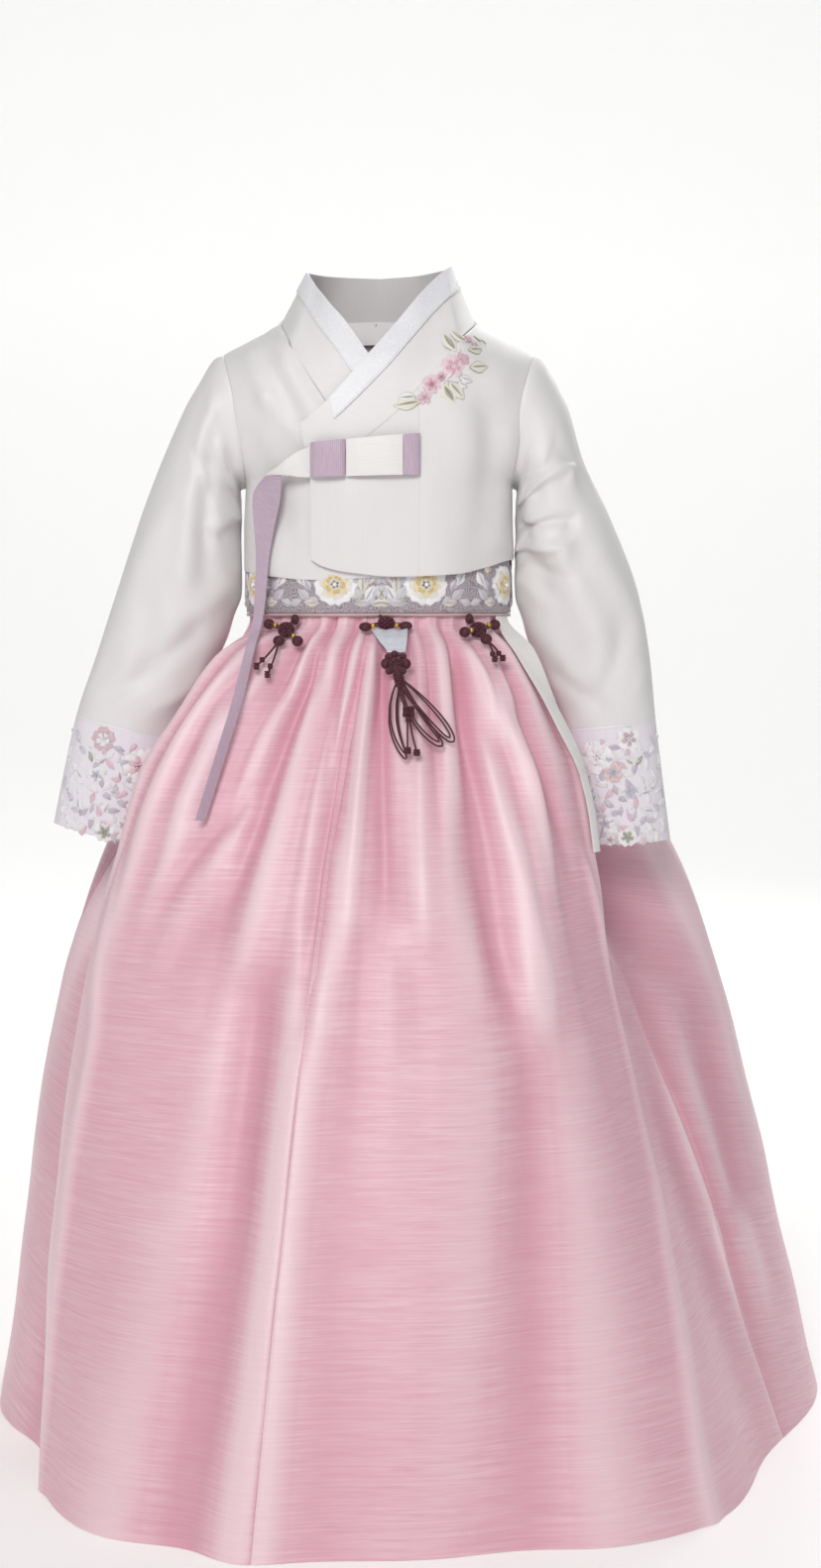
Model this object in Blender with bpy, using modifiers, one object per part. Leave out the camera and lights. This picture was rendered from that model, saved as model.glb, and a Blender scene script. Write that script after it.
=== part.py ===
"""A child's Korean hanbok, worn: a short wrapped jacket (jeogori), a full gathered skirt (chima),
and the skirt's belt with its three hanging knot ornaments.

Run it with blender --background --python part.py, or from Blender's text editor.

Every piece that a maker cuts is one object. Cloth pieces are open sheets, worked out from tables
of sizes, that a Solidify modifier gives their thickness. Neighbours stop a small gap apart.

Frame: metres, +Z up. The origin is the middle of the neck's base, at the height of the shoulders,
where the wearer holds the garment. The wearer faces -Y, and the wearer's left side is at +X.
"""
import math
from types import SimpleNamespace

import bmesh
import bpy
from mathutils import Matrix, Vector

# ---------------------------------------------------------------- driving dimensions, in metres
COLLECTION = "korean_hanbok"
SEAM_GAP = 0.0003          # between neighbouring pieces
ARMHOLE_GAP = 0.0006       # between the jacket's body and a sleeve
JACKET_WALL = 0.0012
SKIRT_WALL = 0.0015
RIBBON_WALL = 0.0010
OVERLAP_RISE = 0.0042      # how far the outer front lies over the inner front
FLOOR = -0.889             # the skirt's hem, below the shoulders

PLAN_POWER = 2.3           # roundness of the jacket's plan: 2 is an ellipse
SHOULDER_ROUND = 0.05      # height over which the shoulder rounds over
SHOULDER_TIP = 0.1135      # nominal half-width of the body between the armholes
NECK_POINT = 0.079         # where the collar's outer edge meets the shoulder line
ARMPIT = -0.127
OUTER_SEAM = 0.033         # seam between the left front and its overlap panel
OUTER_EDGE = -0.0525       # free edge of the outer overlap panel
INNER_SEAM = -0.004        # seam between the right front and its overlap panel
INNER_EDGE = 0.030         # free edge of the inner overlap panel, out of sight

SLEEVE_SIDES = 20
CUFF_START = 6.0
CUFF_END = 7.0

BELT_TOP = -0.183
BELT_BOTTOM = -0.2275
BELT_WALL = 0.0015
BELT_FLOWERS = 8
FLOWER_RADIUS = 0.0185
FLOWER_RISE = 0.0011
FIRST_FLOWER = 26.0        # degrees round from the front
SKIRT_TOP = -0.193
BAND_TOP = -0.140
BELT_DEPTH = 0.0027        # belt's face, inside the jacket's outer face
BAND_DEPTH = 0.0048        # chest band's face, inside the jacket's outer face
SKIRT_DEPTH = 0.0062       # skirt's mean face under the belt, inside the jacket's outer face
FLARE_TOP = -0.231         # the skirt follows the waist above this height and swells out below it
FLARE_END = -0.252

PANELS = ("skirt_front_left", "skirt_back_left", "skirt_back_right", "skirt_front_right")
GATHERS_PER_PANEL = 9
COLUMNS_PER_GATHER = 4
SEAM_FLAT = 0.5            # degrees of flat cloth beside each seam of the skirt


# ---------------------------------------------------------------- smooth tables
def slope(keys, values, index):
    """The slope at one point of a curve that never overshoots its points."""
    if index in (0, len(keys) - 1):
        return 0.0 if index else (values[1] - values[0]) / (keys[1] - keys[0])
    before = (values[index] - values[index - 1]) / (keys[index] - keys[index - 1])
    after = (values[index + 1] - values[index]) / (keys[index + 1] - keys[index])
    if before * after <= 0:
        return 0.0
    return 2 * before * after / (before + after)


def smooth(keys, values, key):
    """The height of the smooth curve through the points at this key."""
    key = min(max(key, keys[0]), keys[-1])
    index = 0
    while index < len(keys) - 2 and key > keys[index + 1]:
        index += 1
    span = keys[index + 1] - keys[index]
    part = (key - keys[index]) / span
    start, end = slope(keys, values, index) * span, slope(keys, values, index + 1) * span
    square, cube = part * part, part ** 3
    return ((2 * cube - 3 * square + 1) * values[index] + (cube - 2 * square + part) * start
            + (3 * square - 2 * cube) * values[index + 1] + (cube - square) * end)


class Sections:
    """A table with named columns. Its first column is the key, and the rest vary smoothly."""

    def __init__(self, columns, *rows):
        self.names = columns.split()[1:]
        rows = sorted(rows)
        self.keys = [row[0] for row in rows]
        self.columns = [[row[1 + index] for row in rows] for index in range(len(self.names))]

    def at(self, key):
        values = {name: smooth(self.keys, column, key)
                  for name, column in zip(self.names, self.columns)}
        return SimpleNamespace(**values)


def ease(low, high, value):
    """0 below low, 1 above high, and a smooth step between them."""
    part = min(max((value - low) / (high - low), 0.0), 1.0)
    return part * part * (3 - 2 * part)


def steps(count):
    return [index / count for index in range(count + 1)]


# ---------------------------------------------------------------- sizes of the jacket
BODY = Sections(
    "z      edge    width   front   back",
    (0.060, 0.1300, 0.1550, 0.0350, 0.0540),
    (0.030, 0.1300, 0.1550, 0.0470, 0.0600),
    (0.000, 0.1300, 0.1550, 0.0620, 0.0680),
    (-0.030, 0.1215, 0.1500, 0.0735, 0.0760),
    (-0.060, 0.1140, 0.1400, 0.0800, 0.0800),
    (-0.090, 0.1110, 0.1290, 0.0840, 0.0800),
    (-0.112, 0.1080, 0.1160, 0.0848, 0.0800),
    (ARMPIT, 0.1065, 0.1065, 0.0850, 0.0800),
    (-0.160, 0.1085, 0.1085, 0.0845, 0.0800),
    (-0.230, 0.1105, 0.1105, 0.0830, 0.0800))

SHOULDER = Sections(
    "x      z",
    (0.000, 0.080), (0.040, 0.062), (0.060, 0.035), (NECK_POINT, 0.006),
    (0.100, -0.006), (0.128, -0.021), (0.160, -0.050))

OUTER_HEM = Sections(
    "x       z",
    (-0.0525, -0.1860), (-0.043, -0.1915), (-0.024, -0.1960), (0.015, -0.1995),
    (0.060, -0.1975), (0.090, -0.1915), (SHOULDER_TIP, -0.1850))

INNER_HEM = Sections(
    "x       z",
    (-SHOULDER_TIP, -0.1940), (-0.085, -0.1990), (-0.050, -0.2020), (0.000, -0.2000), (0.040, -0.1970))

BACK_HEM = Sections("x  z", (0.0, -0.1960), (0.07, -0.1940), (SHOULDER_TIP, -0.1890))
BACK_NECK = Sections("x  z", (0.0, 0.0140), (0.035, 0.0130), (0.062, 0.0100), (NECK_POINT, 0.0060))

# The collar band in halves, from the middle of the back to its front end. face is 1 where the
# band's outer edge is sewn to the back, 0 on the shoulder line and -1 on a front. hug is 1 where
# the neck edge lies on the chest and 0 where it stands at neck_y.
COLLAR_OUTER = Sections(
    "step edge_x  edge_z  face neck_x  neck_y  neck_z  hug",
    (0, 0.0000, 0.0140, 1.0, 0.0000, 0.0580, 0.0500, 0),
    (1, 0.0350, 0.0130, 1.0, 0.0290, 0.0530, 0.0515, 0),
    (2, 0.0620, 0.0100, 1.0, 0.0500, 0.0350, 0.0530, 0),
    (3, 0.0790, 0.0060, 0.0, 0.0590, 0.0080, 0.0530, 0),
    (4, 0.0640, -0.0150, -1., 0.0520, -0.0140, 0.0460, 0),
    (5, 0.0465, -0.0360, -1., 0.0388, -0.0330, 0.0316, 0.2),
    (6, 0.0320, -0.0530, -1., 0.0228, -0.0520, 0.0103, 0.7),
    (7, 0.0174, -0.0697, -1., 0.0072, -0.0660, -0.0095, 1),
    (8, -0.0030, -0.0876, -1., -0.0130, -0.0750, -0.0330, 1),
    (9, -0.0280, -0.1050, -1., -0.0370, -0.0800, -0.0600, 1),
    (10, -0.0525, -0.1160, -1., -0.0615, -0.0800, -0.0810, 1))

COLLAR_INNER = Sections(
    "step edge_x  edge_z  face neck_x  neck_y  neck_z  hug",
    (0, 0.0000, 0.0140, 1.0, 0.0000, 0.0580, 0.0500, 0),
    (1, 0.0350, 0.0130, 1.0, 0.0290, 0.0530, 0.0505, 0),
    (2, 0.0620, 0.0100, 1.0, 0.0500, 0.0350, 0.0500, 0),
    (3, 0.0790, 0.0060, 0.0, 0.0575, 0.0080, 0.0480, 0),
    (4, 0.0680, -0.0170, -1., 0.0500, -0.0160, 0.0350, 0),
    (5, 0.0560, -0.0380, -1., 0.0400, -0.0360, 0.0200, 0.3),
    (6, 0.0390, -0.0648, -1., 0.0250, -0.0560, 0.0010, 0.8),
    (7, 0.0240, -0.0870, -1., 0.0080, -0.0700, -0.0240, 1),
    (8, 0.0120, -0.1040, -1., -0.0100, -0.0780, -0.0500, 1),
    (9, 0.0000, -0.1190, -1., -0.0260, -0.0800, -0.0740, 1))

COLLAR_STEP = 0.5          # between the collar's columns, in steps of its tables
STRIP_EDGE = 0.62          # the white strip covers the collar from here to its neck edge
STRIP_WALL = 0.0010
STRIP_OUTER_END = 9.0      # the strip stops short of the collar's own ends
STRIP_INNER_END = 7.5

# A sleeve from the armhole (step 0) over the cuff's seam (6) to its mouth (7). outer is the
# sleeve's top and outer side, inner its underside. x is measured away from the wearer's middle.
SLEEVE_LEFT = Sections(
    "step outer_x outer_z  inner_x inner_z  y       depth",
    (0, 0.1285, -0.0210, 0.1065, -0.1270, 0.0000, 0.0500),
    (1, 0.1515, -0.0560, 0.1130, -0.1430, -0.0020, 0.0520),
    (2, 0.1660, -0.1040, 0.1150, -0.1690, -0.0060, 0.0500),
    (3, 0.1875, -0.1500, 0.1155, -0.1990, -0.0100, 0.0470),
    (4, 0.2110, -0.2130, 0.1190, -0.2400, -0.0140, 0.0420),
    (5, 0.2205, -0.2660, 0.1360, -0.2830, -0.0170, 0.0360),
    (6, 0.2250, -0.3140, 0.1500, -0.3220, -0.0200, 0.0290),
    (7, 0.2375, -0.4110, 0.1560, -0.4150, -0.0220, 0.0250))

SLEEVE_RIGHT = Sections(
    "step outer_x outer_z  inner_x inner_z  y       depth",
    (0, 0.1285, -0.0210, 0.1065, -0.1270, 0.0000, 0.0500),
    (1, 0.1500, -0.0500, 0.1130, -0.1420, -0.0020, 0.0520),
    (2, 0.1690, -0.0900, 0.1150, -0.1670, -0.0060, 0.0500),
    (3, 0.1895, -0.1420, 0.1155, -0.1980, -0.0100, 0.0470),
    (4, 0.2110, -0.2070, 0.1200, -0.2380, -0.0140, 0.0420),
    (5, 0.2295, -0.2640, 0.1440, -0.2900, -0.0170, 0.0360),
    (6, 0.2450, -0.3100, 0.1640, -0.3300, -0.0200, 0.0290),
    (7, 0.2640, -0.3975, 0.1740, -0.4205, -0.0220, 0.0250))

# Large creases of a sleeve: from one place on it to another, with angles round the sleeve in
# degrees from its top towards the front.
SLEEVE_LEFT_CREASES = (
    # from_step, from_angle, to_step, to_angle, rise, width
    (0.9, 150, 1.9, 55, 0.0070, 0.0110),
    (1.7, 160, 2.6, 80, -0.0060, 0.0100),
    (2.1, 165, 3.0, 95, 0.0060, 0.0110),
    (4.6, 60, 5.7, 110, -0.0040, 0.0130),
    (0.9, 215, 1.9, 290, 0.0060, 0.0110))
SLEEVE_RIGHT_CREASES = (
    # from_step, from_angle, to_step, to_angle, rise, width
    (0.5, 150, 1.6, 95, 0.0050, 0.0110),
    (1.1, 165, 2.4, 120, 0.0055, 0.0110),
    (4.3, 120, 5.6, 60, -0.0040, 0.0140),
    (0.9, 215, 1.9, 290, 0.0060, 0.0110))

# ---------------------------------------------------------------- sizes of the skirt
SKIRT = Sections(
    "z      front   front_left front_right back_side back",
    (-0.228, 0.0790, 0.0838, 0.0838, 0.0848, 0.0755),
    (-0.260, 0.1000, 0.1070, 0.1050, 0.1080, 0.0990),
    (-0.300, 0.1220, 0.1310, 0.1280, 0.1310, 0.1230),
    (-0.350, 0.1460, 0.1570, 0.1540, 0.1570, 0.1500),
    (-0.420, 0.1760, 0.1890, 0.1850, 0.1910, 0.1830),
    (-0.530, 0.2180, 0.2320, 0.2270, 0.2400, 0.2280),
    (-0.660, 0.2650, 0.2790, 0.2760, 0.2900, 0.2740),
    (-0.780, 0.3050, 0.3210, 0.3190, 0.3320, 0.3140),
    (FLOOR, 0.3365, 0.3580, 0.3560, 0.3620, 0.3480))

SIDE = "z ridge_angle ridge valley_angle valley bulge_angle bulge"
SKIRT_LEFT = Sections(
    SIDE,
    (-0.228, 60.0, 0.0965, 88.0, 0.1060, 115.0, 0.0980),
    (-0.260, 60.5, 0.1220, 86.0, 0.1105, 115.0, 0.1180),
    (-0.300, 60.5, 0.1500, 86.0, 0.1190, 113.0, 0.1470),
    (-0.350, 61.0, 0.1770, 86.0, 0.1320, 111.0, 0.1900),
    (-0.420, 60.0, 0.1940, 85.0, 0.1480, 110.0, 0.2620),
    (-0.530, 54.5, 0.2190, 78.0, 0.2000, 108.0, 0.3020),
    (-0.660, 49.5, 0.2690, 71.0, 0.2470, 108.0, 0.3370),
    (-0.780, 46.0, 0.3180, 69.0, 0.2900, 108.0, 0.3640),
    (FLOOR, 40.0, 0.3620, 68.0, 0.3300, 112.0, 0.3940))
SKIRT_RIGHT = Sections(
    SIDE,
    (-0.228, 60.0, 0.0965, 88.0, 0.1060, 115.0, 0.0980),
    (-0.260, 61.5, 0.1400, 88.0, 0.1105, 115.0, 0.1180),
    (-0.300, 62.0, 0.1700, 88.0, 0.1200, 113.0, 0.1450),
    (-0.350, 65.0, 0.1990, 88.0, 0.1330, 111.0, 0.1860),
    (-0.420, 65.0, 0.2235, 87.0, 0.1470, 108.0, 0.2430),
    (-0.530, 60.7, 0.2600, 82.0, 0.2050, 105.0, 0.2780),
    (-0.660, 57.4, 0.2870, 75.0, 0.2500, 100.0, 0.2950),
    (-0.780, 54.5, 0.3070, 70.0, 0.2720, 96.0, 0.3065),
    (FLOOR, 53.0, 0.3190, 66.7, 0.2900, 90.0, 0.3170))

# The front seam wanders round the skirt on its way down, and the other seams with it.
SEAM_LINE = Sections("z  angle", (SKIRT_TOP, -4.0), (-0.26, -6.5), (-0.33, -11.0), (-0.45, -13.0),
                     (-0.66, -13.5), (FLOOR, -14.0))
GATHER_RISE = Sections("z  rise", (SKIRT_TOP, 0.0010), (FLARE_TOP, 0.0010), (-0.252, 0.0040),
                       (-0.300, 0.0042), (-0.360, 0.0026), (-0.430, 0.0010), (-0.520, 0.0))

# Long soft folds of the skirt: where each starts and ends, its rise (a trough is negative) and
# its half-width in degrees. Angles are round from the front, towards the wearer's left.
SKIRT_FOLDS = (
    # from_z, from_angle, to_z, to_angle, rise, half_width
    (-0.24, -44, -0.42, -52, 0.0070, 6.0),
    (-0.25, -40, -0.43, -45, -0.0070, 5.0),
    (-0.24, -22, -0.52, -42, -0.0080, 6.0),
    (-0.24, -5, -0.42, -11, -0.0070, 3.5),
    (-0.25, -2, -0.50, -4, 0.0060, 5.0),
    (-0.24, 2, -0.50, 1, -0.0070, 5.0),
    (-0.26, 14, -0.50, 10, 0.0060, 5.0),
    (-0.24, 36, -0.56, 25, -0.0100, 6.0),
    (-0.24, 44, -0.56, 33, 0.0080, 6.0),
    (-0.45, -22, FLOOR, -26, -0.0100, 6.5),
    (-0.45, -12, FLOOR, -15, 0.0080, 6.0),
    (-0.52, 30, FLOOR, 17, -0.0120, 8.0),
    (-0.45, 82, -0.80, 78, 0.0090, 8.0),
    (-0.30, 130, FLOOR, 132, -0.0120, 7.0),
    (-0.26, 152, -0.70, 156, 0.0100, 7.0),
    (-0.25, 178, FLOOR, 182, -0.0130, 7.0),
    (-0.26, 204, -0.70, 202, 0.0100, 7.0),
    (-0.30, 228, FLOOR, 226, -0.0120, 7.0))


# ---------------------------------------------------------------- forms
def on_body(x, z, face, out=0.0):
    """The point on the jacket's body form at x and z, on the front (-1) or the back (1)."""
    size = BODY.at(z)
    reach = min(abs(x) / (size.width + out), 1.0)
    plan = (1 - reach ** PLAN_POWER) ** (1 / PLAN_POWER)
    drop = min(max((SHOULDER.at(abs(x)).z + out - z) / SHOULDER_ROUND, 0.0), 1.0)
    rounding = math.sqrt(1 - (1 - drop) ** 2)
    depth = (size.front if face < 0 else size.back) + out
    return Vector((x, face * depth * plan * rounding, z))


def outer_rise(x, z):
    """How far the outer front stands off the body form: none at the side and the shoulder."""
    return OVERLAP_RISE * (1 - ease(0.055, 0.105, x)) * ease(0.0, 0.03, -z)


def waist_ring(z, inset, count):
    """Points round the body form at one height, moved in by inset, from the front round by +X."""
    size = BODY.at(z)
    points = []
    for part in steps(count)[:-1]:
        across, along = math.sin(part * math.tau), -math.cos(part * math.tau)
        depth = (size.front if along < 0 else size.back) - inset
        points.append(Vector((
            (size.width - inset) * math.copysign(abs(across) ** (2 / PLAN_POWER), across),
            depth * math.copysign(abs(along) ** (2 / PLAN_POWER), along), z)))
    return points


def waist_radius(angle, z):
    """The distance at an angle from the middle to the waist's form, under the belt."""
    size = BODY.at(z)
    across, along = abs(math.sin(math.radians(angle))), math.cos(math.radians(angle))
    depth = (size.front if along > 0 else size.back) - SKIRT_DEPTH
    total = (across / (size.width - SKIRT_DEPTH)) ** PLAN_POWER + (abs(along) / depth) ** PLAN_POWER
    return total ** (-1 / PLAN_POWER)


def skirt_radius(angle, z):
    """The skirt's mean radius at an angle round from the front, before its folds and gathers."""
    flare = ease(0.0, FLARE_TOP - FLARE_END, FLARE_TOP - z)
    radius = full_radius(angle, z) if flare > 0 else 0.0
    return waist_radius(angle, z) * (1 - flare) + radius * flare


def full_radius(angle, z):
    """The radius of the swelled out skirt, from the tables of its front, sides and back."""
    size, left, right = SKIRT.at(z), SKIRT_LEFT.at(z), SKIRT_RIGHT.at(z)
    points = [(0, size.front), (30, size.front_left), (left.ridge_angle, left.ridge),
              (left.valley_angle, left.valley), (left.bulge_angle, left.bulge),
              (145, size.back_side), (180, size.back), (215, size.back_side),
              (360 - right.bulge_angle, right.bulge), (360 - right.valley_angle, right.valley),
              (360 - right.ridge_angle, right.ridge), (330, size.front_right)]
    ring = [(key - 360, value) for key, value in points[-3:]] + points
    ring += [(key + 360, value) for key, value in points[:3]]
    return smooth([key for key, _ in ring], [value for _, value in ring], angle % 360)


def skirt_folds(angle, z):
    """The rise of the long folds at one place on the skirt."""
    total = 0.0
    for from_z, from_angle, to_z, to_angle, rise, half_width in SKIRT_FOLDS:
        along = (z - from_z) / (to_z - from_z)
        centre = from_angle + (to_angle - from_angle) * along
        away = ((angle - centre + 180) % 360 - 180) / half_width
        fade = ease(-0.02, 0.18, along)
        if to_z > FLOOR:
            fade *= 1 - ease(0.70, 1.05, along)
        if abs(away) < 3:
            total += rise * fade * math.exp(-away * away)
    return total


def on_skirt(angle, z, rise=0.0):
    """The point of the skirt's outer face at an angle and height."""
    radius = skirt_radius(angle, z) + skirt_folds(angle, z) + rise
    return Vector((radius * math.sin(math.radians(angle)), -radius * math.cos(math.radians(angle)), z))


def skirt_front(x, z, out=0.0):
    """The point in front of the skirt at x and z, clear of its gathers and then moved out."""
    low, high = -75.0, 75.0
    for _ in range(30):
        middle = (low + high) / 2
        if on_skirt(middle, z).x < x:
            low = middle
        else:
            high = middle
    point = on_skirt(low, z, GATHER_RISE.at(z).rise)
    point.y -= out
    return point


def crease_rise(creases, step, angle, size):
    """The height of a sleeve's creases at one place on it."""
    total = 0.0
    half_round = (abs(size.outer_x - size.inner_x) + abs(size.outer_z - size.inner_z)) / 2
    for from_step, from_angle, to_step, to_angle, rise, width in creases:
        along = min(max((step - from_step) / (to_step - from_step), 0.0), 1.0)
        centre = from_angle + (to_angle - from_angle) * along
        across = math.radians(angle - centre) * half_round
        beyond = (step - from_step - along * (to_step - from_step)) * 0.05
        total += rise * math.exp(-(across / width) ** 2 - (beyond / width) ** 2)
    return total


def sleeve_ring(table, creases, side, step, count=SLEEVE_SIDES, start=ARMHOLE_GAP):
    """One ring of a sleeve, from its top round by the front."""
    size = table.at(step)
    outer, inner = Vector((size.outer_x, 0, size.outer_z)), Vector((size.inner_x, 0, size.inner_z))
    centre, arm = (outer + inner) / 2, (outer - inner) / 2
    centre.y = size.y
    from_armhole = 1 - ease(0.0, 1.0, step)
    points = []
    for part in steps(count)[:-1]:
        angle = part * math.tau
        rise = crease_rise(creases, step, math.degrees(angle), size) * ease(0.0, 0.6, step)
        grow = 1 + rise / arm.length
        point = centre + arm * math.cos(angle) * grow
        point.y -= (size.depth + rise) * math.sin(angle)
        if from_armhole > 0:
            top = SHOULDER.at(0.1285).z
            z = ARMPIT + (top - ARMPIT) * (1 + math.cos(angle)) / 2
            hole = on_body(BODY.at(z).edge, z, -1 if part < 0.5 else 1)
            hole.x += start + step * (arm.length + 0.02) * 0.35
            point = point.lerp(hole, from_armhole ** 2)
        point.x *= side
        points.append(point)
    return points


# ---------------------------------------------------------------- making objects
def material(name, colour, roughness, metallic=0.0):
    made = bpy.data.materials.new(name)
    made.use_nodes = True
    shader = made.node_tree.nodes["Principled BSDF"]
    shader.inputs["Base Color"].default_value = (*colour, 1.0)
    shader.inputs["Roughness"].default_value = roughness
    shader.inputs["Metallic"].default_value = metallic
    return made


def link(name, mesh, finish):
    made = bpy.data.objects.new(name, mesh)
    bpy.data.collections[COLLECTION].objects.link(made)
    mesh.materials.append(finish)
    mesh.shade_smooth()
    return made


def join_rows(sheet, upper, lower, closed):
    """Faces between two rows of vertices, where one row may have twice as many cells."""
    cells = len(lower) - (0 if closed else 1)
    if len(upper) == len(lower):
        for index in range(cells):
            after = (index + 1) % len(lower)
            sheet.faces.new((upper[index], lower[index], lower[after], upper[after]))
        return
    for index in range(cells):
        after = (index + 1) % len(lower)
        first, middle, last = (upper[(2 * index + step) % len(upper)] for step in range(3))
        sheet.faces.new((first, lower[index], middle))
        sheet.faces.new((middle, lower[index], lower[after]))
        sheet.faces.new((middle, lower[after], last))


def cloth(name, grids, finish, wall, closed=False, inside=Vector((0, 0, -0.1))):
    """A piece of cloth through rows of points, with its thickness added on its inner side.

    Each grid is a list of rows. Grids that share an edge are welded along it. The outer side is
    the one that faces away from the point inside.
    """
    sheet = bmesh.new()
    for rows in grids:
        made = [[sheet.verts.new(point) for point in row] for row in rows]
        for upper, lower in zip(made, made[1:]):
            join_rows(sheet, upper, lower, closed)
    bmesh.ops.remove_doubles(sheet, verts=sheet.verts, dist=1e-6)
    bmesh.ops.recalc_face_normals(sheet, faces=sheet.faces)
    sheet.normal_update()
    facing = sum(face.normal.dot(face.calc_center_median() - inside) * face.calc_area()
                 for face in sheet.faces)
    if facing < 0:
        bmesh.ops.reverse_faces(sheet, faces=sheet.faces)
    mesh = bpy.data.meshes.new(name)
    sheet.to_mesh(mesh)
    sheet.free()
    made = link(name, mesh, finish)
    thickness = made.modifiers.new("Wall", "SOLIDIFY")
    thickness.thickness = wall
    thickness.offset = -1
    return made


def ribbon(name, spine, finish, wall=RIBBON_WALL, inside=Vector((0, 0, -0.1))):
    """A flat strip between two lists of edge points."""
    return cloth(name, [[list(pair) for pair in spine]], finish, wall, inside=inside)


def ball(centre, size, turn=0.0):
    """A small rounded lump, the start of a knot."""
    sheet = bmesh.new()
    bmesh.ops.create_uvsphere(sheet, u_segments=6, v_segments=4, radius=0.5)
    scale = Matrix.Diagonal((*size, 1))
    bmesh.ops.transform(sheet, matrix=Matrix.Translation(centre) @ Matrix.Rotation(turn, 4, "Y") @ scale,
                        verts=sheet.verts)
    mesh = bpy.data.meshes.new("lump")
    sheet.to_mesh(mesh)
    sheet.free()
    made = bpy.data.objects.new("lump", mesh)
    bpy.context.scene.collection.objects.link(made)
    return made


def cord(points, radius):
    """A four-sided cord through points, as a closed mesh."""
    curve = bpy.data.curves.new("cord", "CURVE")
    curve.dimensions = "3D"
    curve.bevel_depth = radius
    curve.bevel_resolution = 0
    curve.use_fill_caps = True
    spline = curve.splines.new("POLY")
    spline.points.add(len(points) - 1)
    for target, point in zip(spline.points, points):
        target.co = (*point, 1.0)
    source = bpy.data.objects.new("cord_curve", curve)
    bpy.context.scene.collection.objects.link(source)
    mesh = bpy.data.meshes.new_from_object(source.evaluated_get(bpy.context.evaluated_depsgraph_get()))
    bpy.data.objects.remove(source)
    sheet = bmesh.new()
    sheet.from_mesh(mesh)
    bmesh.ops.remove_doubles(sheet, verts=sheet.verts, dist=1e-6)
    bmesh.ops.recalc_face_normals(sheet, faces=sheet.faces)
    sheet.to_mesh(mesh)
    sheet.free()
    made = bpy.data.objects.new("cord", mesh)
    bpy.context.scene.collection.objects.link(made)
    return made


def fuse(name, pieces, finish):
    """One object from pieces that pass through each other."""
    body = pieces[0]
    for piece in pieces[1:]:
        union = body.modifiers.new("Union", "BOOLEAN")
        union.operation = "UNION"
        union.object = piece
        graph = bpy.context.evaluated_depsgraph_get()
        mesh = bpy.data.meshes.new_from_object(body.evaluated_get(graph))
        body.modifiers.clear()
        body.data = mesh
        bpy.data.objects.remove(piece)
    sheet = bmesh.new()
    sheet.from_mesh(body.data)
    bmesh.ops.remove_doubles(sheet, verts=sheet.verts, dist=1e-6)
    mesh = bpy.data.meshes.new(name)
    sheet.to_mesh(mesh)
    sheet.free()
    bpy.data.objects.remove(body)
    return link(name, mesh, finish)


# ---------------------------------------------------------------- the jacket
DROPS = (0.0, 0.012, 0.04, 0.09, 0.17, 0.27, 0.38, 0.50, 0.62, 0.75, 0.87, 1.0)


def body_x(column, z):
    """A column's place across the body: the columns near the armhole follow its curve."""
    shift = (BODY.at(z).edge - SHOULDER_TIP) * ease(0.060, SHOULDER_TIP, column)
    return column + shift


def shoulder_top(column):
    """The height of the shoulder line over a column."""
    z = -0.02
    for _ in range(4):
        z = SHOULDER.at(body_x(column, z)).z
    return z


def side_columns(count):
    """Columns from the armhole to the neck point, closer together where the side turns away."""
    last = math.acos((NECK_POINT / SHOULDER_TIP) ** (PLAN_POWER / 2))
    return [SHOULDER_TIP * math.cos(last * part) ** (2 / PLAN_POWER) for part in steps(count)]


def body_grid(columns, hem, top, side, face, rise=lambda x, z: 0.0):
    """A front's or a back's grid: one row of points for each drop below its top edge."""
    rows = []
    for drop in DROPS:
        row = []
        for column in columns:
            high = shoulder_top(column) if column >= NECK_POINT else top(column)
            z = high + (hem(column) - high) * drop
            x = body_x(column, z)
            point = on_body(x, z, face, rise(x, z))
            if drop == 0 and column >= NECK_POINT:
                point.y = 0.0
            if column == SHOULDER_TIP and z <= ARMPIT + 0.001:
                point.y = face * SEAM_GAP / 2
            row.append(Vector((side * point.x, point.y, point.z)))
        rows.append(row)
    return rows


def edge_height(collar):
    """The height of a collar's sewn edge on the front, from a column's place across the body."""
    pairs = sorted((collar.at(step / 4).edge_x, collar.at(step / 4).edge_z)
                   for step in range(12, 4 * int(collar.keys[-1]) + 1))
    keys, values = zip(*pairs)
    return lambda column: smooth(keys, values, column)


def make_body(silk):
    """The two halves of the body, each cut with its front and back in one over the shoulder."""
    outer_top, inner_top = edge_height(COLLAR_OUTER), edge_height(COLLAR_INNER)
    back_top = lambda column: BACK_NECK.at(column).z
    back_hem = lambda column: BACK_HEM.at(column).z
    side = side_columns(6)
    back = side + [NECK_POINT * (1 - part) + SEAM_GAP / 2 * part for part in steps(4)[1:]]
    inner_end = INNER_SEAM - SEAM_GAP / 2
    outer_end = OUTER_SEAM + SEAM_GAP / 2
    left = side + [NECK_POINT + (outer_end - NECK_POINT) * part for part in steps(3)[1:]]
    right = side + [NECK_POINT + (-inner_end - NECK_POINT) * part for part in steps(4)[1:]]
    cloth("jacket_body_left",
          [body_grid(left, lambda x: OUTER_HEM.at(x).z, outer_top, 1, -1, outer_rise),
           body_grid(back, back_hem, back_top, 1, 1)], silk, JACKET_WALL)
    cloth("jacket_body_right",
          [body_grid(right, lambda x: INNER_HEM.at(-x).z, inner_top, -1, -1),
           body_grid(back, back_hem, back_top, -1, 1)], silk, JACKET_WALL)


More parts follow.
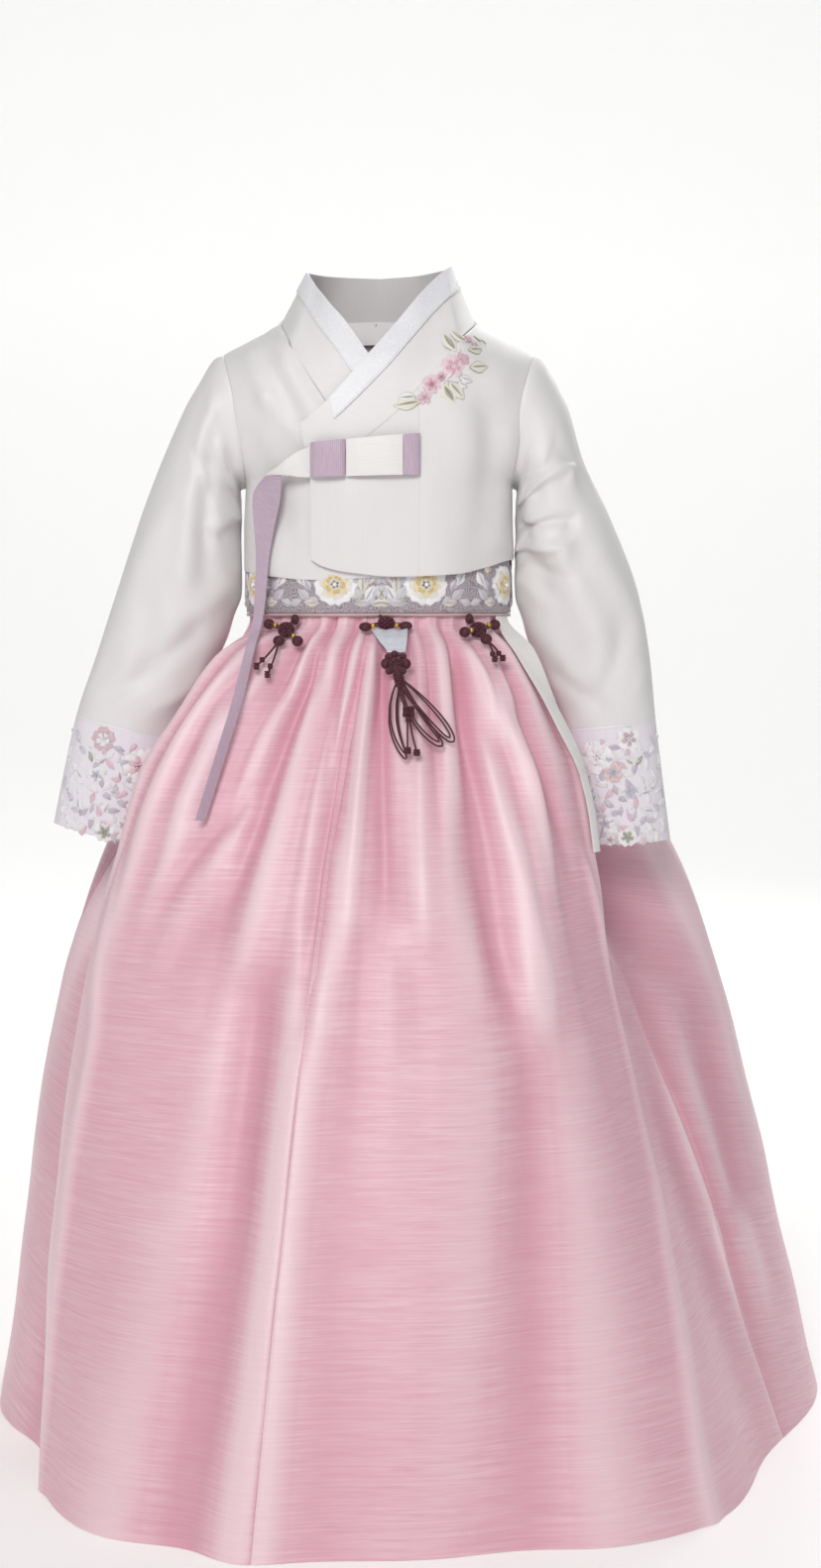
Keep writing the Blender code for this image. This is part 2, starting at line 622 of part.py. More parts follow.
def make_overlaps(silk):
    """The overlap panels sewn to the fronts: the outer one shows, the inner one is under it."""
    outer_top, inner_top = edge_height(COLLAR_OUTER), edge_height(COLLAR_INNER)
    outer = [OUTER_SEAM - SEAM_GAP / 2 + (OUTER_EDGE - OUTER_SEAM) * part for part in steps(6)]
    inner = [INNER_SEAM + SEAM_GAP / 2, 0.0, INNER_EDGE / 2, INNER_EDGE]
    outer_grid = [[on_body(x, z, -1, outer_rise(x, z)) for x, z in
                   ((x, outer_top(x) + (OUTER_HEM.at(x).z - outer_top(x)) * drop) for x in outer)]
                  for drop in steps(6)]
    inner_grid = [[on_body(x, z, -1) for x, z in
                   ((x, inner_top(-x) - SEAM_GAP + (INNER_HEM.at(x).z - inner_top(-x)) * drop)
                    for x in inner)]
                  for drop in steps(5)]
    cloth("overlap_outer", [outer_grid], silk, JACKET_WALL)
    cloth("overlap_inner", [inner_grid], silk, JACKET_WALL)


def collar_point(table, side, step, part):
    """A point of the collar band: part is 0 on its sewn edge and 1 on its neck edge."""
    size = table.at(step)
    rise = outer_rise if table is COLLAR_OUTER and step > 3 else lambda x, z: 0.0
    edge = on_body(size.edge_x, size.edge_z, 1 if size.face > 0 else -1, rise(size.edge_x, size.edge_z))
    edge.y *= abs(size.face) ** 0.5
    chest = on_body(size.neck_x, size.neck_z, -1, rise(size.neck_x, size.neck_z))
    neck = Vector((size.neck_x, size.neck_y + (chest.y - size.neck_y) * size.hug, size.neck_z))
    point = edge.lerp(neck, part)
    if size.face < -0.5:
        point.y += (on_body(point.x, point.z, -1, rise(point.x, point.z)).y - point.y) * size.hug
    return Vector((side * point.x, point.y, point.z))


def collar_grid(parts, inner_end, outer_end):
    """Rows across the band, each running from the inner end round the neck to the outer end."""
    rows = []
    for part in parts:
        inner = [collar_point(COLLAR_INNER, -1, inner_end - step * COLLAR_STEP, part)
                 for step in range(round(inner_end / COLLAR_STEP))]
        outer = [collar_point(COLLAR_OUTER, 1, step * COLLAR_STEP, part)
                 for step in range(round(outer_end / COLLAR_STEP) + 1)]
        rows.append(inner + outer)
    return rows


def raised(grid, height):
    """A grid's points moved out along its own normals, away from the neck's axis."""
    rows = []
    for low, row in enumerate(grid):
        points = []
        for index, point in enumerate(row):
            along = row[min(index + 1, len(row) - 1)] - row[max(index - 1, 0)]
            across = grid[min(low + 1, len(grid) - 1)][index] - grid[max(low - 1, 0)][index]
            normal = along.cross(across).normalized()
            if normal.dot(Vector((point.x, point.y, 0))) < 0:
                normal = -normal
            points.append(point + normal * height)
        rows.append(points)
    return rows


def make_collar(silk, white):
    """The collar band, and the white strip that covers its neck side but not its ends."""
    band = collar_grid((0.016, 0.31, STRIP_EDGE, (1 + STRIP_EDGE) / 2, 1.0),
                       COLLAR_INNER.keys[-1], COLLAR_OUTER.keys[-1])
    cloth("collar_band", [band], silk, JACKET_WALL, inside=Vector((0, 0, -0.03)))
    strip = collar_grid((STRIP_EDGE, (1 + STRIP_EDGE) / 2, 1.0), STRIP_INNER_END, STRIP_OUTER_END)
    cloth("collar_strip", [raised(strip, 2 * SEAM_GAP + STRIP_WALL)], white, STRIP_WALL,
          inside=Vector((0, 0, -0.03)))


def make_sleeve(name, table, creases, side, silk, satin):
    sleeve_steps = [CUFF_START * part for part in steps(13)]
    rows = [sleeve_ring(table, creases, side, step) for step in sleeve_steps]
    seam = SEAM_GAP / 0.1
    cuff_steps = [CUFF_START + seam + (CUFF_END - CUFF_START - seam) * part for part in steps(3)]
    cuff = [sleeve_ring(table, (), side, step) for step in cuff_steps]
    cloth("sleeve_" + name, [rows], silk, JACKET_WALL, True, Vector((side * 0.17, -0.01, -0.17)))
    cloth("cuff_" + name, [cuff], satin, JACKET_WALL, True, Vector((side * 0.20, -0.02, -0.36)))


# ---------------------------------------------------------------- the jacket's ribbon tie
BOW_LEFT, KNOT_RIGHT, LOOP_JOIN, LOOP_RIGHT = -0.0525, -0.0240, 0.0205, 0.0335
BOW_TOP, BOW_BOTTOM = -0.0953, -0.1222
TOP_TILT, BOTTOM_TILT = 0.083, 0.019    # rise of the bow's edges for each metre across
BOW_BACK = 0.0006          # ribbon layers, measured out from the outer front
BOW_FRONT = 0.0060
BOW_ARM = (                # x, top, bottom, out: from the knot to the fold the long end hangs from
    (-0.0523, -0.0985, -0.1222, 0.0030), (-0.0614, -0.1022, -0.1218, 0.0075),
    (-0.0708, -0.1083, -0.1205, 0.0100), (-0.0794, -0.1145, -0.1200, 0.0100),
    (-0.0872, -0.1185, -0.1200, 0.0085))


def bow_point(x, low, out):
    """A point of the bow at x, at its lower or upper edge, out from the jacket's outer front."""
    start, tilt = (BOW_BOTTOM, BOTTOM_TILT) if low else (BOW_TOP, TOP_TILT)
    z = start + (x - BOW_LEFT) * tilt
    point = on_body(x, z, -1, OVERLAP_RISE)
    return Vector((x, point.y - out, z))


def bow_strip(places):
    return [(bow_point(x, False, out), bow_point(x, True, out)) for x, out in places]


def make_bow(white, mauve):
    """The knot, its one loop in two colours, the folded arm and the long hanging end."""
    gap = SEAM_GAP
    knot = [(BOW_LEFT + 0.0005, 0.0040), (BOW_LEFT + 0.004, 0.0075), (KNOT_RIGHT - 0.004, 0.0075),
            (KNOT_RIGHT - 0.0005, 0.0040)]
    ribbon("bow_knot", bow_strip(knot), mauve, 0.0030)
    front = [(KNOT_RIGHT, BOW_FRONT - 0.0015), (KNOT_RIGHT + 0.012, BOW_FRONT + 0.0005),
             (LOOP_JOIN - 0.012, BOW_FRONT + 0.0010), (LOOP_JOIN - gap, BOW_FRONT)]
    ribbon("bow_loop", bow_strip(front), white)
    turn = [(LOOP_JOIN, BOW_FRONT), (LOOP_RIGHT - 0.004, BOW_FRONT - 0.0005),
            (LOOP_RIGHT, (BOW_FRONT + BOW_BACK) / 2), (LOOP_RIGHT - 0.004, BOW_BACK),
            (LOOP_JOIN - 0.010, BOW_BACK), (KNOT_RIGHT + 0.006, BOW_BACK)]
    ribbon("bow_loop_end", bow_strip(turn), mauve, inside=bow_point(0.02, True, 0.0045))
    edges = []
    for x, top, bottom, out in BOW_ARM:
        high, low = on_body(x, top, -1, OVERLAP_RISE), on_body(x, bottom, -1, OVERLAP_RISE)
        edges.append((high + Vector((0, -out, 0)), low + Vector((0, -out, 0))))
    ribbon("bow_arm", edges, white)


TAIL = Sections(
    "z       left     right    turn   out",
    (-0.1204, -0.0880, -0.0752, 0.000, 0.0095),
    (-0.1290, -0.0970, -0.0757, 0.000, 0.0065),
    (-0.1390, -0.0998, -0.0768, 0.001, 0.0055),
    (-0.1590, -0.0982, -0.0812, 0.002, 0.0050),
    (-0.1840, -0.0966, -0.0858, 0.003, 0.0045),
    (-0.2240, -0.0983, -0.0898, 0.005, 0.0045),
    (-0.2400, -0.1000, -0.0925, 0.006, 0.0045),
    (-0.2900, -0.1100, -0.1025, 0.010, 0.0050),
    (-0.3400, -0.1240, -0.1170, 0.013, 0.0050),
    (-0.3860, -0.1380, -0.1310, 0.014, 0.0045))


def make_tail(mauve):
    """The long end hangs past the belt and turns edge on over the skirt."""
    edges = []
    for part in steps(18):
        z = TAIL.keys[-1] + (TAIL.keys[0] - TAIL.keys[-1]) * part ** 1.15
        size = TAIL.at(z)
        pair = []
        for x, back in ((size.left, 0.0), (size.right, size.turn)):
            chest = on_body(x, max(z, -0.20), -1, OVERLAP_RISE)
            y = min(chest.y, place(x, min(z, FLARE_TOP), 0.0).y) - size.out
            pair.append(Vector((x, y - (size.turn - back) * 0.6, z)))
        edges.append(tuple(pair))
    ribbon("bow_tail", edges, mauve, inside=Vector((0, 0.1, -0.25)))


# ---------------------------------------------------------------- the skirt and its belt
def gather_columns(panel):
    """A panel's columns: degrees from its first seam, and the gathers' wave there, from -1 to 1."""
    per_panel = 360 / len(PANELS)
    widths = [1 + 0.30 * math.sin(2.4 * gather + 1.3 * panel) for gather in range(GATHERS_PER_PANEL)]
    columns, start = [(0.0, -1.0), (SEAM_FLAT, -1.0)], 0.0
    for gather, width in enumerate(widths):
        reach = width / sum(widths) * per_panel
        height = 0.80 + 0.20 * math.sin(2.1 * (gather + GATHERS_PER_PANEL * panel) + 0.6)
        for part in steps(COLUMNS_PER_GATHER)[1:]:
            columns.append((start + reach * part, height * (1 - math.cos(math.tau * part)) - 1))
        start += reach
    return columns[:-1] + [(per_panel - SEAM_FLAT, -1.0), (per_panel, -1.0)]


GATHERED_ROWS = (SKIRT_TOP, FLARE_TOP, -0.2400, -0.2520, -0.2850, -0.3300)
PLAIN_ROWS = (-0.3900, -0.4500, -0.5200, -0.5950, -0.6700, -0.7450, -0.8200, FLOOR)


def skirt_row(panel, columns, z):
    """One row of a skirt panel, from one seam to the next."""
    start = SEAM_LINE.at(z).angle + panel * 360 / len(PANELS)
    row = [on_skirt(start + angle, z, GATHER_RISE.at(z).rise * wave) for angle, wave in columns]
    for end, beside in ((0, 1), (-1, -2)):
        row[end] += (row[beside] - row[end]).normalized() * SEAM_GAP * 0.85
    return row


def make_skirt(pink):
    for panel, name in enumerate(PANELS):
        columns = gather_columns(panel)
        rows = [skirt_row(panel, columns, z) for z in GATHERED_ROWS]
        rows += [skirt_row(panel, columns[::2], z) for z in PLAIN_ROWS]
        cloth(name, [rows], pink, SKIRT_WALL, inside=Vector((0, 0, -0.5)))


def make_chest_band(white):
    """The band above the skirt that holds it to the chest, hidden under the jacket."""
    rows = [waist_ring(z, BAND_DEPTH, 24) for z in (BAND_TOP, -0.165, SKIRT_TOP + SEAM_GAP)]
    cloth("chest_band", [rows], white, SKIRT_WALL, True)


def make_belt(brocade, piping):
    """A stiff belt with raised flowers, and the narrow piping sewn along its lower edge."""
    count, heights = 88, (BELT_TOP, -0.1925, -0.2015, -0.2100, -0.2190, BELT_BOTTOM)
    centre = -0.2055
    rows = []
    for z in heights:
        row = waist_ring(z, BELT_DEPTH, count)
        for index, point in enumerate(row):
            angle = math.degrees(math.atan2(point.x, -point.y))
            spacing = 360 / BELT_FLOWERS
            away = (angle - FIRST_FLOWER + spacing / 2) % spacing - spacing / 2
            across = math.radians(away) * math.hypot(point.x, point.y)
            near = math.hypot(across, z - centre) / FLOWER_RADIUS
            point += Vector((point.x, point.y, 0)).normalized() * FLOWER_RISE * (1 - ease(0.55, 1.0, near))
        rows.append(row)
    outer = rows
    inner = [waist_ring(z, BELT_DEPTH + BELT_WALL, count) for z in (BELT_TOP, BELT_BOTTOM)]
    sheet = bmesh.new()
    made = [[sheet.verts.new(point) for point in row] for row in outer + inner[::-1]]
    for upper, lower in zip(made, made[1:] + made[:1]):
        join_rows(sheet, upper, lower, True)
    bmesh.ops.recalc_face_normals(sheet, faces=sheet.faces)
    mesh = bpy.data.meshes.new("belt")
    sheet.to_mesh(mesh)
    sheet.free()
    link("belt", mesh, brocade)
    trim = [waist_ring(z, BELT_DEPTH + 0.0002, 72) for z in (BELT_BOTTOM - SEAM_GAP, BELT_BOTTOM - 0.0026)]
    cloth("belt_piping", [trim], piping, BELT_WALL, True, Vector((0, 0, BELT_BOTTOM)))


TIE_RIBBON = Sections(
    "z       front_x front_y back_x  back_y",
    (-0.2304, 0.0948, -0.0462, 0.1040, -0.0289),
    (-0.2565, 0.1070, -0.0620, 0.1250, -0.0480),
    (-0.2910, 0.1270, -0.0770, 0.1390, -0.0600),
    (-0.3310, 0.1410, -0.0850, 0.1530, -0.0720),
    (-0.3490, 0.1500, -0.0860, 0.1570, -0.0750),
    (-0.3800, 0.1600, -0.0880, 0.1630, -0.0750),
    (-0.4150, 0.1670, -0.0950, 0.1690, -0.0830))


TIE_OUT = 0.0018           # least distance of the ribbon's face from the skirt's gathers


def off_skirt(x, y, z, out):
    """The point at x, y and z, or the nearest one further out that is clear of the skirt."""
    angle = math.degrees(math.atan2(x, -y))
    radius = max(on_skirt(angle + aside, z).xy.length for aside in (-3, 0, 3)) + GATHER_RISE.at(z).rise
    scale = max(radius + out, math.hypot(x, y)) / math.hypot(x, y)
    return Vector((x * scale, y * scale, z))


def make_tie_ribbon(ivory):
    """The pale end of the skirt's own tie, lying down the side behind the front's left ridge."""
    edges = []
    for part in steps(10):
        z = TIE_RIBBON.keys[-1] + (TIE_RIBBON.keys[0] - TIE_RIBBON.keys[-1]) * part
        size = TIE_RIBBON.at(z)
        front, back = (size.front_x, size.front_y), (size.back_x, size.back_y)
        edges.append([off_skirt(front[0] + (back[0] - front[0]) * across,
                                front[1] + (back[1] - front[1]) * across, z, TIE_OUT) for across in steps(3)])
    cloth("skirt_tie", [edges], ivory, RIBBON_WALL, inside=Vector((0, 0, -0.3)))


# ---------------------------------------------------------------- hanging knot ornaments
CORD_RADIUS = 0.0011
LOOP_ROOT = 0.0014         # half the distance between a loop's two ends, inside their knot
SPOKE_RADIUS = 0.0018
KNOT_OUT = 0.0040          # middle of a knot, out from the skirt
KNOT_DEPTH = 0.0055
CLEAR_ASIDE = 0.006        # how far round a place the skirt is looked at, so as to clear it
CLEAR_BELOW = 0.004


def place(x, z, out=KNOT_OUT):
    """A place in front of the skirt, clear of the folds to both sides of it."""
    nearest = min(skirt_front(x + aside, z - below).y
                  for aside in (-CLEAR_ASIDE, 0.0, CLEAR_ASIDE) for below in (0.0, CLEAR_BELOW))
    return Vector((x, nearest - out, z))


def knot(hub, lobes):
    """A cord knot: a hub and the lobes round it. Each is x, z, width and height."""
    centre = place(hub[0], hub[1])
    pieces = [ball(centre, (hub[2], KNOT_DEPTH, hub[3]))]
    for x, z, width, height in lobes:
        lobe = place(x, z)
        pieces.append(cord([centre, lobe], SPOKE_RADIUS))
        pieces.append(ball(lobe, (width, KNOT_DEPTH * 0.9, height)))
    return pieces


def hanger(start, x):
    """A short cord from a knot up to the underside of the belt's piping."""
    return cord([place(*start), on_body(x, HANG_TOP, -1, -HANG_INSET)], CORD_RADIUS)


def strand(root, places, back=None):
    """A cord from inside a knot through places in x and z, and back into the knot if it is a loop."""
    points = [root] + [place(x, z, 0.0030) for x, z in places]
    return cord(points + [back] if back else points, CORD_RADIUS)


def loop(start, tip, spread, lean, count=9):
    """Places along a hanging loop: down one side, round its tip and up the other side."""
    begin = Vector(start)
    down = Vector(tip) - begin
    across = Vector((-down.y, down.x)).normalized()
    points = []
    for part in steps(count)[1:-1]:
        along, side = (1 - math.cos(math.tau * part)) / 2, math.sin(math.tau * part)
        wide = side * spread * (0.4 + 0.6 * along) + math.copysign(LOOP_ROOT * (1 - along), side)
        points.append(begin + down * along + across * (wide + lean * 4 * along * (1 - along)))
    return [(point.x, point.y) for point in points]


HANG_TOP = -0.2297         # where the ornaments' hangers end, just under the belt's piping
HANG_INSET = 0.0015
RIGHT_HUB = (-0.0715, -0.2410, 0.0130, 0.0120)
RIGHT_LOBES = ((-0.0650, -0.2330, 0.0060, 0.0080), (-0.0860, -0.2365, 0.0085, 0.0080),
               (-0.0622, -0.2497, 0.0085, 0.0080), (-0.0768, -0.2495, 0.0090, 0.0080))
RIGHT_ENDS = ((-0.0937, -0.2690, 0.0045, 0.0060), (-0.0852, -0.2755, 0.0045, 0.0060))
LEFT_HUB = (0.0794, -0.2410, 0.0130, 0.0120)
LEFT_LOBES = ((0.0725, -0.2325, 0.0060, 0.0080), (0.0686, -0.2428, 0.0085, 0.0080),
              (0.0930, -0.2372, 0.0085, 0.0080), (0.0853, -0.2482, 0.0090, 0.0080))
LEFT_ENDS = ((0.0918, -0.2635, 0.0045, 0.0055), (0.0982, -0.2630, 0.0045, 0.0055))
MIDDLE_HUB = (0.0070, -0.2356, 0.0130, 0.0105)
MIDDLE_LOBES = ((-0.0093, -0.2386, 0.0100, 0.0065), (0.0223, -0.2379, 0.0100, 0.0065))
TASSEL_HUB = (0.0148, -0.2675, 0.0105, 0.0095)
TASSEL_LOBES = ((0.0137, -0.2600, 0.0062, 0.0056), (0.0070, -0.2670, 0.0075, 0.0080),
                (0.0224, -0.2670, 0.0075, 0.0080), (0.0175, -0.2800, 0.0070, 0.0110))
TASSEL_LOOPS = (            # tip_x, tip_z, spread, lean
    (0.0225, -0.3385, 0.0040, -0.0070), (0.0590, -0.3260, 0.0042, 0.0010), (0.0500, -0.3290, 0.0038, -0.0035))
TASSEL_KNOT = (0.0245, -0.3040, 0.0070, 0.0090)
TASSEL_ENDS = ((0.0238, -0.3320, 0.0055, 0.0055), (0.0308, -0.3335, 0.0055, 0.0055))
JADE_SHAPE = (              # z, left, right, out
    (-0.2408, -0.0045, 0.0238, 0.0012), (-0.2500, 0.0020, 0.0232, 0.0026),
    (-0.2577, 0.0075, 0.0222, 0.0040))


def side_ornament(name, hub, lobes, ends, plum):
    """A small knot with two short strands that end in their own knots."""
    pieces = knot(hub, lobes) + [hanger(lobes[0][:2], lobes[0][0])]
    root = place(*lobes[-1][:2])
    for x, z, width, height in ends:
        middle = ((root.x + x) / 2 + 0.001, (root.z + z) / 2)
        pieces.append(strand(root, (middle, (x, z))))
        pieces.append(ball(place(x, z, 0.0030), (width, 0.0045, height)))
    fuse(name, pieces, plum)


def make_ornaments(plum, jade):
    """Three ornaments of knotted cord hang from under the belt onto the skirt."""
    side_ornament("ornament_right", RIGHT_HUB, RIGHT_LOBES, RIGHT_ENDS, plum)
    side_ornament("ornament_left", LEFT_HUB, LEFT_LOBES, LEFT_ENDS, plum)
    fuse("ornament_middle", knot(MIDDLE_HUB, MIDDLE_LOBES) + [hanger(MIDDLE_HUB[:2], 0.0018)], plum)
    plate = [(place(left, z, out), place(right, z, out)) for z, left, right, out in JADE_SHAPE]
    ribbon("ornament_jade", plate, jade, 0.0022, Vector((0, 0, -0.25)))
    pieces = knot(TASSEL_HUB, TASSEL_LOBES)
    root, middle = place(*TASSEL_LOBES[-1][:2]), place(*TASSEL_KNOT[:2], 0.0030)
    pieces.append(strand(root, [TASSEL_KNOT[:2]]))
    for x, z, spread, lean in TASSEL_LOOPS:
        across = Vector((z - root.z, 0, root.x - x)).normalized() * LOOP_ROOT
        pieces.append(strand(root - across, loop((root.x, root.z), (x, z), spread, lean), root + across))
    pieces += [strand(middle, [row[:2]]) for row in TASSEL_ENDS]
    pieces += [ball(place(x, z, 0.0030), (width, 0.0050, height))
               for x, z, width, height in (TASSEL_KNOT, *TASSEL_ENDS)]
    fuse("ornament_tassel", pieces, plum)


# ---------------------------------------------------------------- the whole garment
def make_hanbok():
    silk = material("ivory_silk", (0.83, 0.82, 0.82), 0.45)
    satin = material("cuff_satin", (0.84, 0.81, 0.88), 0.40)
    white = material("white_silk", (0.93, 0.93, 0.96), 0.45)
    mauve = material("mauve_silk", (0.50, 0.40, 0.54), 0.50)
    pink = material("pink_slub_silk", (0.80, 0.51, 0.60), 0.42)
    brocade = material("silver_brocade", (0.55, 0.52, 0.54), 0.45)
    piping = material("beige_piping", (0.70, 0.60, 0.58), 0.50)
    ivory = material("ivory_ribbon", (0.82, 0.80, 0.76), 0.45)
    plum = material("plum_cord", (0.060, 0.012, 0.030), 0.55)
    jade = material("pale_jade", (0.70, 0.74, 0.80), 0.20)
    make_body(silk)
    make_overlaps(silk)
    make_collar(silk, white)
    make_sleeve("left", SLEEVE_LEFT, SLEEVE_LEFT_CREASES, 1, silk, satin)
    make_sleeve("right", SLEEVE_RIGHT, SLEEVE_RIGHT_CREASES, -1, silk, satin)
    make_bow(white, mauve)
    make_tail(mauve)
    make_chest_band(white)
    make_skirt(pink)
    make_belt(brocade, piping)
    make_tie_ribbon(ivory)
    make_ornaments(plum, jade)


for old in list(bpy.data.objects):
    bpy.data.objects.remove(old)
garment = bpy.data.collections.new(COLLECTION)
bpy.context.scene.collection.children.link(garment)
make_hanbok()
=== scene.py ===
"""The looks of a child's Korean hanbok, worn: cloth, creases, embroidery, knots and stitches.

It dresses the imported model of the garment, in the same frame: metres, +Z up, the origin at the
middle of the neck's base, the wearer facing -Y with the left side at +X. Every piece of cloth is
a thin shell on the form that its solid was cut from, with the finer folds added. The lengths of
cloth in the UV maps are in metres, so that a weave or a slub has its real size everywhere.
"""

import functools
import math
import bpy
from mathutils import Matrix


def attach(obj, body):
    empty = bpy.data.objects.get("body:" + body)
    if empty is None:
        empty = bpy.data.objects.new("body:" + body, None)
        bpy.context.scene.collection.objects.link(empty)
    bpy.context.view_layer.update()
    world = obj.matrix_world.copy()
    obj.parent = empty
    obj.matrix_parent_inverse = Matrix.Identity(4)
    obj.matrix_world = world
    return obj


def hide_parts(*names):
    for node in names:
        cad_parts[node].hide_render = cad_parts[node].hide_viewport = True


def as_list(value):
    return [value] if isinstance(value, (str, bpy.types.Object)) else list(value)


bl_info = {
    "name": "Korean Hanbok Looks",
    "version": (1, 0, 0),
    "blender": (4, 5, 0),
    "location": "3D View > Sidebar > Hanbok",
    "description": "Dresses the packed hanbok with cloth, embroidery, knots and stitches",
    "category": "Object",
}

from types import SimpleNamespace

import bmesh
import bpy
import numpy as np
from mathutils import Matrix, Vector

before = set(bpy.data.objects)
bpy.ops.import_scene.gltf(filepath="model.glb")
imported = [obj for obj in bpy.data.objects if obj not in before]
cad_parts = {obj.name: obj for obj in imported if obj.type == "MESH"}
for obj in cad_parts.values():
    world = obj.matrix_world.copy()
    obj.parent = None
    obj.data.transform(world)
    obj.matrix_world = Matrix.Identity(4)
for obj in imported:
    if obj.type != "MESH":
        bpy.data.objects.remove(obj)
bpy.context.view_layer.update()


def tone(hex_colour):
    """A colour from its hex form, as the linear values that Blender's sockets take."""
    parts = [int(hex_colour[start:start + 2], 16) / 255 for start in (0, 2, 4)]
    return tuple(part / 12.92 if part <= 0.04045 else ((part + 0.055) / 1.055) ** 2.4
                 for part in parts)


def colour_property(name, description, hex_colour):
    return bpy.props.FloatVectorProperty(
        name=name, description=description, default=tone(hex_colour), subtype="COLOR", size=3,
        min=0.0, max=1.0)


def length_property(name, description, default, low, high):
    return bpy.props.FloatProperty(
        name=name, description=description, default=default, min=low, max=high,
        subtype="DISTANCE", unit="LENGTH", precision=5)


class HanbokColours(bpy.types.PropertyGroup):
    """Colours of the cloths, threads and ornaments."""
    jacket: colour_property("Jacket silk", "Ivory silk of the jacket and its sleeves", "E8E6E6")
    strip: colour_property("Collar strip", "White of the collar strip and the chest band", "F1F1F6")
    cuff: colour_property("Cuff satin", "Pale lavender satin of the cuffs", "EEE9F1")
    mauve: colour_property("Mauve ribbon", "Mauve silk of the knot and the long end", "D0BACB")
    mauve_deep: colour_property("Mauve shade", "Darker ribs of the mauve silk", "9F89A2")
    skirt: colour_property("Skirt silk", "Pink of the skirt's threads", "E6B4C3")
    # Skirt slubs is also the painted highlight on crests of the skirt's folds, and Skirt depth the
    # painted shade in their troughs.
    skirt_light: colour_property("Skirt slubs", "Pale slubs of the skirt's silk", "F7DEE5")
    skirt_deep: colour_property("Skirt depth", "Deep rose threads of the skirt's silk", "D58EA4")
    belt: colour_property("Belt brocade", "Silver-grey ground of the belt", "93878F")
    belt_figure: colour_property("Belt figure", "Pale figure woven in the belt", "CFC7CC")
    piping: colour_property("Piping", "Beige-pink piping under the belt", "CDB4B0")
    ribbon: colour_property("Skirt tie", "Cream of the bow's loop and of the skirt's own tie",
                            "EEECEB")
    cord: colour_property("Knot cord", "Plum cord of the knots and tassel", "4A0C22")
    jade: colour_property("Jade", "Pale bluish plate over the tassel", "D2D4DF")
    gold: colour_property("Gold bead", "Small gold beads of the knots", "D9B25A")
    floor: colour_property("Floor", "Plain pale floor and backdrop", "FBFBFA")


class HanbokSizes(bpy.types.PropertyGroup):
    """Sizes that a user would change."""
    cloth_wall: length_property("Cloth wall", "Thickness of the silk shells", 0.0011, 0.0004, 0.003)
    skirt_wall: length_property("Skirt wall", "Thickness of the skirt's silk", 0.0014, 0.0004,
                                0.003)
    ribbon_wall: length_property("Ribbon wall", "Thickness of the ribbons", 0.0009, 0.0003, 0.003)
    cord_radius: length_property("Cord radius", "Radius of the knots' cord", 0.00085, 0.0003,
                                 0.0011)
    stitch_length: length_property("Stitch length", "Length of one seam stitch", 0.0019, 0.0008,
                                   0.006)
    stitch_gap: length_property("Stitch gap", "Space between two stitches", 0.0010, 0.0003, 0.006)
    thread_radius: length_property("Thread radius", "Radius of the sewing thread", 0.00016, 0.00005,
                                   0.0006)
    bead_radius: length_property("Gold bead radius", "Radius of the gold beads", 0.0021, 0.0008,
                                 0.004)
    fold_share: bpy.props.FloatProperty(
        name="Fine folds", description="Share of the fine folds' depth", default=1.0, min=0.0,
        max=1.3, subtype="FACTOR")


# ---------------------------------------------------------------- driving dimensions, in metres
SEAM_GAP = 0.0003          # between neighbouring pieces
ARMHOLE_GAP = 0.0006       # between the jacket's body and a sleeve
RIBBON_WALL = 0.0010
OVERLAP_RISE = 0.0042      # how far the outer front lies over the inner front
FLOOR = -0.889             # the skirt's hem, below the shoulders

PLAN_POWER = 2.3           # roundness of the jacket's plan: 2 is an ellipse
SHOULDER_ROUND = 0.05      # height over which the shoulder rounds over
SHOULDER_TIP = 0.1135      # nominal half-width of the body between the armholes
NECK_POINT = 0.079         # where the collar's outer edge meets the shoulder line
ARMPIT = -0.127
OUTER_SEAM = 0.033         # seam between the left front and its overlap panel
OUTER_EDGE = -0.0525       # free edge of the outer overlap panel
INNER_SEAM = -0.004        # seam between the right front and its overlap panel
INNER_EDGE = 0.030         # free edge of the inner overlap panel, out of sight

CUFF_START = 6.0           # steps along a sleeve's table
CUFF_END = 7.0
CUFF_SEAM = SEAM_GAP / 0.1   # the seam over the cuff, whose one step is 0.1 long

BELT_TOP = -0.183
BELT_BOTTOM = -0.2275
BELT_WALL = 0.0015
SKIRT_TOP = -0.193
BAND_TOP = -0.140
BELT_DEPTH = 0.0027        # belt's face, inside the jacket's outer face
BAND_DEPTH = 0.0048        # chest band's face, inside the jacket's outer face
SKIRT_DEPTH = 0.0062       # skirt's mean face under the belt, inside the jacket's outer face
FLARE_TOP = -0.231         # the skirt follows the waist above this height and swells out below it
FLARE_END = -0.252

PANELS = ("skirt_front_left", "skirt_back_left", "skirt_back_right", "skirt_front_right")
GATHERS_PER_PANEL = 9


# ---------------------------------------------------------------- smooth tables
def slope(keys, values, index):
    """The slope at one point of a curve that never overshoots its points."""
    if index in (0, len(keys) - 1):
        return 0.0 if index else (values[1] - values[0]) / (keys[1] - keys[0])
    before = (values[index] - values[index - 1]) / (keys[index] - keys[index - 1])
    after = (values[index + 1] - values[index]) / (keys[index + 1] - keys[index])
    if before * after <= 0:
        return 0.0
    return 2 * before * after / (before + after)


def smooth(keys, values, key):
    """The height of the smooth curve through the points at this key."""
    key = min(max(key, keys[0]), keys[-1])
    index = 0
    while index < len(keys) - 2 and key > keys[index + 1]:
        index += 1
    span = keys[index + 1] - keys[index]
    part = (key - keys[index]) / span
    start, end = slope(keys, values, index) * span, slope(keys, values, index + 1) * span
    square, cube = part * part, part ** 3
    return ((2 * cube - 3 * square + 1) * values[index] + (cube - 2 * square + part) * start
            + (3 * square - 2 * cube) * values[index + 1] + (cube - square) * end)


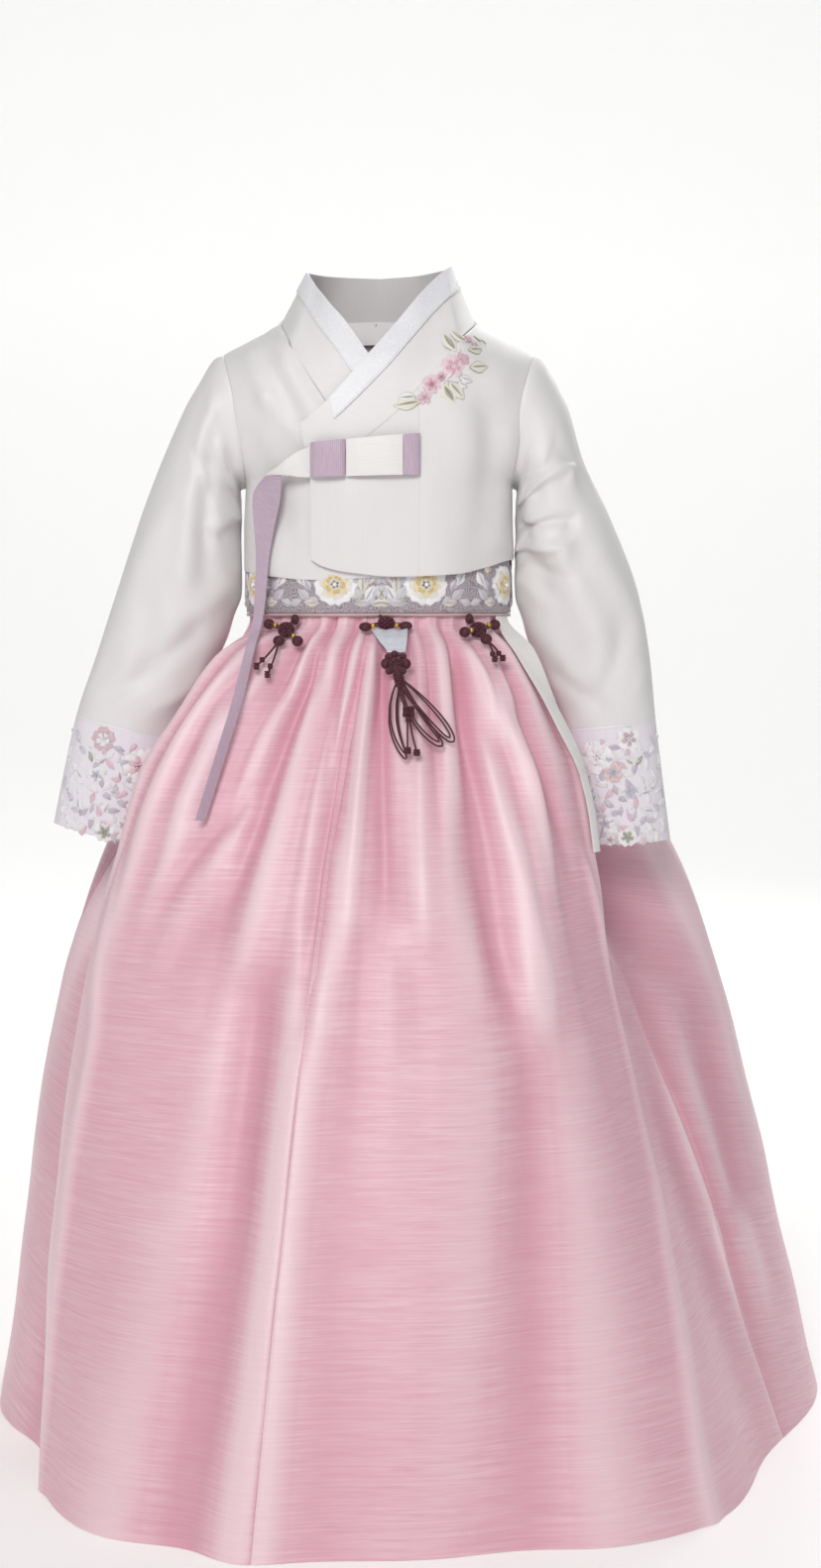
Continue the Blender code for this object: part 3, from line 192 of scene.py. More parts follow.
class Sections:
    """A table with named columns. Its first column is the key, and the rest vary smoothly."""

    def __init__(self, columns, *rows):
        self.names = columns.split()[1:]
        rows = sorted(rows)
        self.keys = [row[0] for row in rows]
        self.columns = [[row[1 + index] for row in rows] for index in range(len(self.names))]

    @functools.lru_cache(maxsize=200000)
    def at(self, key):
        values = {name: smooth(self.keys, column, key)
                  for name, column in zip(self.names, self.columns)}
        return SimpleNamespace(**values)


def ease(low, high, value):
    """0 below low, 1 above high, and a smooth step between them."""
    part = min(max((value - low) / (high - low), 0.0), 1.0)
    return part * part * (3 - 2 * part)


def steps(count):
    return [index / count for index in range(count + 1)]


def halved(low, high, times, short):
    """The place between low and high up to which short is true, by halving so many times."""
    for _ in range(times):
        middle = (low + high) / 2
        low, high = (middle, high) if short(middle) else (low, middle)
    return low


def lengths_along(points):
    """How far along a path each of its points lies."""
    keys = [0.0]
    for first, second in zip(points, points[1:]):
        keys.append(keys[-1] + (second - first).length)
    return keys


def point_along(keys, points, key):
    """The point at a key on the smooth curve through the points."""
    return Vector([smooth(keys, [point[axis] for point in points], key) for axis in range(3)])


def as_grid(rows):
    return np.array([[tuple(point) for point in row] for row in rows])


# ---------------------------------------------------------------- sizes of the jacket
BODY = Sections(
    "z      edge    width   front   back",
    (0.060, 0.1300, 0.1550, 0.0350, 0.0540),
    (0.030, 0.1300, 0.1550, 0.0470, 0.0600),
    (0.000, 0.1300, 0.1550, 0.0620, 0.0680),
    (-0.030, 0.1215, 0.1500, 0.0735, 0.0760),
    (-0.060, 0.1140, 0.1400, 0.0800, 0.0800),
    (-0.090, 0.1110, 0.1290, 0.0840, 0.0800),
    (-0.112, 0.1080, 0.1160, 0.0848, 0.0800),
    (ARMPIT, 0.1065, 0.1065, 0.0850, 0.0800),
    (-0.160, 0.1085, 0.1085, 0.0845, 0.0800),
    (-0.230, 0.1105, 0.1105, 0.0830, 0.0800))

SHOULDER = Sections(
    "x      z",
    (0.000, 0.080), (0.040, 0.062), (0.060, 0.035), (NECK_POINT, 0.006),
    (0.100, -0.006), (0.128, -0.021), (0.160, -0.050))

OUTER_HEM = Sections(
    "x       z",
    (-0.0525, -0.1860), (-0.043, -0.1915), (-0.024, -0.1960), (0.015, -0.1995),
    (0.060, -0.1975), (0.090, -0.1915), (SHOULDER_TIP, -0.1850))

INNER_HEM = Sections(
    "x       z",
    (-SHOULDER_TIP, -0.1940), (-0.085, -0.1990), (-0.050, -0.2020), (0.000, -0.2000),
    (0.040, -0.1970))

BACK_HEM = Sections("x  z", (0.0, -0.1960), (0.07, -0.1940), (SHOULDER_TIP, -0.1890))
BACK_NECK = Sections("x  z", (0.0, 0.0140), (0.035, 0.0130), (0.062, 0.0100), (NECK_POINT, 0.0060))

# The collar band in halves, from the middle of the back to its front end. face is 1 where the
# band's outer edge is sewn to the back, 0 on the shoulder line and -1 on a front. hug is 1 where
# the neck edge lies on the chest and 0 where it stands at neck_y.
COLLAR_OUTER = Sections(
    "step edge_x  edge_z  face neck_x  neck_y  neck_z  hug",
    (0, 0.0000, 0.0140, 1.0, 0.0000, 0.0580, 0.0500, 0),
    (1, 0.0350, 0.0130, 1.0, 0.0290, 0.0530, 0.0515, 0),
    (2, 0.0620, 0.0100, 1.0, 0.0500, 0.0350, 0.0530, 0),
    (3, 0.0790, 0.0060, 0.0, 0.0590, 0.0080, 0.0530, 0),
    (4, 0.0640, -0.0150, -1., 0.0520, -0.0140, 0.0460, 0),
    (5, 0.0465, -0.0360, -1., 0.0388, -0.0330, 0.0316, 0.2),
    (6, 0.0320, -0.0530, -1., 0.0228, -0.0520, 0.0103, 0.7),
    (7, 0.0174, -0.0697, -1., 0.0072, -0.0660, -0.0095, 1),
    (8, -0.0030, -0.0876, -1., -0.0130, -0.0750, -0.0330, 1),
    (9, -0.0280, -0.1050, -1., -0.0370, -0.0800, -0.0600, 1),
    (10, -0.0525, -0.1160, -1., -0.0615, -0.0800, -0.0810, 1))

COLLAR_INNER = Sections(
    "step edge_x  edge_z  face neck_x  neck_y  neck_z  hug",
    (0, 0.0000, 0.0140, 1.0, 0.0000, 0.0580, 0.0500, 0),
    (1, 0.0350, 0.0130, 1.0, 0.0290, 0.0530, 0.0505, 0),
    (2, 0.0620, 0.0100, 1.0, 0.0500, 0.0350, 0.0500, 0),
    (3, 0.0790, 0.0060, 0.0, 0.0575, 0.0080, 0.0480, 0),
    (4, 0.0680, -0.0170, -1., 0.0500, -0.0160, 0.0350, 0),
    (5, 0.0560, -0.0380, -1., 0.0400, -0.0360, 0.0200, 0.3),
    (6, 0.0390, -0.0648, -1., 0.0250, -0.0560, 0.0010, 0.8),
    (7, 0.0240, -0.0870, -1., 0.0080, -0.0700, -0.0240, 1),
    (8, 0.0120, -0.1040, -1., -0.0100, -0.0780, -0.0500, 1),
    (9, 0.0000, -0.1190, -1., -0.0260, -0.0800, -0.0740, 1))

STRIP_EDGE = 0.62          # the white strip covers the collar from here to its neck edge
STRIP_WALL = 0.0010
STRIP_OUTER_END = 9.0      # the strip stops short of the collar's own ends
STRIP_INNER_END = 7.5

# A sleeve from the armhole (step 0) over the cuff's seam (6) to its mouth (7). outer is the
# sleeve's top and outer side, inner its underside. x is measured away from the wearer's middle.
SLEEVE_LEFT = Sections(
    "step outer_x outer_z  inner_x inner_z  y       depth",
    (0, 0.1285, -0.0210, 0.1065, -0.1270, 0.0000, 0.0500),
    (1, 0.1515, -0.0560, 0.1130, -0.1430, -0.0020, 0.0520),
    (2, 0.1660, -0.1040, 0.1150, -0.1690, -0.0060, 0.0500),
    (3, 0.1875, -0.1500, 0.1155, -0.1990, -0.0100, 0.0470),
    (4, 0.2110, -0.2130, 0.1190, -0.2400, -0.0140, 0.0420),
    (5, 0.2205, -0.2660, 0.1360, -0.2830, -0.0170, 0.0360),
    (6, 0.2250, -0.3140, 0.1500, -0.3220, -0.0200, 0.0290),
    (7, 0.2375, -0.4110, 0.1560, -0.4150, -0.0220, 0.0250))

SLEEVE_RIGHT = Sections(
    "step outer_x outer_z  inner_x inner_z  y       depth",
    (0, 0.1285, -0.0210, 0.1065, -0.1270, 0.0000, 0.0500),
    (1, 0.1500, -0.0500, 0.1130, -0.1420, -0.0020, 0.0520),
    (2, 0.1690, -0.0900, 0.1150, -0.1670, -0.0060, 0.0500),
    (3, 0.1895, -0.1420, 0.1155, -0.1980, -0.0100, 0.0470),
    (4, 0.2110, -0.2070, 0.1200, -0.2380, -0.0140, 0.0420),
    (5, 0.2295, -0.2640, 0.1440, -0.2900, -0.0170, 0.0360),
    (6, 0.2450, -0.3100, 0.1640, -0.3300, -0.0200, 0.0290),
    (7, 0.2640, -0.3975, 0.1740, -0.4205, -0.0220, 0.0250))

# Large creases of a sleeve: from one place on it to another, with angles round the sleeve in
# degrees from its top towards the front.
SLEEVE_LEFT_CREASES = (
    # from_step, from_angle, to_step, to_angle, rise, width
    (0.9, 150, 1.9, 55, 0.0070, 0.0110),
    (1.7, 160, 2.6, 80, -0.0060, 0.0100),
    (2.1, 165, 3.0, 95, 0.0060, 0.0110),
    (4.6, 60, 5.7, 110, -0.0040, 0.0130),
    (0.9, 215, 1.9, 290, 0.0060, 0.0110))
SLEEVE_RIGHT_CREASES = (
    # from_step, from_angle, to_step, to_angle, rise, width
    (0.5, 150, 1.6, 95, 0.0050, 0.0110),
    (1.1, 165, 2.4, 120, 0.0055, 0.0110),
    (4.3, 120, 5.6, 60, -0.0040, 0.0140),
    (0.9, 215, 1.9, 290, 0.0060, 0.0110))

# ---------------------------------------------------------------- sizes of the skirt
SKIRT = Sections(
    "z      front   front_left front_right back_side back",
    (-0.228, 0.0790, 0.0838, 0.0838, 0.0848, 0.0755),
    (-0.260, 0.1000, 0.1070, 0.1050, 0.1080, 0.0990),
    (-0.300, 0.1220, 0.1310, 0.1280, 0.1310, 0.1230),
    (-0.350, 0.1460, 0.1570, 0.1540, 0.1570, 0.1500),
    (-0.420, 0.1760, 0.1890, 0.1850, 0.1910, 0.1830),
    (-0.530, 0.2180, 0.2320, 0.2270, 0.2400, 0.2280),
    (-0.660, 0.2650, 0.2790, 0.2760, 0.2900, 0.2740),
    (-0.780, 0.3050, 0.3210, 0.3190, 0.3320, 0.3140),
    (FLOOR, 0.3365, 0.3580, 0.3560, 0.3620, 0.3480))

SIDE = "z ridge_angle ridge valley_angle valley bulge_angle bulge"
SKIRT_LEFT = Sections(
    SIDE,
    (-0.228, 60.0, 0.0965, 88.0, 0.1060, 115.0, 0.0980),
    (-0.260, 60.5, 0.1220, 86.0, 0.1105, 115.0, 0.1180),
    (-0.300, 60.5, 0.1500, 86.0, 0.1190, 113.0, 0.1470),
    (-0.350, 61.0, 0.1770, 86.0, 0.1320, 111.0, 0.1900),
    (-0.420, 60.0, 0.1940, 85.0, 0.1480, 110.0, 0.2620),
    (-0.530, 54.5, 0.2190, 78.0, 0.2000, 108.0, 0.3020),
    (-0.660, 49.5, 0.2690, 71.0, 0.2470, 108.0, 0.3370),
    (-0.780, 46.0, 0.3180, 69.0, 0.2900, 108.0, 0.3640),
    (FLOOR, 40.0, 0.3620, 68.0, 0.3300, 112.0, 0.3940))
SKIRT_RIGHT = Sections(
    SIDE,
    (-0.228, 60.0, 0.0965, 88.0, 0.1060, 115.0, 0.0980),
    (-0.260, 61.5, 0.1400, 88.0, 0.1105, 115.0, 0.1180),
    (-0.300, 62.0, 0.1700, 88.0, 0.1200, 113.0, 0.1450),
    (-0.350, 65.0, 0.1990, 88.0, 0.1330, 111.0, 0.1860),
    (-0.420, 65.0, 0.2235, 87.0, 0.1470, 108.0, 0.2430),
    (-0.530, 60.7, 0.2600, 82.0, 0.2050, 105.0, 0.2780),
    (-0.660, 57.4, 0.2870, 75.0, 0.2500, 100.0, 0.2950),
    (-0.780, 54.5, 0.3070, 70.0, 0.2720, 96.0, 0.3065),
    (FLOOR, 53.0, 0.3190, 66.7, 0.2900, 90.0, 0.3170))

# The front seam wanders round the skirt on its way down, and the other seams with it.
SEAM_LINE = Sections("z  angle", (SKIRT_TOP, -4.0), (-0.26, -6.5), (-0.33, -11.0), (-0.45, -13.0),
                     (-0.66, -13.5), (FLOOR, -14.0))
GATHER_RISE = Sections("z  rise", (SKIRT_TOP, 0.0010), (FLARE_TOP, 0.0010), (-0.252, 0.0040),
                       (-0.300, 0.0042), (-0.360, 0.0026), (-0.430, 0.0010), (-0.520, 0.0))

# Long soft folds of the skirt: where each starts and ends, its rise (a trough is negative) and
# its half-width in degrees. Angles are round from the front, towards the wearer's left.
SKIRT_FOLDS = (
    # from_z, from_angle, to_z, to_angle, rise, half_width
    (-0.24, -44, -0.42, -52, 0.0070, 6.0),
    (-0.25, -40, -0.43, -45, -0.0070, 5.0),
    (-0.24, -22, -0.52, -42, -0.0080, 6.0),
    (-0.24, -5, -0.42, -11, -0.0070, 3.5),
    (-0.25, -2, -0.50, -4, 0.0060, 5.0),
    (-0.24, 2, -0.50, 1, -0.0070, 5.0),
    (-0.26, 14, -0.50, 10, 0.0060, 5.0),
    (-0.24, 36, -0.56, 25, -0.0100, 6.0),
    (-0.24, 44, -0.56, 33, 0.0080, 6.0),
    (-0.45, -22, FLOOR, -26, -0.0100, 6.5),
    (-0.45, -12, FLOOR, -15, 0.0080, 6.0),
    (-0.52, 30, FLOOR, 17, -0.0120, 8.0),
    (-0.45, 82, -0.80, 78, 0.0090, 8.0),
    (-0.30, 130, FLOOR, 132, -0.0120, 7.0),
    (-0.26, 152, -0.70, 156, 0.0100, 7.0),
    (-0.25, 178, FLOOR, 182, -0.0130, 7.0),
    (-0.26, 204, -0.70, 202, 0.0100, 7.0),
    (-0.30, 228, FLOOR, 226, -0.0120, 7.0))


# ---------------------------------------------------------------- forms
def on_body(x, z, face, out=0.0):
    """The point on the jacket's body form at x and z, on the front (-1) or the back (1)."""
    size = BODY.at(z)
    reach = min(abs(x) / (size.width + out), 1.0)
    plan = (1 - reach ** PLAN_POWER) ** (1 / PLAN_POWER)
    drop = min(max((SHOULDER.at(abs(x)).z + out - z) / SHOULDER_ROUND, 0.0), 1.0)
    rounding = math.sqrt(1 - (1 - drop) ** 2)
    depth = (size.front if face < 0 else size.back) + out
    return Vector((x, face * depth * plan * rounding, z))


def level_rise(x, z):
    return 0.0


def outer_rise(x, z):
    """How far the outer front stands off the body form: none at the side and the shoulder."""
    return OVERLAP_RISE * (1 - ease(0.055, 0.105, x)) * ease(0.0, 0.03, -z)


def rounded(value):
    """A sine or a cosine, moved so that a ring of them follows the jacket's plan."""
    return math.copysign(abs(value) ** (2 / PLAN_POWER), value)


def waist_ring(z, inset, count):
    """Points round the body form at one height, moved in by inset, from the front round by +X."""
    size = BODY.at(z)
    points = []
    for part in steps(count)[:-1]:
        across, along = math.sin(part * math.tau), -math.cos(part * math.tau)
        depth = (size.front if along < 0 else size.back) - inset
        points.append(Vector(((size.width - inset) * rounded(across), depth * rounded(along), z)))
    return points


def waist_radius(angle, z):
    """The distance at an angle from the middle to the waist's form, under the belt."""
    size = BODY.at(z)
    across, along = abs(math.sin(math.radians(angle))), math.cos(math.radians(angle))
    depth = (size.front if along > 0 else size.back) - SKIRT_DEPTH
    total = (across / (size.width - SKIRT_DEPTH)) ** PLAN_POWER + (abs(along) / depth) ** PLAN_POWER
    return total ** (-1 / PLAN_POWER)


def skirt_radius(angle, z):
    """The skirt's mean radius at an angle round from the front, before its folds and gathers."""
    flare = ease(0.0, FLARE_TOP - FLARE_END, FLARE_TOP - z)
    radius = full_radius(angle, z) if flare > 0 else 0.0
    return waist_radius(angle, z) * (1 - flare) + radius * flare


def full_radius(angle, z):
    """The radius of the swelled out skirt, from the tables of its front, sides and back."""
    size, left, right = SKIRT.at(z), SKIRT_LEFT.at(z), SKIRT_RIGHT.at(z)
    points = [(0, size.front), (30, size.front_left), (left.ridge_angle, left.ridge),
              (left.valley_angle, left.valley), (left.bulge_angle, left.bulge),
              (145, size.back_side), (180, size.back), (215, size.back_side),
              (360 - right.bulge_angle, right.bulge), (360 - right.valley_angle, right.valley),
              (360 - right.ridge_angle, right.ridge), (330, size.front_right)]
    ring = [(key - 360, value) for key, value in points[-3:]] + points
    ring += [(key + 360, value) for key, value in points[:3]]
    return smooth([key for key, _ in ring], [value for _, value in ring], angle % 360)


def skirt_folds(angle, z):
    """The rise of the long folds at one place on the skirt."""
    total = 0.0
    for from_z, from_angle, to_z, to_angle, rise, half_width in SKIRT_FOLDS:
        along = (z - from_z) / (to_z - from_z)
        centre = from_angle + (to_angle - from_angle) * along
        away = ((angle - centre + 180) % 360 - 180) / half_width
        fade = ease(-0.02, 0.18, along)
        if to_z > FLOOR:
            fade *= 1 - ease(0.70, 1.05, along)
        if abs(away) < 3:
            total += rise * fade * math.exp(-away * away)
    return total


def on_skirt(angle, z, rise=0.0):
    """The point of the skirt's outer face at an angle and height."""
    radius = skirt_radius(angle, z) + skirt_folds(angle, z) + rise
    way = math.radians(angle)
    return Vector((radius * math.sin(way), -radius * math.cos(way), z))


def skirt_front(x, z):
    """The point in front of the skirt at x and z, clear of its gathers."""
    angle = halved(-75.0, 75.0, 22, lambda angle: on_skirt(angle, z).x < x)
    return on_skirt(angle, z, GATHER_RISE.at(z).rise)


def crease_rise(creases, step, angle, size):
    """The height of a sleeve's creases at one place on it."""
    total = 0.0
    half_round = (abs(size.outer_x - size.inner_x) + abs(size.outer_z - size.inner_z)) / 2
    for from_step, from_angle, to_step, to_angle, rise, width in creases:
        along = min(max((step - from_step) / (to_step - from_step), 0.0), 1.0)
        centre = from_angle + (to_angle - from_angle) * along
        across = math.radians(angle - centre) * half_round
        beyond = (step - from_step - along * (to_step - from_step)) * 0.05
        total += rise * math.exp(-(across / width) ** 2 - (beyond / width) ** 2)
    return total


def sleeve_axis(size):
    """The middle of a sleeve's section, and the way from there to its outer side."""
    outer, inner = Vector((size.outer_x, 0, size.outer_z)), Vector((size.inner_x, 0, size.inner_z))
    return (outer + inner) / 2, (outer - inner) / 2


def cuff_step(part):
    """The step of the sleeve's table at a share of the cuff's height, below its seam."""
    return CUFF_START + CUFF_SEAM + (CUFF_END - CUFF_START - CUFF_SEAM) * part


SLEEVE_HEAD = 0.1285       # how far out the armhole's top lies
CUFF_CALM = (0.7, 0.85)    # steps over the cuff in which the creases fade, and by what share


def sleeve_ring(table, creases, side, step, count):
    """One ring of a sleeve, from its top round by the front."""
    size = table.at(step)
    centre, arm = sleeve_axis(size)
    centre.y = size.y
    from_armhole = 1 - ease(0.0, 1.0, step)
    calm = 1 - CUFF_CALM[1] * ease(CUFF_START - CUFF_CALM[0], CUFF_START, step)
    points = []
    for part in steps(count)[:-1]:
        angle = part * math.tau
        rise = crease_rise(creases, step, math.degrees(angle), size) * ease(0.0, 0.6, step) * calm
        grow = 1 + rise / arm.length
        point = centre + arm * math.cos(angle) * grow
        point.y -= (size.depth + rise) * math.sin(angle)
        if from_armhole > 0:
            top = SHOULDER.at(SLEEVE_HEAD).z
            z = ARMPIT + (top - ARMPIT) * (1 + math.cos(angle)) / 2
            hole = on_body(BODY.at(z).edge, z, -1 if part < 0.5 else 1)
            hole.x += ARMHOLE_GAP + step * (arm.length + 0.02) * 0.35
            point = point.lerp(hole, from_armhole ** 2)
        point.x *= side
        points.append(point)
    return points


# ---------------------------------------------------------------- forms of the pieces
def body_x(column, z):
    """A column's place across the body: the columns near the armhole follow its curve."""
    shift = (BODY.at(z).edge - SHOULDER_TIP) * ease(0.060, SHOULDER_TIP, column)
    return column + shift


def shoulder_top(column):
    """The height of the shoulder line over a column."""
    z = -0.02
    for _ in range(4):
        z = SHOULDER.at(body_x(column, z)).z
    return z


def side_columns(count):
    """Columns from the armhole to the neck point, closer together where the side turns away."""
    last = math.acos((NECK_POINT / SHOULDER_TIP) ** (PLAN_POWER / 2))
    return [SHOULDER_TIP * math.cos(last * part) ** (2 / PLAN_POWER) for part in steps(count)]


def edge_height(collar):
    """The height of a collar's sewn edge on the front, from a column's place across the body."""
    pairs = sorted((collar.at(step / 4).edge_x, collar.at(step / 4).edge_z)
                   for step in range(12, 4 * int(collar.keys[-1]) + 1))
    keys, values = zip(*pairs)
    return lambda column: smooth(keys, values, column)


def collar_point(table, side, step, part):
    """A point of the collar band: part is 0 on its sewn edge and 1 on its neck edge."""
    size = table.at(step)
    rise = outer_rise if table is COLLAR_OUTER and step > 3 else level_rise
    edge = on_body(size.edge_x, size.edge_z, 1 if size.face > 0 else -1,
                   rise(size.edge_x, size.edge_z))
    edge.y *= abs(size.face) ** 0.5
    chest = on_body(size.neck_x, size.neck_z, -1, rise(size.neck_x, size.neck_z))
    neck = Vector((size.neck_x, size.neck_y + (chest.y - size.neck_y) * size.hug, size.neck_z))
    point = edge.lerp(neck, part)
    if size.face < -0.5:
        point.y += (on_body(point.x, point.z, -1, rise(point.x, point.z)).y - point.y) * size.hug
    return Vector((side * point.x, point.y, point.z))


def collar_grid(parts, inner_end, outer_end, stride):
    """Rows across the band, each running from the inner end round the neck to the outer end."""
    rows = []
    for part in parts:
        inner = [collar_point(COLLAR_INNER, -1, inner_end - step * stride, part)
                 for step in range(round(inner_end / stride))]
        outer = [collar_point(COLLAR_OUTER, 1, step * stride, part)
                 for step in range(round(outer_end / stride) + 1)]
        rows.append(inner + outer)
    return rows


def raised(grid, height):
    """A grid's points moved out along its own normals, away from the neck's axis."""
    rows = []
    for low, row in enumerate(grid):
        points = []
        for index, point in enumerate(row):
            along = row[min(index + 1, len(row) - 1)] - row[max(index - 1, 0)]
            across = grid[min(low + 1, len(grid) - 1)][index] - grid[max(low - 1, 0)][index]
            normal = along.cross(across).normalized()
            if normal.dot(Vector((point.x, point.y, 0))) < 0:
                normal = -normal
            points.append(point + normal * height)
        rows.append(points)
    return rows


BOW_LEFT, KNOT_RIGHT, LOOP_JOIN, LOOP_RIGHT = -0.0525, -0.0240, 0.0205, 0.0335
BOW_TOP, BOW_BOTTOM = -0.0953, -0.1222
TOP_TILT, BOTTOM_TILT = 0.083, 0.019    # rise of the bow's edges for each metre across
BOW_BACK = 0.0006          # ribbon layers, measured out from the outer front
BOW_FRONT = 0.0060
BOW_ARM = (                # x, top, bottom, out: from the knot to the fold the long end hangs from
    (-0.0523, -0.0985, -0.1222, 0.0030), (-0.0614, -0.1022, -0.1218, 0.0075),
    (-0.0708, -0.1083, -0.1205, 0.0100), (-0.0794, -0.1145, -0.1200, 0.0100),
    (-0.0872, -0.1185, -0.1200, 0.0085))


def bow_point(x, low, out):
    """A point of the bow at x, at its lower or upper edge, out from the jacket's outer front."""
    start, tilt = (BOW_BOTTOM, BOTTOM_TILT) if low else (BOW_TOP, TOP_TILT)
    z = start + (x - BOW_LEFT) * tilt
    point = on_body(x, z, -1, OVERLAP_RISE)
    return Vector((x, point.y - out, z))


def bow_strip(places):
    return [(bow_point(x, False, out), bow_point(x, True, out)) for x, out in places]


TAIL = Sections(
    "z       left     right    turn   out",
    (-0.1204, -0.0880, -0.0752, 0.000, 0.0095),
    (-0.1290, -0.0970, -0.0757, 0.000, 0.0065),
    (-0.1390, -0.0998, -0.0768, 0.001, 0.0055),
    (-0.1590, -0.0982, -0.0812, 0.002, 0.0050),
    (-0.1840, -0.0966, -0.0858, 0.003, 0.0045),
    (-0.2240, -0.0983, -0.0898, 0.005, 0.0045),
    (-0.2400, -0.1000, -0.0925, 0.006, 0.0045),
    (-0.2900, -0.1100, -0.1025, 0.010, 0.0050),
    (-0.3400, -0.1240, -0.1170, 0.013, 0.0050),
    (-0.3860, -0.1380, -0.1310, 0.014, 0.0045))


TIE_RIBBON = Sections(
    "z       front_x front_y back_x  back_y",
    (-0.2304, 0.0948, -0.0462, 0.1040, -0.0289),
    (-0.2565, 0.1070, -0.0620, 0.1250, -0.0480),
    (-0.2910, 0.1270, -0.0770, 0.1390, -0.0600),
    (-0.3310, 0.1410, -0.0850, 0.1530, -0.0720),
    (-0.3490, 0.1500, -0.0860, 0.1570, -0.0750),
    (-0.3800, 0.1600, -0.0880, 0.1630, -0.0750),
    (-0.4150, 0.1670, -0.0950, 0.1690, -0.0830))


TIE_OUT = 0.0018           # least distance of the ribbon's face from the skirt's gathers


def off_skirt(x, y, z, out):
    """The point at x, y and z, or the nearest one further out that is clear of the skirt."""
    angle = math.degrees(math.atan2(x, -y))
    radius = max(on_skirt(angle + aside, z).xy.length for aside in (-3, 0, 3))
    radius += GATHER_RISE.at(z).rise
    scale = max(radius + out, math.hypot(x, y)) / math.hypot(x, y)
    return Vector((x * scale, y * scale, z))


KNOT_OUT = 0.0040          # middle of a knot, out from the skirt
CLEAR_ASIDE = 0.006        # how far round a place the skirt is looked at, so as to clear it
CLEAR_BELOW = 0.004


def place(x, z, out=KNOT_OUT):
    """A place in front of the skirt, clear of the folds to both sides of it."""
    nearest = min(skirt_front(x + aside, z - below).y
                  for aside in (-CLEAR_ASIDE, 0.0, CLEAR_ASIDE) for below in (0.0, CLEAR_BELOW))
    return Vector((x, nearest - out, z))


LOOP_ROOT = 0.0014         # half the distance between a loop's two ends, inside their knot


def loop(start, tip, spread, lean, count=9):
    """Places along a hanging loop: down one side, round its tip and up the other side."""
    begin = Vector(start)
    down = Vector(tip) - begin
    across = Vector((-down.y, down.x)).normalized()
    points = []
    for part in steps(count)[1:-1]:
        along, side = (1 - math.cos(math.tau * part)) / 2, math.sin(math.tau * part)
        wide = side * spread * (0.4 + 0.6 * along) + math.copysign(LOOP_ROOT * (1 - along), side)
        points.append(begin + down * along + across * (wide + lean * 4 * along * (1 - along)))
    return [(point.x, point.y) for point in points]


HANG_TOP = -0.2297         # where the ornaments' hangers end, just under the belt's piping
HANG_INSET = 0.0015
RIGHT_HUB = (-0.0715, -0.2410, 0.0130, 0.0120)
RIGHT_LOBES = ((-0.0650, -0.2330, 0.0060, 0.0080), (-0.0860, -0.2365, 0.0085, 0.0080),
               (-0.0622, -0.2497, 0.0085, 0.0080), (-0.0768, -0.2495, 0.0090, 0.0080))
RIGHT_ENDS = ((-0.0937, -0.2690, 0.0045, 0.0060), (-0.0852, -0.2755, 0.0045, 0.0060))
LEFT_HUB = (0.0794, -0.2410, 0.0130, 0.0120)
LEFT_LOBES = ((0.0725, -0.2325, 0.0060, 0.0080), (0.0686, -0.2428, 0.0085, 0.0080),
              (0.0930, -0.2372, 0.0085, 0.0080), (0.0853, -0.2482, 0.0090, 0.0080))
LEFT_ENDS = ((0.0918, -0.2635, 0.0045, 0.0055), (0.0982, -0.2630, 0.0045, 0.0055))
MIDDLE_HUB = (0.0070, -0.2356, 0.0130, 0.0105)
MIDDLE_LOBES = ((-0.0093, -0.2386, 0.0100, 0.0065), (0.0223, -0.2379, 0.0100, 0.0065))
TASSEL_HUB = (0.0148, -0.2675, 0.0105, 0.0095)
TASSEL_LOBES = ((0.0137, -0.2600, 0.0062, 0.0056), (0.0070, -0.2670, 0.0075, 0.0080),
                (0.0224, -0.2670, 0.0075, 0.0080), (0.0175, -0.2800, 0.0070, 0.0110))
TASSEL_LOOPS = (            # tip_x, tip_z, spread, lean
    (0.0225, -0.3385, 0.0040, -0.0070), (0.0590, -0.3260, 0.00651, 0.0010),
    (0.0500, -0.3290, 0.00589, -0.0035))
TASSEL_KNOT = (0.0245, -0.3040, 0.0070, 0.0090)
TASSEL_ENDS = ((0.0238, -0.3320, 0.0055, 0.0055), (0.0308, -0.3335, 0.0055, 0.0055))
JADE_SHAPE = (              # z, left, right, out
    (-0.2408, -0.0045, 0.0238, 0.0012), (-0.2500, 0.0020, 0.0232, 0.0026),
    (-0.2577, 0.0075, 0.0222, 0.0040))


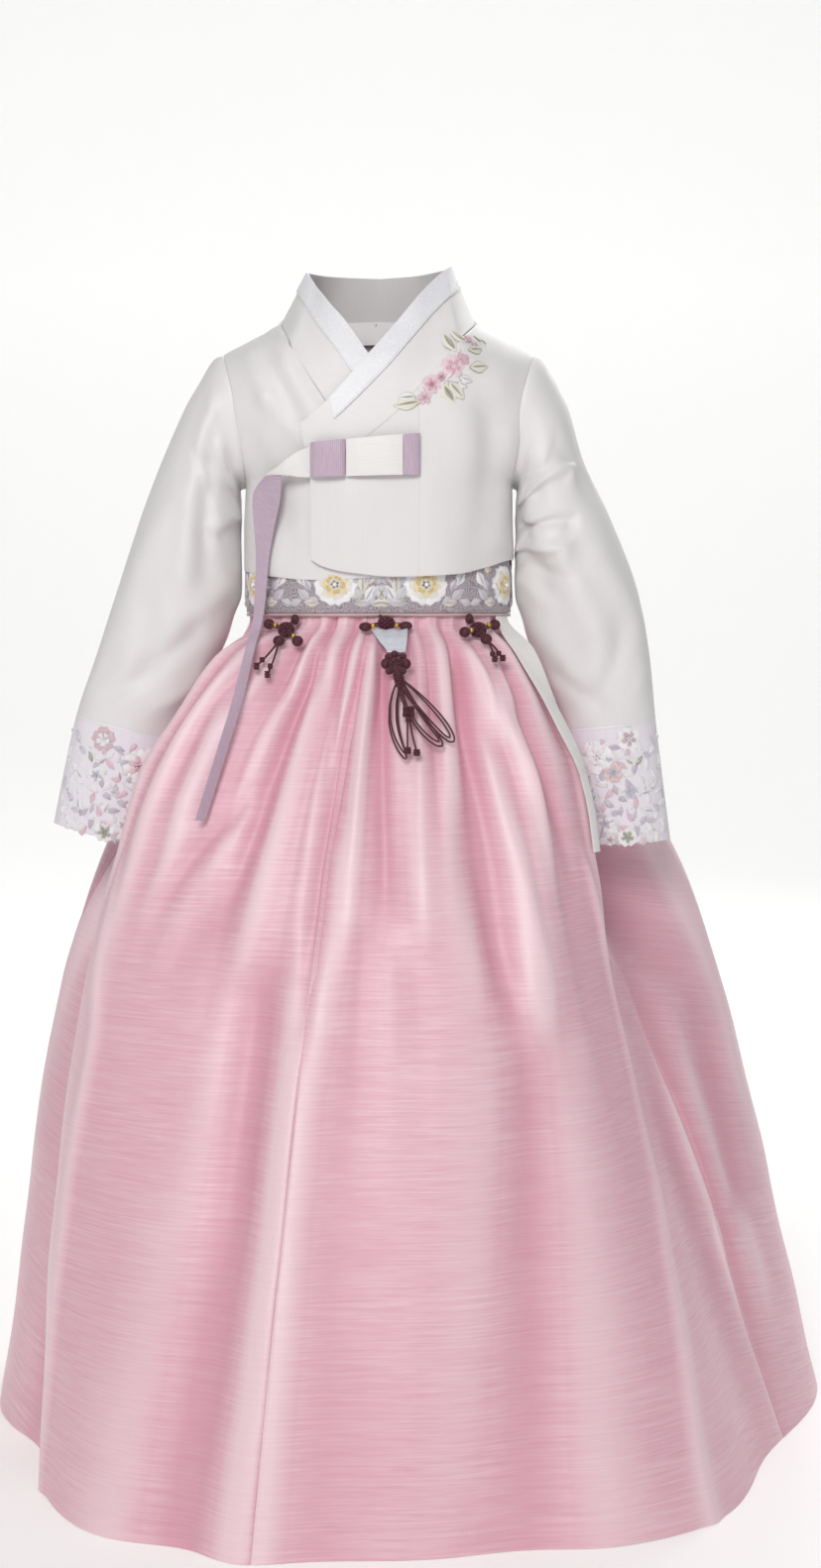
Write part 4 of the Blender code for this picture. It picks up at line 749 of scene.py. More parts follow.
# ---------------------------------------------------------------- fine folds and creases
JACKET_CREASES = (
    # face, from_x, from_z, to_x, to_z, rise, width
    (-1, -0.081, -0.0100, -0.050, -0.0700, 0.0037, 0.0091),
    (-1, -0.101, -0.0150, -0.084, -0.0580, 0.0044, 0.0104),
    (-1, -0.084, -0.0580, -0.064, -0.0850, 0.0037, 0.0091),
    (-1, -0.091, -0.0300, -0.066, -0.0760, -0.0031, 0.0078),
    (-1, -0.104, -0.0900, -0.080, -0.1500, -0.0037, 0.0117),
    (-1, -0.098, -0.1300, -0.086, -0.1900, 0.0034, 0.0104),
    (-1, -0.072, -0.1250, -0.068, -0.1720, -0.0012, 0.0091),
    (-1, 0.089, -0.0700, 0.092, -0.1150, -0.0048, 0.0130),
    (-1, 0.074, -0.0850, 0.072, -0.1500, 0.0024, 0.0156),
    (-1, 0.104, -0.0900, 0.094, -0.1700, 0.0041, 0.0104),
    (-1, 0.083, -0.1250, 0.086, -0.1900, -0.0012, 0.0117),
    (-1, 0.045, -0.1300, 0.050, -0.1950, 0.0017, 0.0156),
    (-1, 0.100, -0.0300, 0.094, -0.0600, 0.0024, 0.0117),
    (-1, -0.020, -0.1400, -0.024, -0.1900, 0.0014, 0.0143),
    (1, -0.098, -0.0400, -0.066, -0.1100, 0.0041, 0.0117),
    (1, -0.090, -0.0900, -0.060, -0.1700, -0.0018, 0.0117),
    (1, 0.097, -0.0450, 0.070, -0.1150, 0.0041, 0.0117),
    (1, 0.091, -0.0950, 0.058, -0.1750, -0.0018, 0.0130),
    (1, -0.020, -0.0250, 0.024, -0.0320, 0.0024, 0.0104),
    (1, -0.030, -0.1300, -0.012, -0.1900, 0.0027, 0.0143),
    (1, 0.024, -0.1200, 0.034, -0.1900, -0.0011, 0.0130))

LEFT_FINE_CREASES = (
    # from_step, from_angle, to_step, to_angle, rise, width
    (0.4, 118, 1.1, 96, 0.0025, 0.0093), (0.7, 138, 1.5, 112, -0.0020, 0.0109),
    (1.3, 70, 2.3, 38, -0.0025, 0.0139), (2.7, 160, 3.4, 104, -0.0025, 0.0116),
    (3.0, 165, 3.8, 122, 0.0020, 0.0124), (3.4, 60, 4.3, 34, 0.0023, 0.0170),
    (4.0, 120, 4.9, 92, 0.0021, 0.0186), (4.9, 142, 5.8, 96, -0.0021, 0.0124),
    (5.2, 40, 5.9, 66, 0.0021, 0.0124), (1.1, 232, 2.3, 282, -0.0046, 0.0124),
    (2.3, 200, 3.2, 252, 0.0046, 0.0139), (3.4, 212, 4.3, 262, -0.0037, 0.0155),
    (4.4, 244, 5.5, 302, 0.0037, 0.0155), (0.5, 318, 1.6, 338, 0.0023, 0.0170),
    (1.3, 180, 3.3, 180, 0.0058, 0.0220), (1.5, 138, 4.2, 84, 0.0046, 0.0160),
    (2.2, 148, 4.6, 108, -0.0036, 0.0160))
RIGHT_FINE_CREASES = (
    (0.3, 112, 1.0, 92, 0.0023, 0.0093), (0.7, 128, 1.6, 78, -0.0028, 0.0109),
    (1.2, 158, 1.9, 118, 0.0028, 0.0109), (1.8, 150, 2.7, 112, -0.0020, 0.0139),
    (2.5, 70, 3.6, 44, 0.0021, 0.0170), (3.3, 150, 4.2, 104, 0.0025, 0.0170),
    (4.1, 66, 5.0, 96, -0.0028, 0.0155), (4.9, 148, 5.8, 108, 0.0025, 0.0139),
    (5.1, 50, 5.9, 30, -0.0018, 0.0139), (1.0, 226, 2.1, 286, -0.0044, 0.0132),
    (2.4, 204, 3.4, 258, 0.0041, 0.0139), (3.6, 216, 4.4, 270, -0.0034, 0.0155),
    (4.5, 236, 5.6, 296, 0.0034, 0.0155), (0.5, 322, 1.5, 342, 0.0021, 0.0170),
    (1.3, 180, 3.3, 180, 0.0058, 0.0220), (0.6, 70, 3.4, 96, 0.0040, 0.0150),
    (1.0, 92, 3.2, 118, -0.0034, 0.0150))

FINE_FOLDS = (
    # rise, half-width in degrees, then places down the fold: angle, z
    (0.0040, 2.4, (-50, -0.262), (-56, -0.310), (-57.5, -0.383), (-58, -0.440)),
    (-0.0042, 2.0, (-47, -0.245), (-49, -0.271), (-52.4, -0.300), (-53.7, -0.350)),
    (0.0036, 2.6, (-49, -0.298), (-49, -0.378), (-51, -0.460)),
    (-0.0046, 2.8, (-33, -0.280), (-34.7, -0.322), (-36, -0.363), (-45, -0.414), (-50, -0.475)),
    (0.0040, 3.0, (-40, -0.290), (-41, -0.340), (-42, -0.390)),
    (-0.0046, 1.7, (-24, -0.229), (-29, -0.256), (-30, -0.281), (-32, -0.315)),
    (0.0030, 2.0, (-35, -0.240), (-27, -0.262), (-26, -0.300)),
    (-0.0046, 2.1, (-10.5, -0.232), (-15.3, -0.261), (-15, -0.291), (-14, -0.402), (-14, -0.520)),
    (0.0034, 2.6, (-7, -0.240), (-5, -0.291), (-5.7, -0.370)),
    (-0.0034, 2.0, (0.5, -0.250), (2.6, -0.332), (2.7, -0.420)),
    (0.0030, 3.2, (9.0, -0.285), (9.5, -0.352), (9.6, -0.440)),
    (0.0042, 3.0, (26, -0.250), (23, -0.302), (17, -0.440)),
    (-0.0050, 3.4, (39, -0.245), (31, -0.302), (28.7, -0.336), (24.7, -0.411), (26.8, -0.510)),
    (0.0044, 2.4, (41, -0.262), (41, -0.302), (44, -0.375)),
    (0.0036, 2.2, (34, -0.325), (33.5, -0.372), (34.4, -0.450)),
    (-0.0034, 2.4, (46, -0.300), (47.5, -0.335), (50, -0.400)),
    (-0.0036, 4.0, (-27, -0.500), (-21, -0.722), (-22, -0.870)),
    (0.0030, 4.6, (-17, -0.500), (-14.5, -0.722), (-15, -0.880)),
    (-0.0032, 5.0, (31, -0.545), (23.8, -0.723), (22, -0.880)),
    (0.0032, 1.6, (57, -0.420), (59.5, -0.524), (54.8, -0.630), (47.9, -0.743), (43.0, -0.889)),
    (-0.0048, 5.0, (92, -0.590), (84.5, -0.695), (74, -0.740)),
    (0.0050, 4.0, (88, -0.539), (80, -0.655), (83, -0.780)),
    (0.0030, 1.6, (-63, -0.413), (-59, -0.492), (-55, -0.553), (-55, -0.619), (-52, -0.889)),
    (-0.0050, 4.0, (-84, -0.500), (-76, -0.640), (-72, -0.860)),
    (0.0034, 3.0, (104, -0.330), (102, -0.450), (97, -0.640)),
    (-0.0040, 3.2, (118, -0.350), (121, -0.520), (119, -0.740)),
    (0.0040, 3.0, (142, -0.260), (146, -0.400), (143, -0.620)),
    (-0.0046, 3.0, (165, -0.250), (168, -0.380), (166, -0.600)),
    (0.0036, 2.6, (190, -0.250), (192, -0.370), (194, -0.540)),
    (-0.0042, 3.2, (214, -0.270), (213, -0.420), (217, -0.680)),
    (0.0040, 3.0, (238, -0.300), (241, -0.460), (239, -0.700)),
    (-0.0036, 3.0, (257, -0.340), (255, -0.520), (258, -0.760)))

PUCKER_DEPTH = 0.00045      # small puckers right under the belt
PUCKERS_PER_GATHER = 2.5


def jacket_relief(x, z, face):
    """The rise of the jacket's creases at one place, and of the cloth's faint unevenness."""
    total = 0.00035 * math.sin(61 * x + 23 * z + face)
    total += 0.00030 * math.sin(17 * x - 74 * z + 2 * face)
    for side, from_x, from_z, to_x, to_z, rise, width in JACKET_CREASES:
        if side != face:
            continue
        run_x, run_z = to_x - from_x, to_z - from_z
        length = math.hypot(run_x, run_z)
        along = ((x - from_x) * run_x + (z - from_z) * run_z) / length
        across = ((x - from_x) * run_z - (z - from_z) * run_x) / length
        beyond = max(-along, along - length, 0.0)
        if abs(across) < 3 * width and beyond < 3 * width:
            total += rise * math.exp(-(across / width) ** 2 - (beyond / width) ** 2)
    return total * ease(0.0, 0.016, SHOULDER.at(abs(x)).z - z)


def jacket_skin(x, z, face, rise=0.0):
    """A point of the jacket's outer face, with its creases."""
    relief = jacket_relief(x, z, face)
    point = on_body(x, z, face, rise)
    return point + Vector((point.x * 0.6, point.y, 0)).normalized() * relief


@functools.lru_cache(maxsize=None)
def gathers(panel):
    """A panel's gathers: each one's start, width, height, phase and how far down it runs."""
    per_panel = 360 / len(PANELS)
    widths = [1 + 0.30 * math.sin(2.4 * gather + 1.3 * panel)
              for gather in range(GATHERS_PER_PANEL)]
    found, start = [], 0.0
    for gather, width in enumerate(widths):
        number = gather + GATHERS_PER_PANEL * panel
        found.append(SimpleNamespace(
            start=start, width=width / sum(widths) * per_panel,
            height=0.80 + 0.20 * math.sin(2.1 * number + 0.6),
            reach=1.15 + 0.45 * math.sin(1.7 * number + 0.4), phase=2.9 * number))
        start += found[-1].width
    return found


def gather_rise(panel, aside, z):
    """The height of the gathers at an angle from the panel's first seam."""
    for gather in gathers(panel):
        if aside <= gather.start + gather.width:
            break
    part = min(max((aside - gather.start) / gather.width, 0.0), 1.0)
    reached = z if z > FLARE_TOP else FLARE_TOP + (z - FLARE_TOP) / gather.reach
    rise = GATHER_RISE.at(round(reached, 5)).rise
    swell = math.sin(math.pi * part) ** 1.5
    ripple = 0.22 * rise * math.sin(math.tau * 1.5 * part + gather.phase)
    ripple *= math.sin(math.pi * part) ** 2
    pucker = PUCKER_DEPTH * math.sin(math.tau * PUCKERS_PER_GATHER * part + gather.phase)
    pucker *= math.sin(math.pi * part) * ease(-0.285, -0.240, z)
    return 2 * gather.height * swell * rise - GATHER_RISE.at(z).rise + ripple + pucker


def fine_folds(angle, z):
    """The rise of the skirt's fine folds at one place."""
    total = 0.0
    for rise, half_width, *places in FINE_FOLDS:
        top, bottom = places[0][1], places[-1][1]
        fade = ease(0.0, 0.030, top + 0.015 - z)
        if bottom > FLOOR + 0.02:
            fade *= ease(-0.06, 0.02, z - bottom)
        if fade <= 0:
            continue
        centre = smooth([-place[1] for place in places], [place[0] for place in places], -z)
        away = ((angle - centre + 180) % 360 - 180) / half_width
        if abs(away) < 3:
            total += rise * fade * math.exp(-away * away)
    return total


def skirt_skin(panel, aside, z):
    """A point of the skirt's outer face, at an angle from the panel's first seam."""
    angle = SEAM_LINE.at(z).angle + panel * 360 / len(PANELS) + aside
    share = settings().fold_share
    limp = 0.0010 * math.sin(math.radians(5 * angle) + 31 * z)
    limp *= math.sin(22 * z + math.radians(3 * angle))
    seam = min(aside, 360 / len(PANELS) - aside)
    rise = gather_rise(panel, aside, z) + share * (fine_folds(angle, z) + limp)
    return on_skirt(angle, z, rise * ease(-0.6, 0.5, seam))


# ---------------------------------------------------------------- making cloth
def settings():
    return bpy.context.scene.hanbok_sizes


def colours():
    return bpy.context.scene.hanbok_colours


def grid_normals(grid, closed, inside):
    """A grid's unit normals on its outer side, which faces away from the point inside."""
    down = np.gradient(grid, axis=0)
    if closed:
        wide = np.concatenate([grid[:, -1:], grid, grid[:, :1]], axis=1)
        along = np.gradient(wide, axis=1)[:, 1:-1]
    else:
        along = np.gradient(grid, axis=1)
    normals = np.cross(along, down)
    size = np.linalg.norm(normals, axis=2, keepdims=True)
    outward = np.sum(normals * (grid - np.array(inside)))
    return normals / np.maximum(size, 1e-12) * (1 if outward > 0 else -1)


TUCK_DEPTH = 0.0002
TUCK_REACH = 0.0014        # how far from its edge the cloth starts to turn in


def tucked(grid, closed, inside, edges):
    """The grid with its named edges turned in a little, as folded and sewn cloth is."""
    normals = grid_normals(grid, closed, inside)
    far = np.full(grid.shape[:2], np.inf)
    for edge in edges:
        axis = 0 if edge in ("top", "bottom") else 1
        source = grid if edge in ("top", "left") else np.flip(grid, axis)
        steps_away = np.linalg.norm(np.diff(source, axis=axis), axis=2)
        away = np.concatenate([np.zeros_like(np.take(steps_away, [0], axis)),
                               np.cumsum(steps_away, axis)], axis)
        far = np.minimum(far, away if edge in ("top", "left") else np.flip(away, axis))
    turn = np.clip(1 - far / TUCK_REACH, 0, 1)[..., None] ** 2
    return grid - normals * turn * TUCK_DEPTH


FOLD_HEIGHT = 0.0040       # a crest this far out of the cloth around it counts as full, with the full painted highlight, and a trough as deep gets the full painted shade
FOLD_WINDOW = 11           # columns on each side that are the cloth around a place


def fold_highlight_and_shade_mask(grid):
    """How far each place stands out of the cloth around it: -1 in a trough (painted shade), 1 on a
    crest (painted highlight).
    """
    away = np.linalg.norm(grid[..., :2], axis=2)
    wide = np.pad(away, ((0, 0), (FOLD_WINDOW, FOLD_WINDOW)), mode="reflect")
    count = 2 * FOLD_WINDOW + 1
    around = sum(wide[:, step:step + away.shape[1]] for step in range(count)) / count
    return np.clip((away - around) / FOLD_HEIGHT, -1, 1)


def cloth_lengths(grid, closed):
    """Each vertex's place on the flat cloth, in metres: across from the middle, and down."""
    ring = np.concatenate([grid, grid[:, :1]], axis=1) if closed else grid
    across = np.linalg.norm(np.diff(ring, axis=1), axis=2)
    across = np.concatenate([np.zeros((len(ring), 1)), np.cumsum(across, axis=1)], axis=1)
    across -= across[:, ring.shape[1] // 2:ring.shape[1] // 2 + 1]
    down = np.linalg.norm(np.diff(ring, axis=0), axis=2)
    down = np.concatenate([np.zeros((1, ring.shape[1])), np.cumsum(down, axis=0)])
    return np.stack([across, -down], axis=2)


def with_allowance(plain, grid, cloth, edge, closed, inside, reach=0.004, sink=0.0024):
    """The grid and its cut with a seam allowance at one edge.

    The allowance turns in there and runs on under the next piece.
    """
    axis, rim, near, way = {"top": (0, 0, 3, (0, 1)), "bottom": (0, -1, -4, (0, -1)),
                            "left": (1, 0, 3, (-1, 0)), "right": (1, -1, -4, (1, 0))}[edge]
    onward = np.take(plain, [rim], axis) - np.take(plain, [near], axis)
    onward /= np.linalg.norm(onward, axis=2, keepdims=True)
    inward = -np.take(grid_normals(plain, closed, inside), [rim], axis)
    bends = ((0.0001, 0.00022), (0.0006, 0.0006), (reach, sink))
    folds = [np.take(plain, [rim], axis) + onward * run + inward * depth for run, depth in bends]
    seams = [np.take(cloth, [rim], axis) + np.array(way) * (run + depth) for run, depth in bends]
    if rim:
        return np.concatenate([grid, *folds], axis), np.concatenate([cloth, *seams], axis)
    return np.concatenate([*folds[::-1], grid], axis), np.concatenate([*seams[::-1], cloth], axis)


def added(name, data):
    """A new object, in the scene's own collection."""
    made = bpy.data.objects.new(name, data)
    bpy.context.scene.collection.objects.link(made)
    return made


def applied(made):
    """The object's new mesh, in the place of its old one, with its modifiers made part of it."""
    graph = bpy.context.evaluated_depsgraph_get()
    mesh = bpy.data.meshes.new_from_object(made.evaluated_get(graph))
    made.modifiers.clear()
    old, made.data = made.data, mesh
    bpy.data.meshes.remove(old)
    mesh.name = made.name
    return mesh


def plain_mesh(name, vertices, faces, corners, finish):
    """A mesh object with a UV map, where corners holds one place on the cloth for each corner."""
    mesh = bpy.data.meshes.new(name)
    mesh.from_pydata([tuple(vertex) for vertex in vertices], [], [tuple(face) for face in faces])
    layer = mesh.uv_layers.new(name="UVMap")
    layer.data.foreach_set("uv", np.asarray(corners, dtype=np.float32).ravel())
    mesh.materials.append(finish)
    return added(name, mesh)


RIM_ANGLE = 75             # cloth that turns by more than these degrees has a sharp edge


def walled(made, wall):
    """The cloth with its wall on the inner side, smooth but for its rims."""
    modifier = made.modifiers.new("Wall", "SOLIDIFY")
    modifier.thickness, modifier.offset = wall, -1
    mesh = applied(made)
    mesh.shade_smooth()
    mesh.set_sharp_from_angle(angle=math.radians(RIM_ANGLE))
    return made


def shell(name, rows, finish, wall, closed=False, inside=(0, 0, -0.1), edges=(), cut=None,
          allowance=None, reach=0.004, sink=0.0024, folds=None):
    """A thin shell of cloth through rows of points, with its wall on the inner side."""
    grid = as_grid(rows)
    cloth = cloth_lengths(grid, closed) if cut is None else cut
    plain = grid
    if edges:
        grid = tucked(grid, closed, inside, edges)
    if allowance:
        grid, cloth = with_allowance(plain, grid, cloth, allowance, closed, inside, reach,
                                     sink)
    high, wide = grid.shape[:2]
    row, column = np.meshgrid(np.arange(high - 1), np.arange(wide if closed else wide - 1),
                              indexing="ij")
    after = (column + 1) % wide
    faces = np.stack([row * wide + column, (row + 1) * wide + column,
                      (row + 1) * wide + after, row * wide + after], axis=2).reshape(-1, 4)
    corners = np.stack([cloth[row, column], cloth[row + 1, column],
                        cloth[row + 1, column + 1], cloth[row, column + 1]],
                        axis=2).reshape(-1, 4, 2)
    first = grid.reshape(-1, 3)[faces[:, :3]]
    normals = np.cross(first[:, 1] - first[:, 0], first[:, 2] - first[:, 0])
    if np.sum(normals * (first[:, 0] - np.array(inside))) < 0:
        faces, corners = faces[:, ::-1], corners[:, ::-1]
    made = plain_mesh(name, grid.reshape(-1, 3), faces, corners, finish)
    # folds: each point's share of painted highlight on a crest or painted shade in a trough, kept
    # on the mesh for the finish
    if folds is not None:
        folds = np.pad(folds, ((0, high - len(folds)), (0, wide - folds.shape[1])), mode="edge")
        made.data.attributes.new("fold", "FLOAT", "POINT").data.foreach_set("value", folds.ravel())
    return walled(made, wall)


def worn(made, slot, *nodes):
    """The piece goes with the garment and stands for its solids; the slot is not used."""
    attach(made, "root")
    if nodes:
        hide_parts(*nodes)
    return made


def spread(count, edge=0.0):
    """Shares from 0 to 1, with extra ones close to both ends where edge is a share over 0."""
    inner = [edge + (1 - 2 * edge) * part for part in steps(count)]
    if not edge:
        return inner
    return [0.0, edge * 0.30, edge * 0.62] + inner + [1 - edge * 0.62, 1 - edge * 0.30, 1.0]


def tube(name, points, radius, finish, sides=10, closed=False, taper=None):
    """A round cord through points. Its UV map runs round it and along it, in metres."""
    path = np.array([tuple(point) for point in points])
    count = len(path)
    if closed:
        ahead = np.roll(path, -1, axis=0) - np.roll(path, 1, axis=0)
    else:
        ahead = np.gradient(path, axis=0)
    ahead /= np.maximum(np.linalg.norm(ahead, axis=1, keepdims=True), 1e-12)
    side = np.cross(ahead[0], (0.0, 1.0, 0.0))
    if np.linalg.norm(side) < 1e-3:
        side = np.cross(ahead[0], (1.0, 0.0, 0.0))
    frames = []
    for direction in ahead:
        side = side - direction * np.dot(side, direction)
        side /= np.linalg.norm(side)
        frames.append((side, np.cross(direction, side)))
    if closed:
        start, end = frames[0][0], frames[-1][0]
        slip = math.atan2(np.dot(np.cross(end, start), ahead[0]), np.dot(end, start))
    else:
        slip = 0.0
    rings = []
    for index, (side, other) in enumerate(frames):
        swell = radius * (taper[index] if taper else 1.0)
        turn = slip * index / count
        angles = [math.tau * part + turn for part in steps(sides)[:-1]]
        rings.append([path[index] + swell * (side * math.cos(a) + other * math.sin(a))
                      for a in angles])
    vertices = np.array(rings).reshape(-1, 3)
    length = np.concatenate([[0.0], np.cumsum(np.linalg.norm(np.diff(path, axis=0), axis=1))])
    length = np.append(length, length[-1] + np.linalg.norm(path[0] - path[-1]))
    faces, corners = [], []
    around = math.tau * radius / sides
    for index in range(count if closed else count - 1):
        after = (index + 1) % count
        for face in range(sides):
            beside = (face + 1) % sides
            faces.append((index * sides + face, index * sides + beside,
                          after * sides + beside, after * sides + face))
            corners += [(face * around, length[index]), ((face + 1) * around, length[index]),
                        ((face + 1) * around, length[index + 1]),
                        (face * around, length[index + 1])]
    if not closed:
        for ring, order in ((0, range(sides - 1, -1, -1)), (count - 1, range(sides))):
            faces.append([ring * sides + face for face in order])
            corners += [(0.0, length[ring])] * sides
    made = plain_mesh(name, vertices, faces, corners, finish)
    made.data.shade_smooth()
    return made


def merged(name, pieces):
    """One object from several plain ones."""
    sheet, finishes = bmesh.new(), []
    for piece in pieces:
        before = len(sheet.faces)
        sheet.from_mesh(piece.data)
        sheet.faces.ensure_lookup_table()
        finishes += [finish for finish in piece.data.materials if finish not in finishes]
        places = [finishes.index(finish) for finish in piece.data.materials]
        for face in sheet.faces[before:]:
            face.material_index = places[face.material_index]
    whole = bpy.data.meshes.new(name)
    sheet.to_mesh(whole)
    sheet.free()
    for finish in finishes:
        whole.materials.append(finish)
    for piece in pieces:
        mesh = piece.data
        bpy.data.objects.remove(piece)
        bpy.data.meshes.remove(mesh)
    return added(name, whole)


# ---------------------------------------------------------------- geometry node trees
def put(tree, kind, inputs=None, **fields):
    """A new node with its fields set, and its inputs set to values or linked from sockets."""
    node = tree.nodes.new(kind)
    for field, value in fields.items():
        setattr(node, field, value)
    for key, value in (inputs or {}).items():
        if isinstance(value, bpy.types.NodeSocket):
            tree.links.new(value, node.inputs[key])
        else:
            node.inputs[key].default_value = value
    return node


def repeating_tree(name, inputs, build):
    """The geometry node tree of this name, made once: it makes build's instances real.

    Each input is its name, its kind of socket and its default. build takes the tree and its
    entry. The last input is the finish that everything gets.
    """
    known = bpy.data.node_groups.get(name)
    if known:
        return known
    tree = bpy.data.node_groups.new(name, "GeometryNodeTree")
    for way in ("OUTPUT", "INPUT"):
        tree.interface.new_socket("Geometry", in_out=way, socket_type="NodeSocketGeometry")
    for label, kind, default in (*inputs, ("Finish", "NodeSocketMaterial", None)):
        socket = tree.interface.new_socket(label, in_out="INPUT", socket_type=kind)
        if default is not None:
            socket.default_value = default
    entry, leaving = tree.nodes.new("NodeGroupInput"), tree.nodes.new("NodeGroupOutput")
    real = put(tree, "GeometryNodeRealizeInstances", {"Geometry": build(tree, entry.outputs)})
    dressed = put(tree, "GeometryNodeSetMaterial", {
        "Geometry": real.outputs["Geometry"], "Material": entry.outputs["Finish"]})
    tree.links.new(dressed.outputs["Geometry"], leaving.inputs["Geometry"])
    return tree


def sewn_shapes(tree, given):
    """One shape on every point, turned, sized and tinted by the points' own attributes."""
    shape = put(tree, "GeometryNodeObjectInfo", {"Object": given["Shape"]})
    turn, size = (put(tree, "GeometryNodeInputNamedAttribute", {"Name": name},
                      data_type="FLOAT_VECTOR").outputs["Attribute"] for name in ("turn", "size"))
    rotation = put(tree, "FunctionNodeEulerToRotation", {"Euler": turn})
    scale = put(tree, "ShaderNodeVectorMath", {0: size, "Scale": given["Size"]},
                operation="SCALE")
    return put(tree, "GeometryNodeInstanceOnPoints", {
        "Points": given["Geometry"], "Instance": shape.outputs["Geometry"],
        "Rotation": rotation.outputs["Rotation"],
        "Scale": scale.outputs["Vector"]}).outputs["Instances"]


def running_stitch(tree, given):
    """Small rounded stitches along edges, with a gap between one and the next."""
    line = put(tree, "GeometryNodeMeshToCurve", {"Mesh": given["Geometry"]})
    pitch = put(tree, "ShaderNodeMath", {0: given["Stitch Length"], 1: given["Stitch Gap"]},
                operation="ADD")
    points = put(tree, "GeometryNodeCurveToPoints", {
        "Curve": line.outputs["Curve"], "Length": pitch.outputs["Value"]}, mode="LENGTH")
    grain = put(tree, "GeometryNodeMeshUVSphere", {"Segments": 6, "Rings": 4, "Radius": 1.0})
    half = put(tree, "ShaderNodeMath", {0: given["Stitch Length"], 1: 0.5}, operation="MULTIPLY")
    size = put(tree, "ShaderNodeCombineXYZ", {
        "X": given["Thread Radius"], "Y": given["Thread Radius"], "Z": half.outputs["Value"]})
    placed = put(tree, "GeometryNodeInstanceOnPoints", {
        "Points": points.outputs["Points"], "Instance": grain.outputs["Mesh"],
        "Rotation": points.outputs["Rotation"], "Scale": size.outputs["Vector"]})
    return put(tree, "GeometryNodeSetShadeSmooth", {
        "Geometry": placed.outputs["Instances"]}).outputs["Geometry"]


def run_tree(made, tree, values):
    """The object's mesh as the tree leaves it, with the tree's inputs set by identifier first."""
    modifier = made.modifiers.new(tree.name, "NODES")
    modifier.node_group = tree
    for item in tree.interface.items_tree:
        if item.in_out == "INPUT" and item.name in values:
            modifier[item.identifier] = values[item.name]
    if not applied(made).polygons:
        raise RuntimeError(made.name + ": the tree left no faces")
    return made


def stitched(name, lines, finish):
    """Running stitches along lines of points."""
    vertices, edges = [], []
    for line in lines:
        first = len(vertices)
        vertices += [tuple(point) for point in line]
        edges += [(first + step, first + step + 1) for step in range(len(line) - 1)]
    mesh = bpy.data.meshes.new(name)
    mesh.from_pydata(vertices, edges, [])
    size = settings()
    tree = repeating_tree("Running Stitch", (
        ("Stitch Length", "NodeSocketFloat", 0.0019), ("Stitch Gap", "NodeSocketFloat", 0.0010),
        ("Thread Radius", "NodeSocketFloat", 0.00016)), running_stitch)
    return run_tree(added(name, mesh), tree, {
        "Stitch Length": size.stitch_length, "Stitch Gap": size.stitch_gap,
        "Thread Radius": size.thread_radius, "Finish": finish})


# ---------------------------------------------------------------- embroidery
SHAPES = {
    # kind: widths from the base to the tip, as shares of the shape's own width; depth of the
    # notch in its tip; depth of its middle vein
    "petal": ((0.20, 0.58, 0.84, 0.98, 0.92, 0.60), 0.10, 0.0),
    "leaf": ((0.26, 0.66, 0.94, 0.92, 0.62, 0.28), 0.0, 0.28),
    "long_leaf": ((0.34, 0.80, 0.98, 0.84, 0.52, 0.20), 0.0, 0.24),
}
RIM_SINK = 0.35            # how far a shape's rim lies under the cloth, as a share of its rise


def padded_shape(sheet, widths, notch, vein):
    """Adds a shape of size 1 that is domed over the cloth, with its rim under it."""
    base = sheet.verts.new((0, -0.5, -RIM_SINK))
    rows = []
    for step, width in enumerate(widths):
        part = (step + 0.5) / len(widths)
        swell = math.sin(math.pi * (0.12 + 0.76 * part))
        row = []
        for side in (-1.0, -0.5, 0.0, 0.5, 1.0):
            height = -RIM_SINK if abs(side) == 1 else swell * (1 - vein * (side == 0))
            lag = notch * (1 - abs(side)) * part ** 3
            row.append(sheet.verts.new((side * width / 2, part - 0.5 - lag, height)))
        rows.append(row)
    tip = sheet.verts.new((0, 0.5 - 1.8 * notch, -RIM_SINK))
    for side in range(4):
        sheet.faces.new((base, rows[0][side + 1], rows[0][side]))
        sheet.faces.new((tip, rows[-1][side], rows[-1][side + 1]))
    for lower, upper in zip(rows, rows[1:]):
        for side in range(4):
            sheet.faces.new((lower[side], lower[side + 1], upper[side + 1], upper[side]))
    for face in sheet.faces:
        face.normal_update()
        if face.normal.z < 0:
            face.normal_flip()


def sewn_shape(kind):
    """A bead or a padded satin-stitch shape of size 1, hidden, for the trees to repeat."""
    known = bpy.data.objects.get("shape_" + kind)
    if known:
        return known
    sheet = bmesh.new()
    layer = sheet.loops.layers.uv.new("UVMap")
    if kind == "bead":
        bmesh.ops.create_uvsphere(sheet, u_segments=8, v_segments=6, radius=0.5)
    else:
        padded_shape(sheet, *SHAPES[kind])
    for face in sheet.faces:
        face.smooth = True
        for corner in face.loops:
            corner[layer].uv = (corner.vert.co.x + 0.5, corner.vert.co.y + 0.5)
    mesh = bpy.data.meshes.new("shape_" + kind)
    sheet.to_mesh(mesh)
    sheet.free()
    made = added("shape_" + kind, mesh)
    made.hide_render = made.hide_viewport = True
    return made


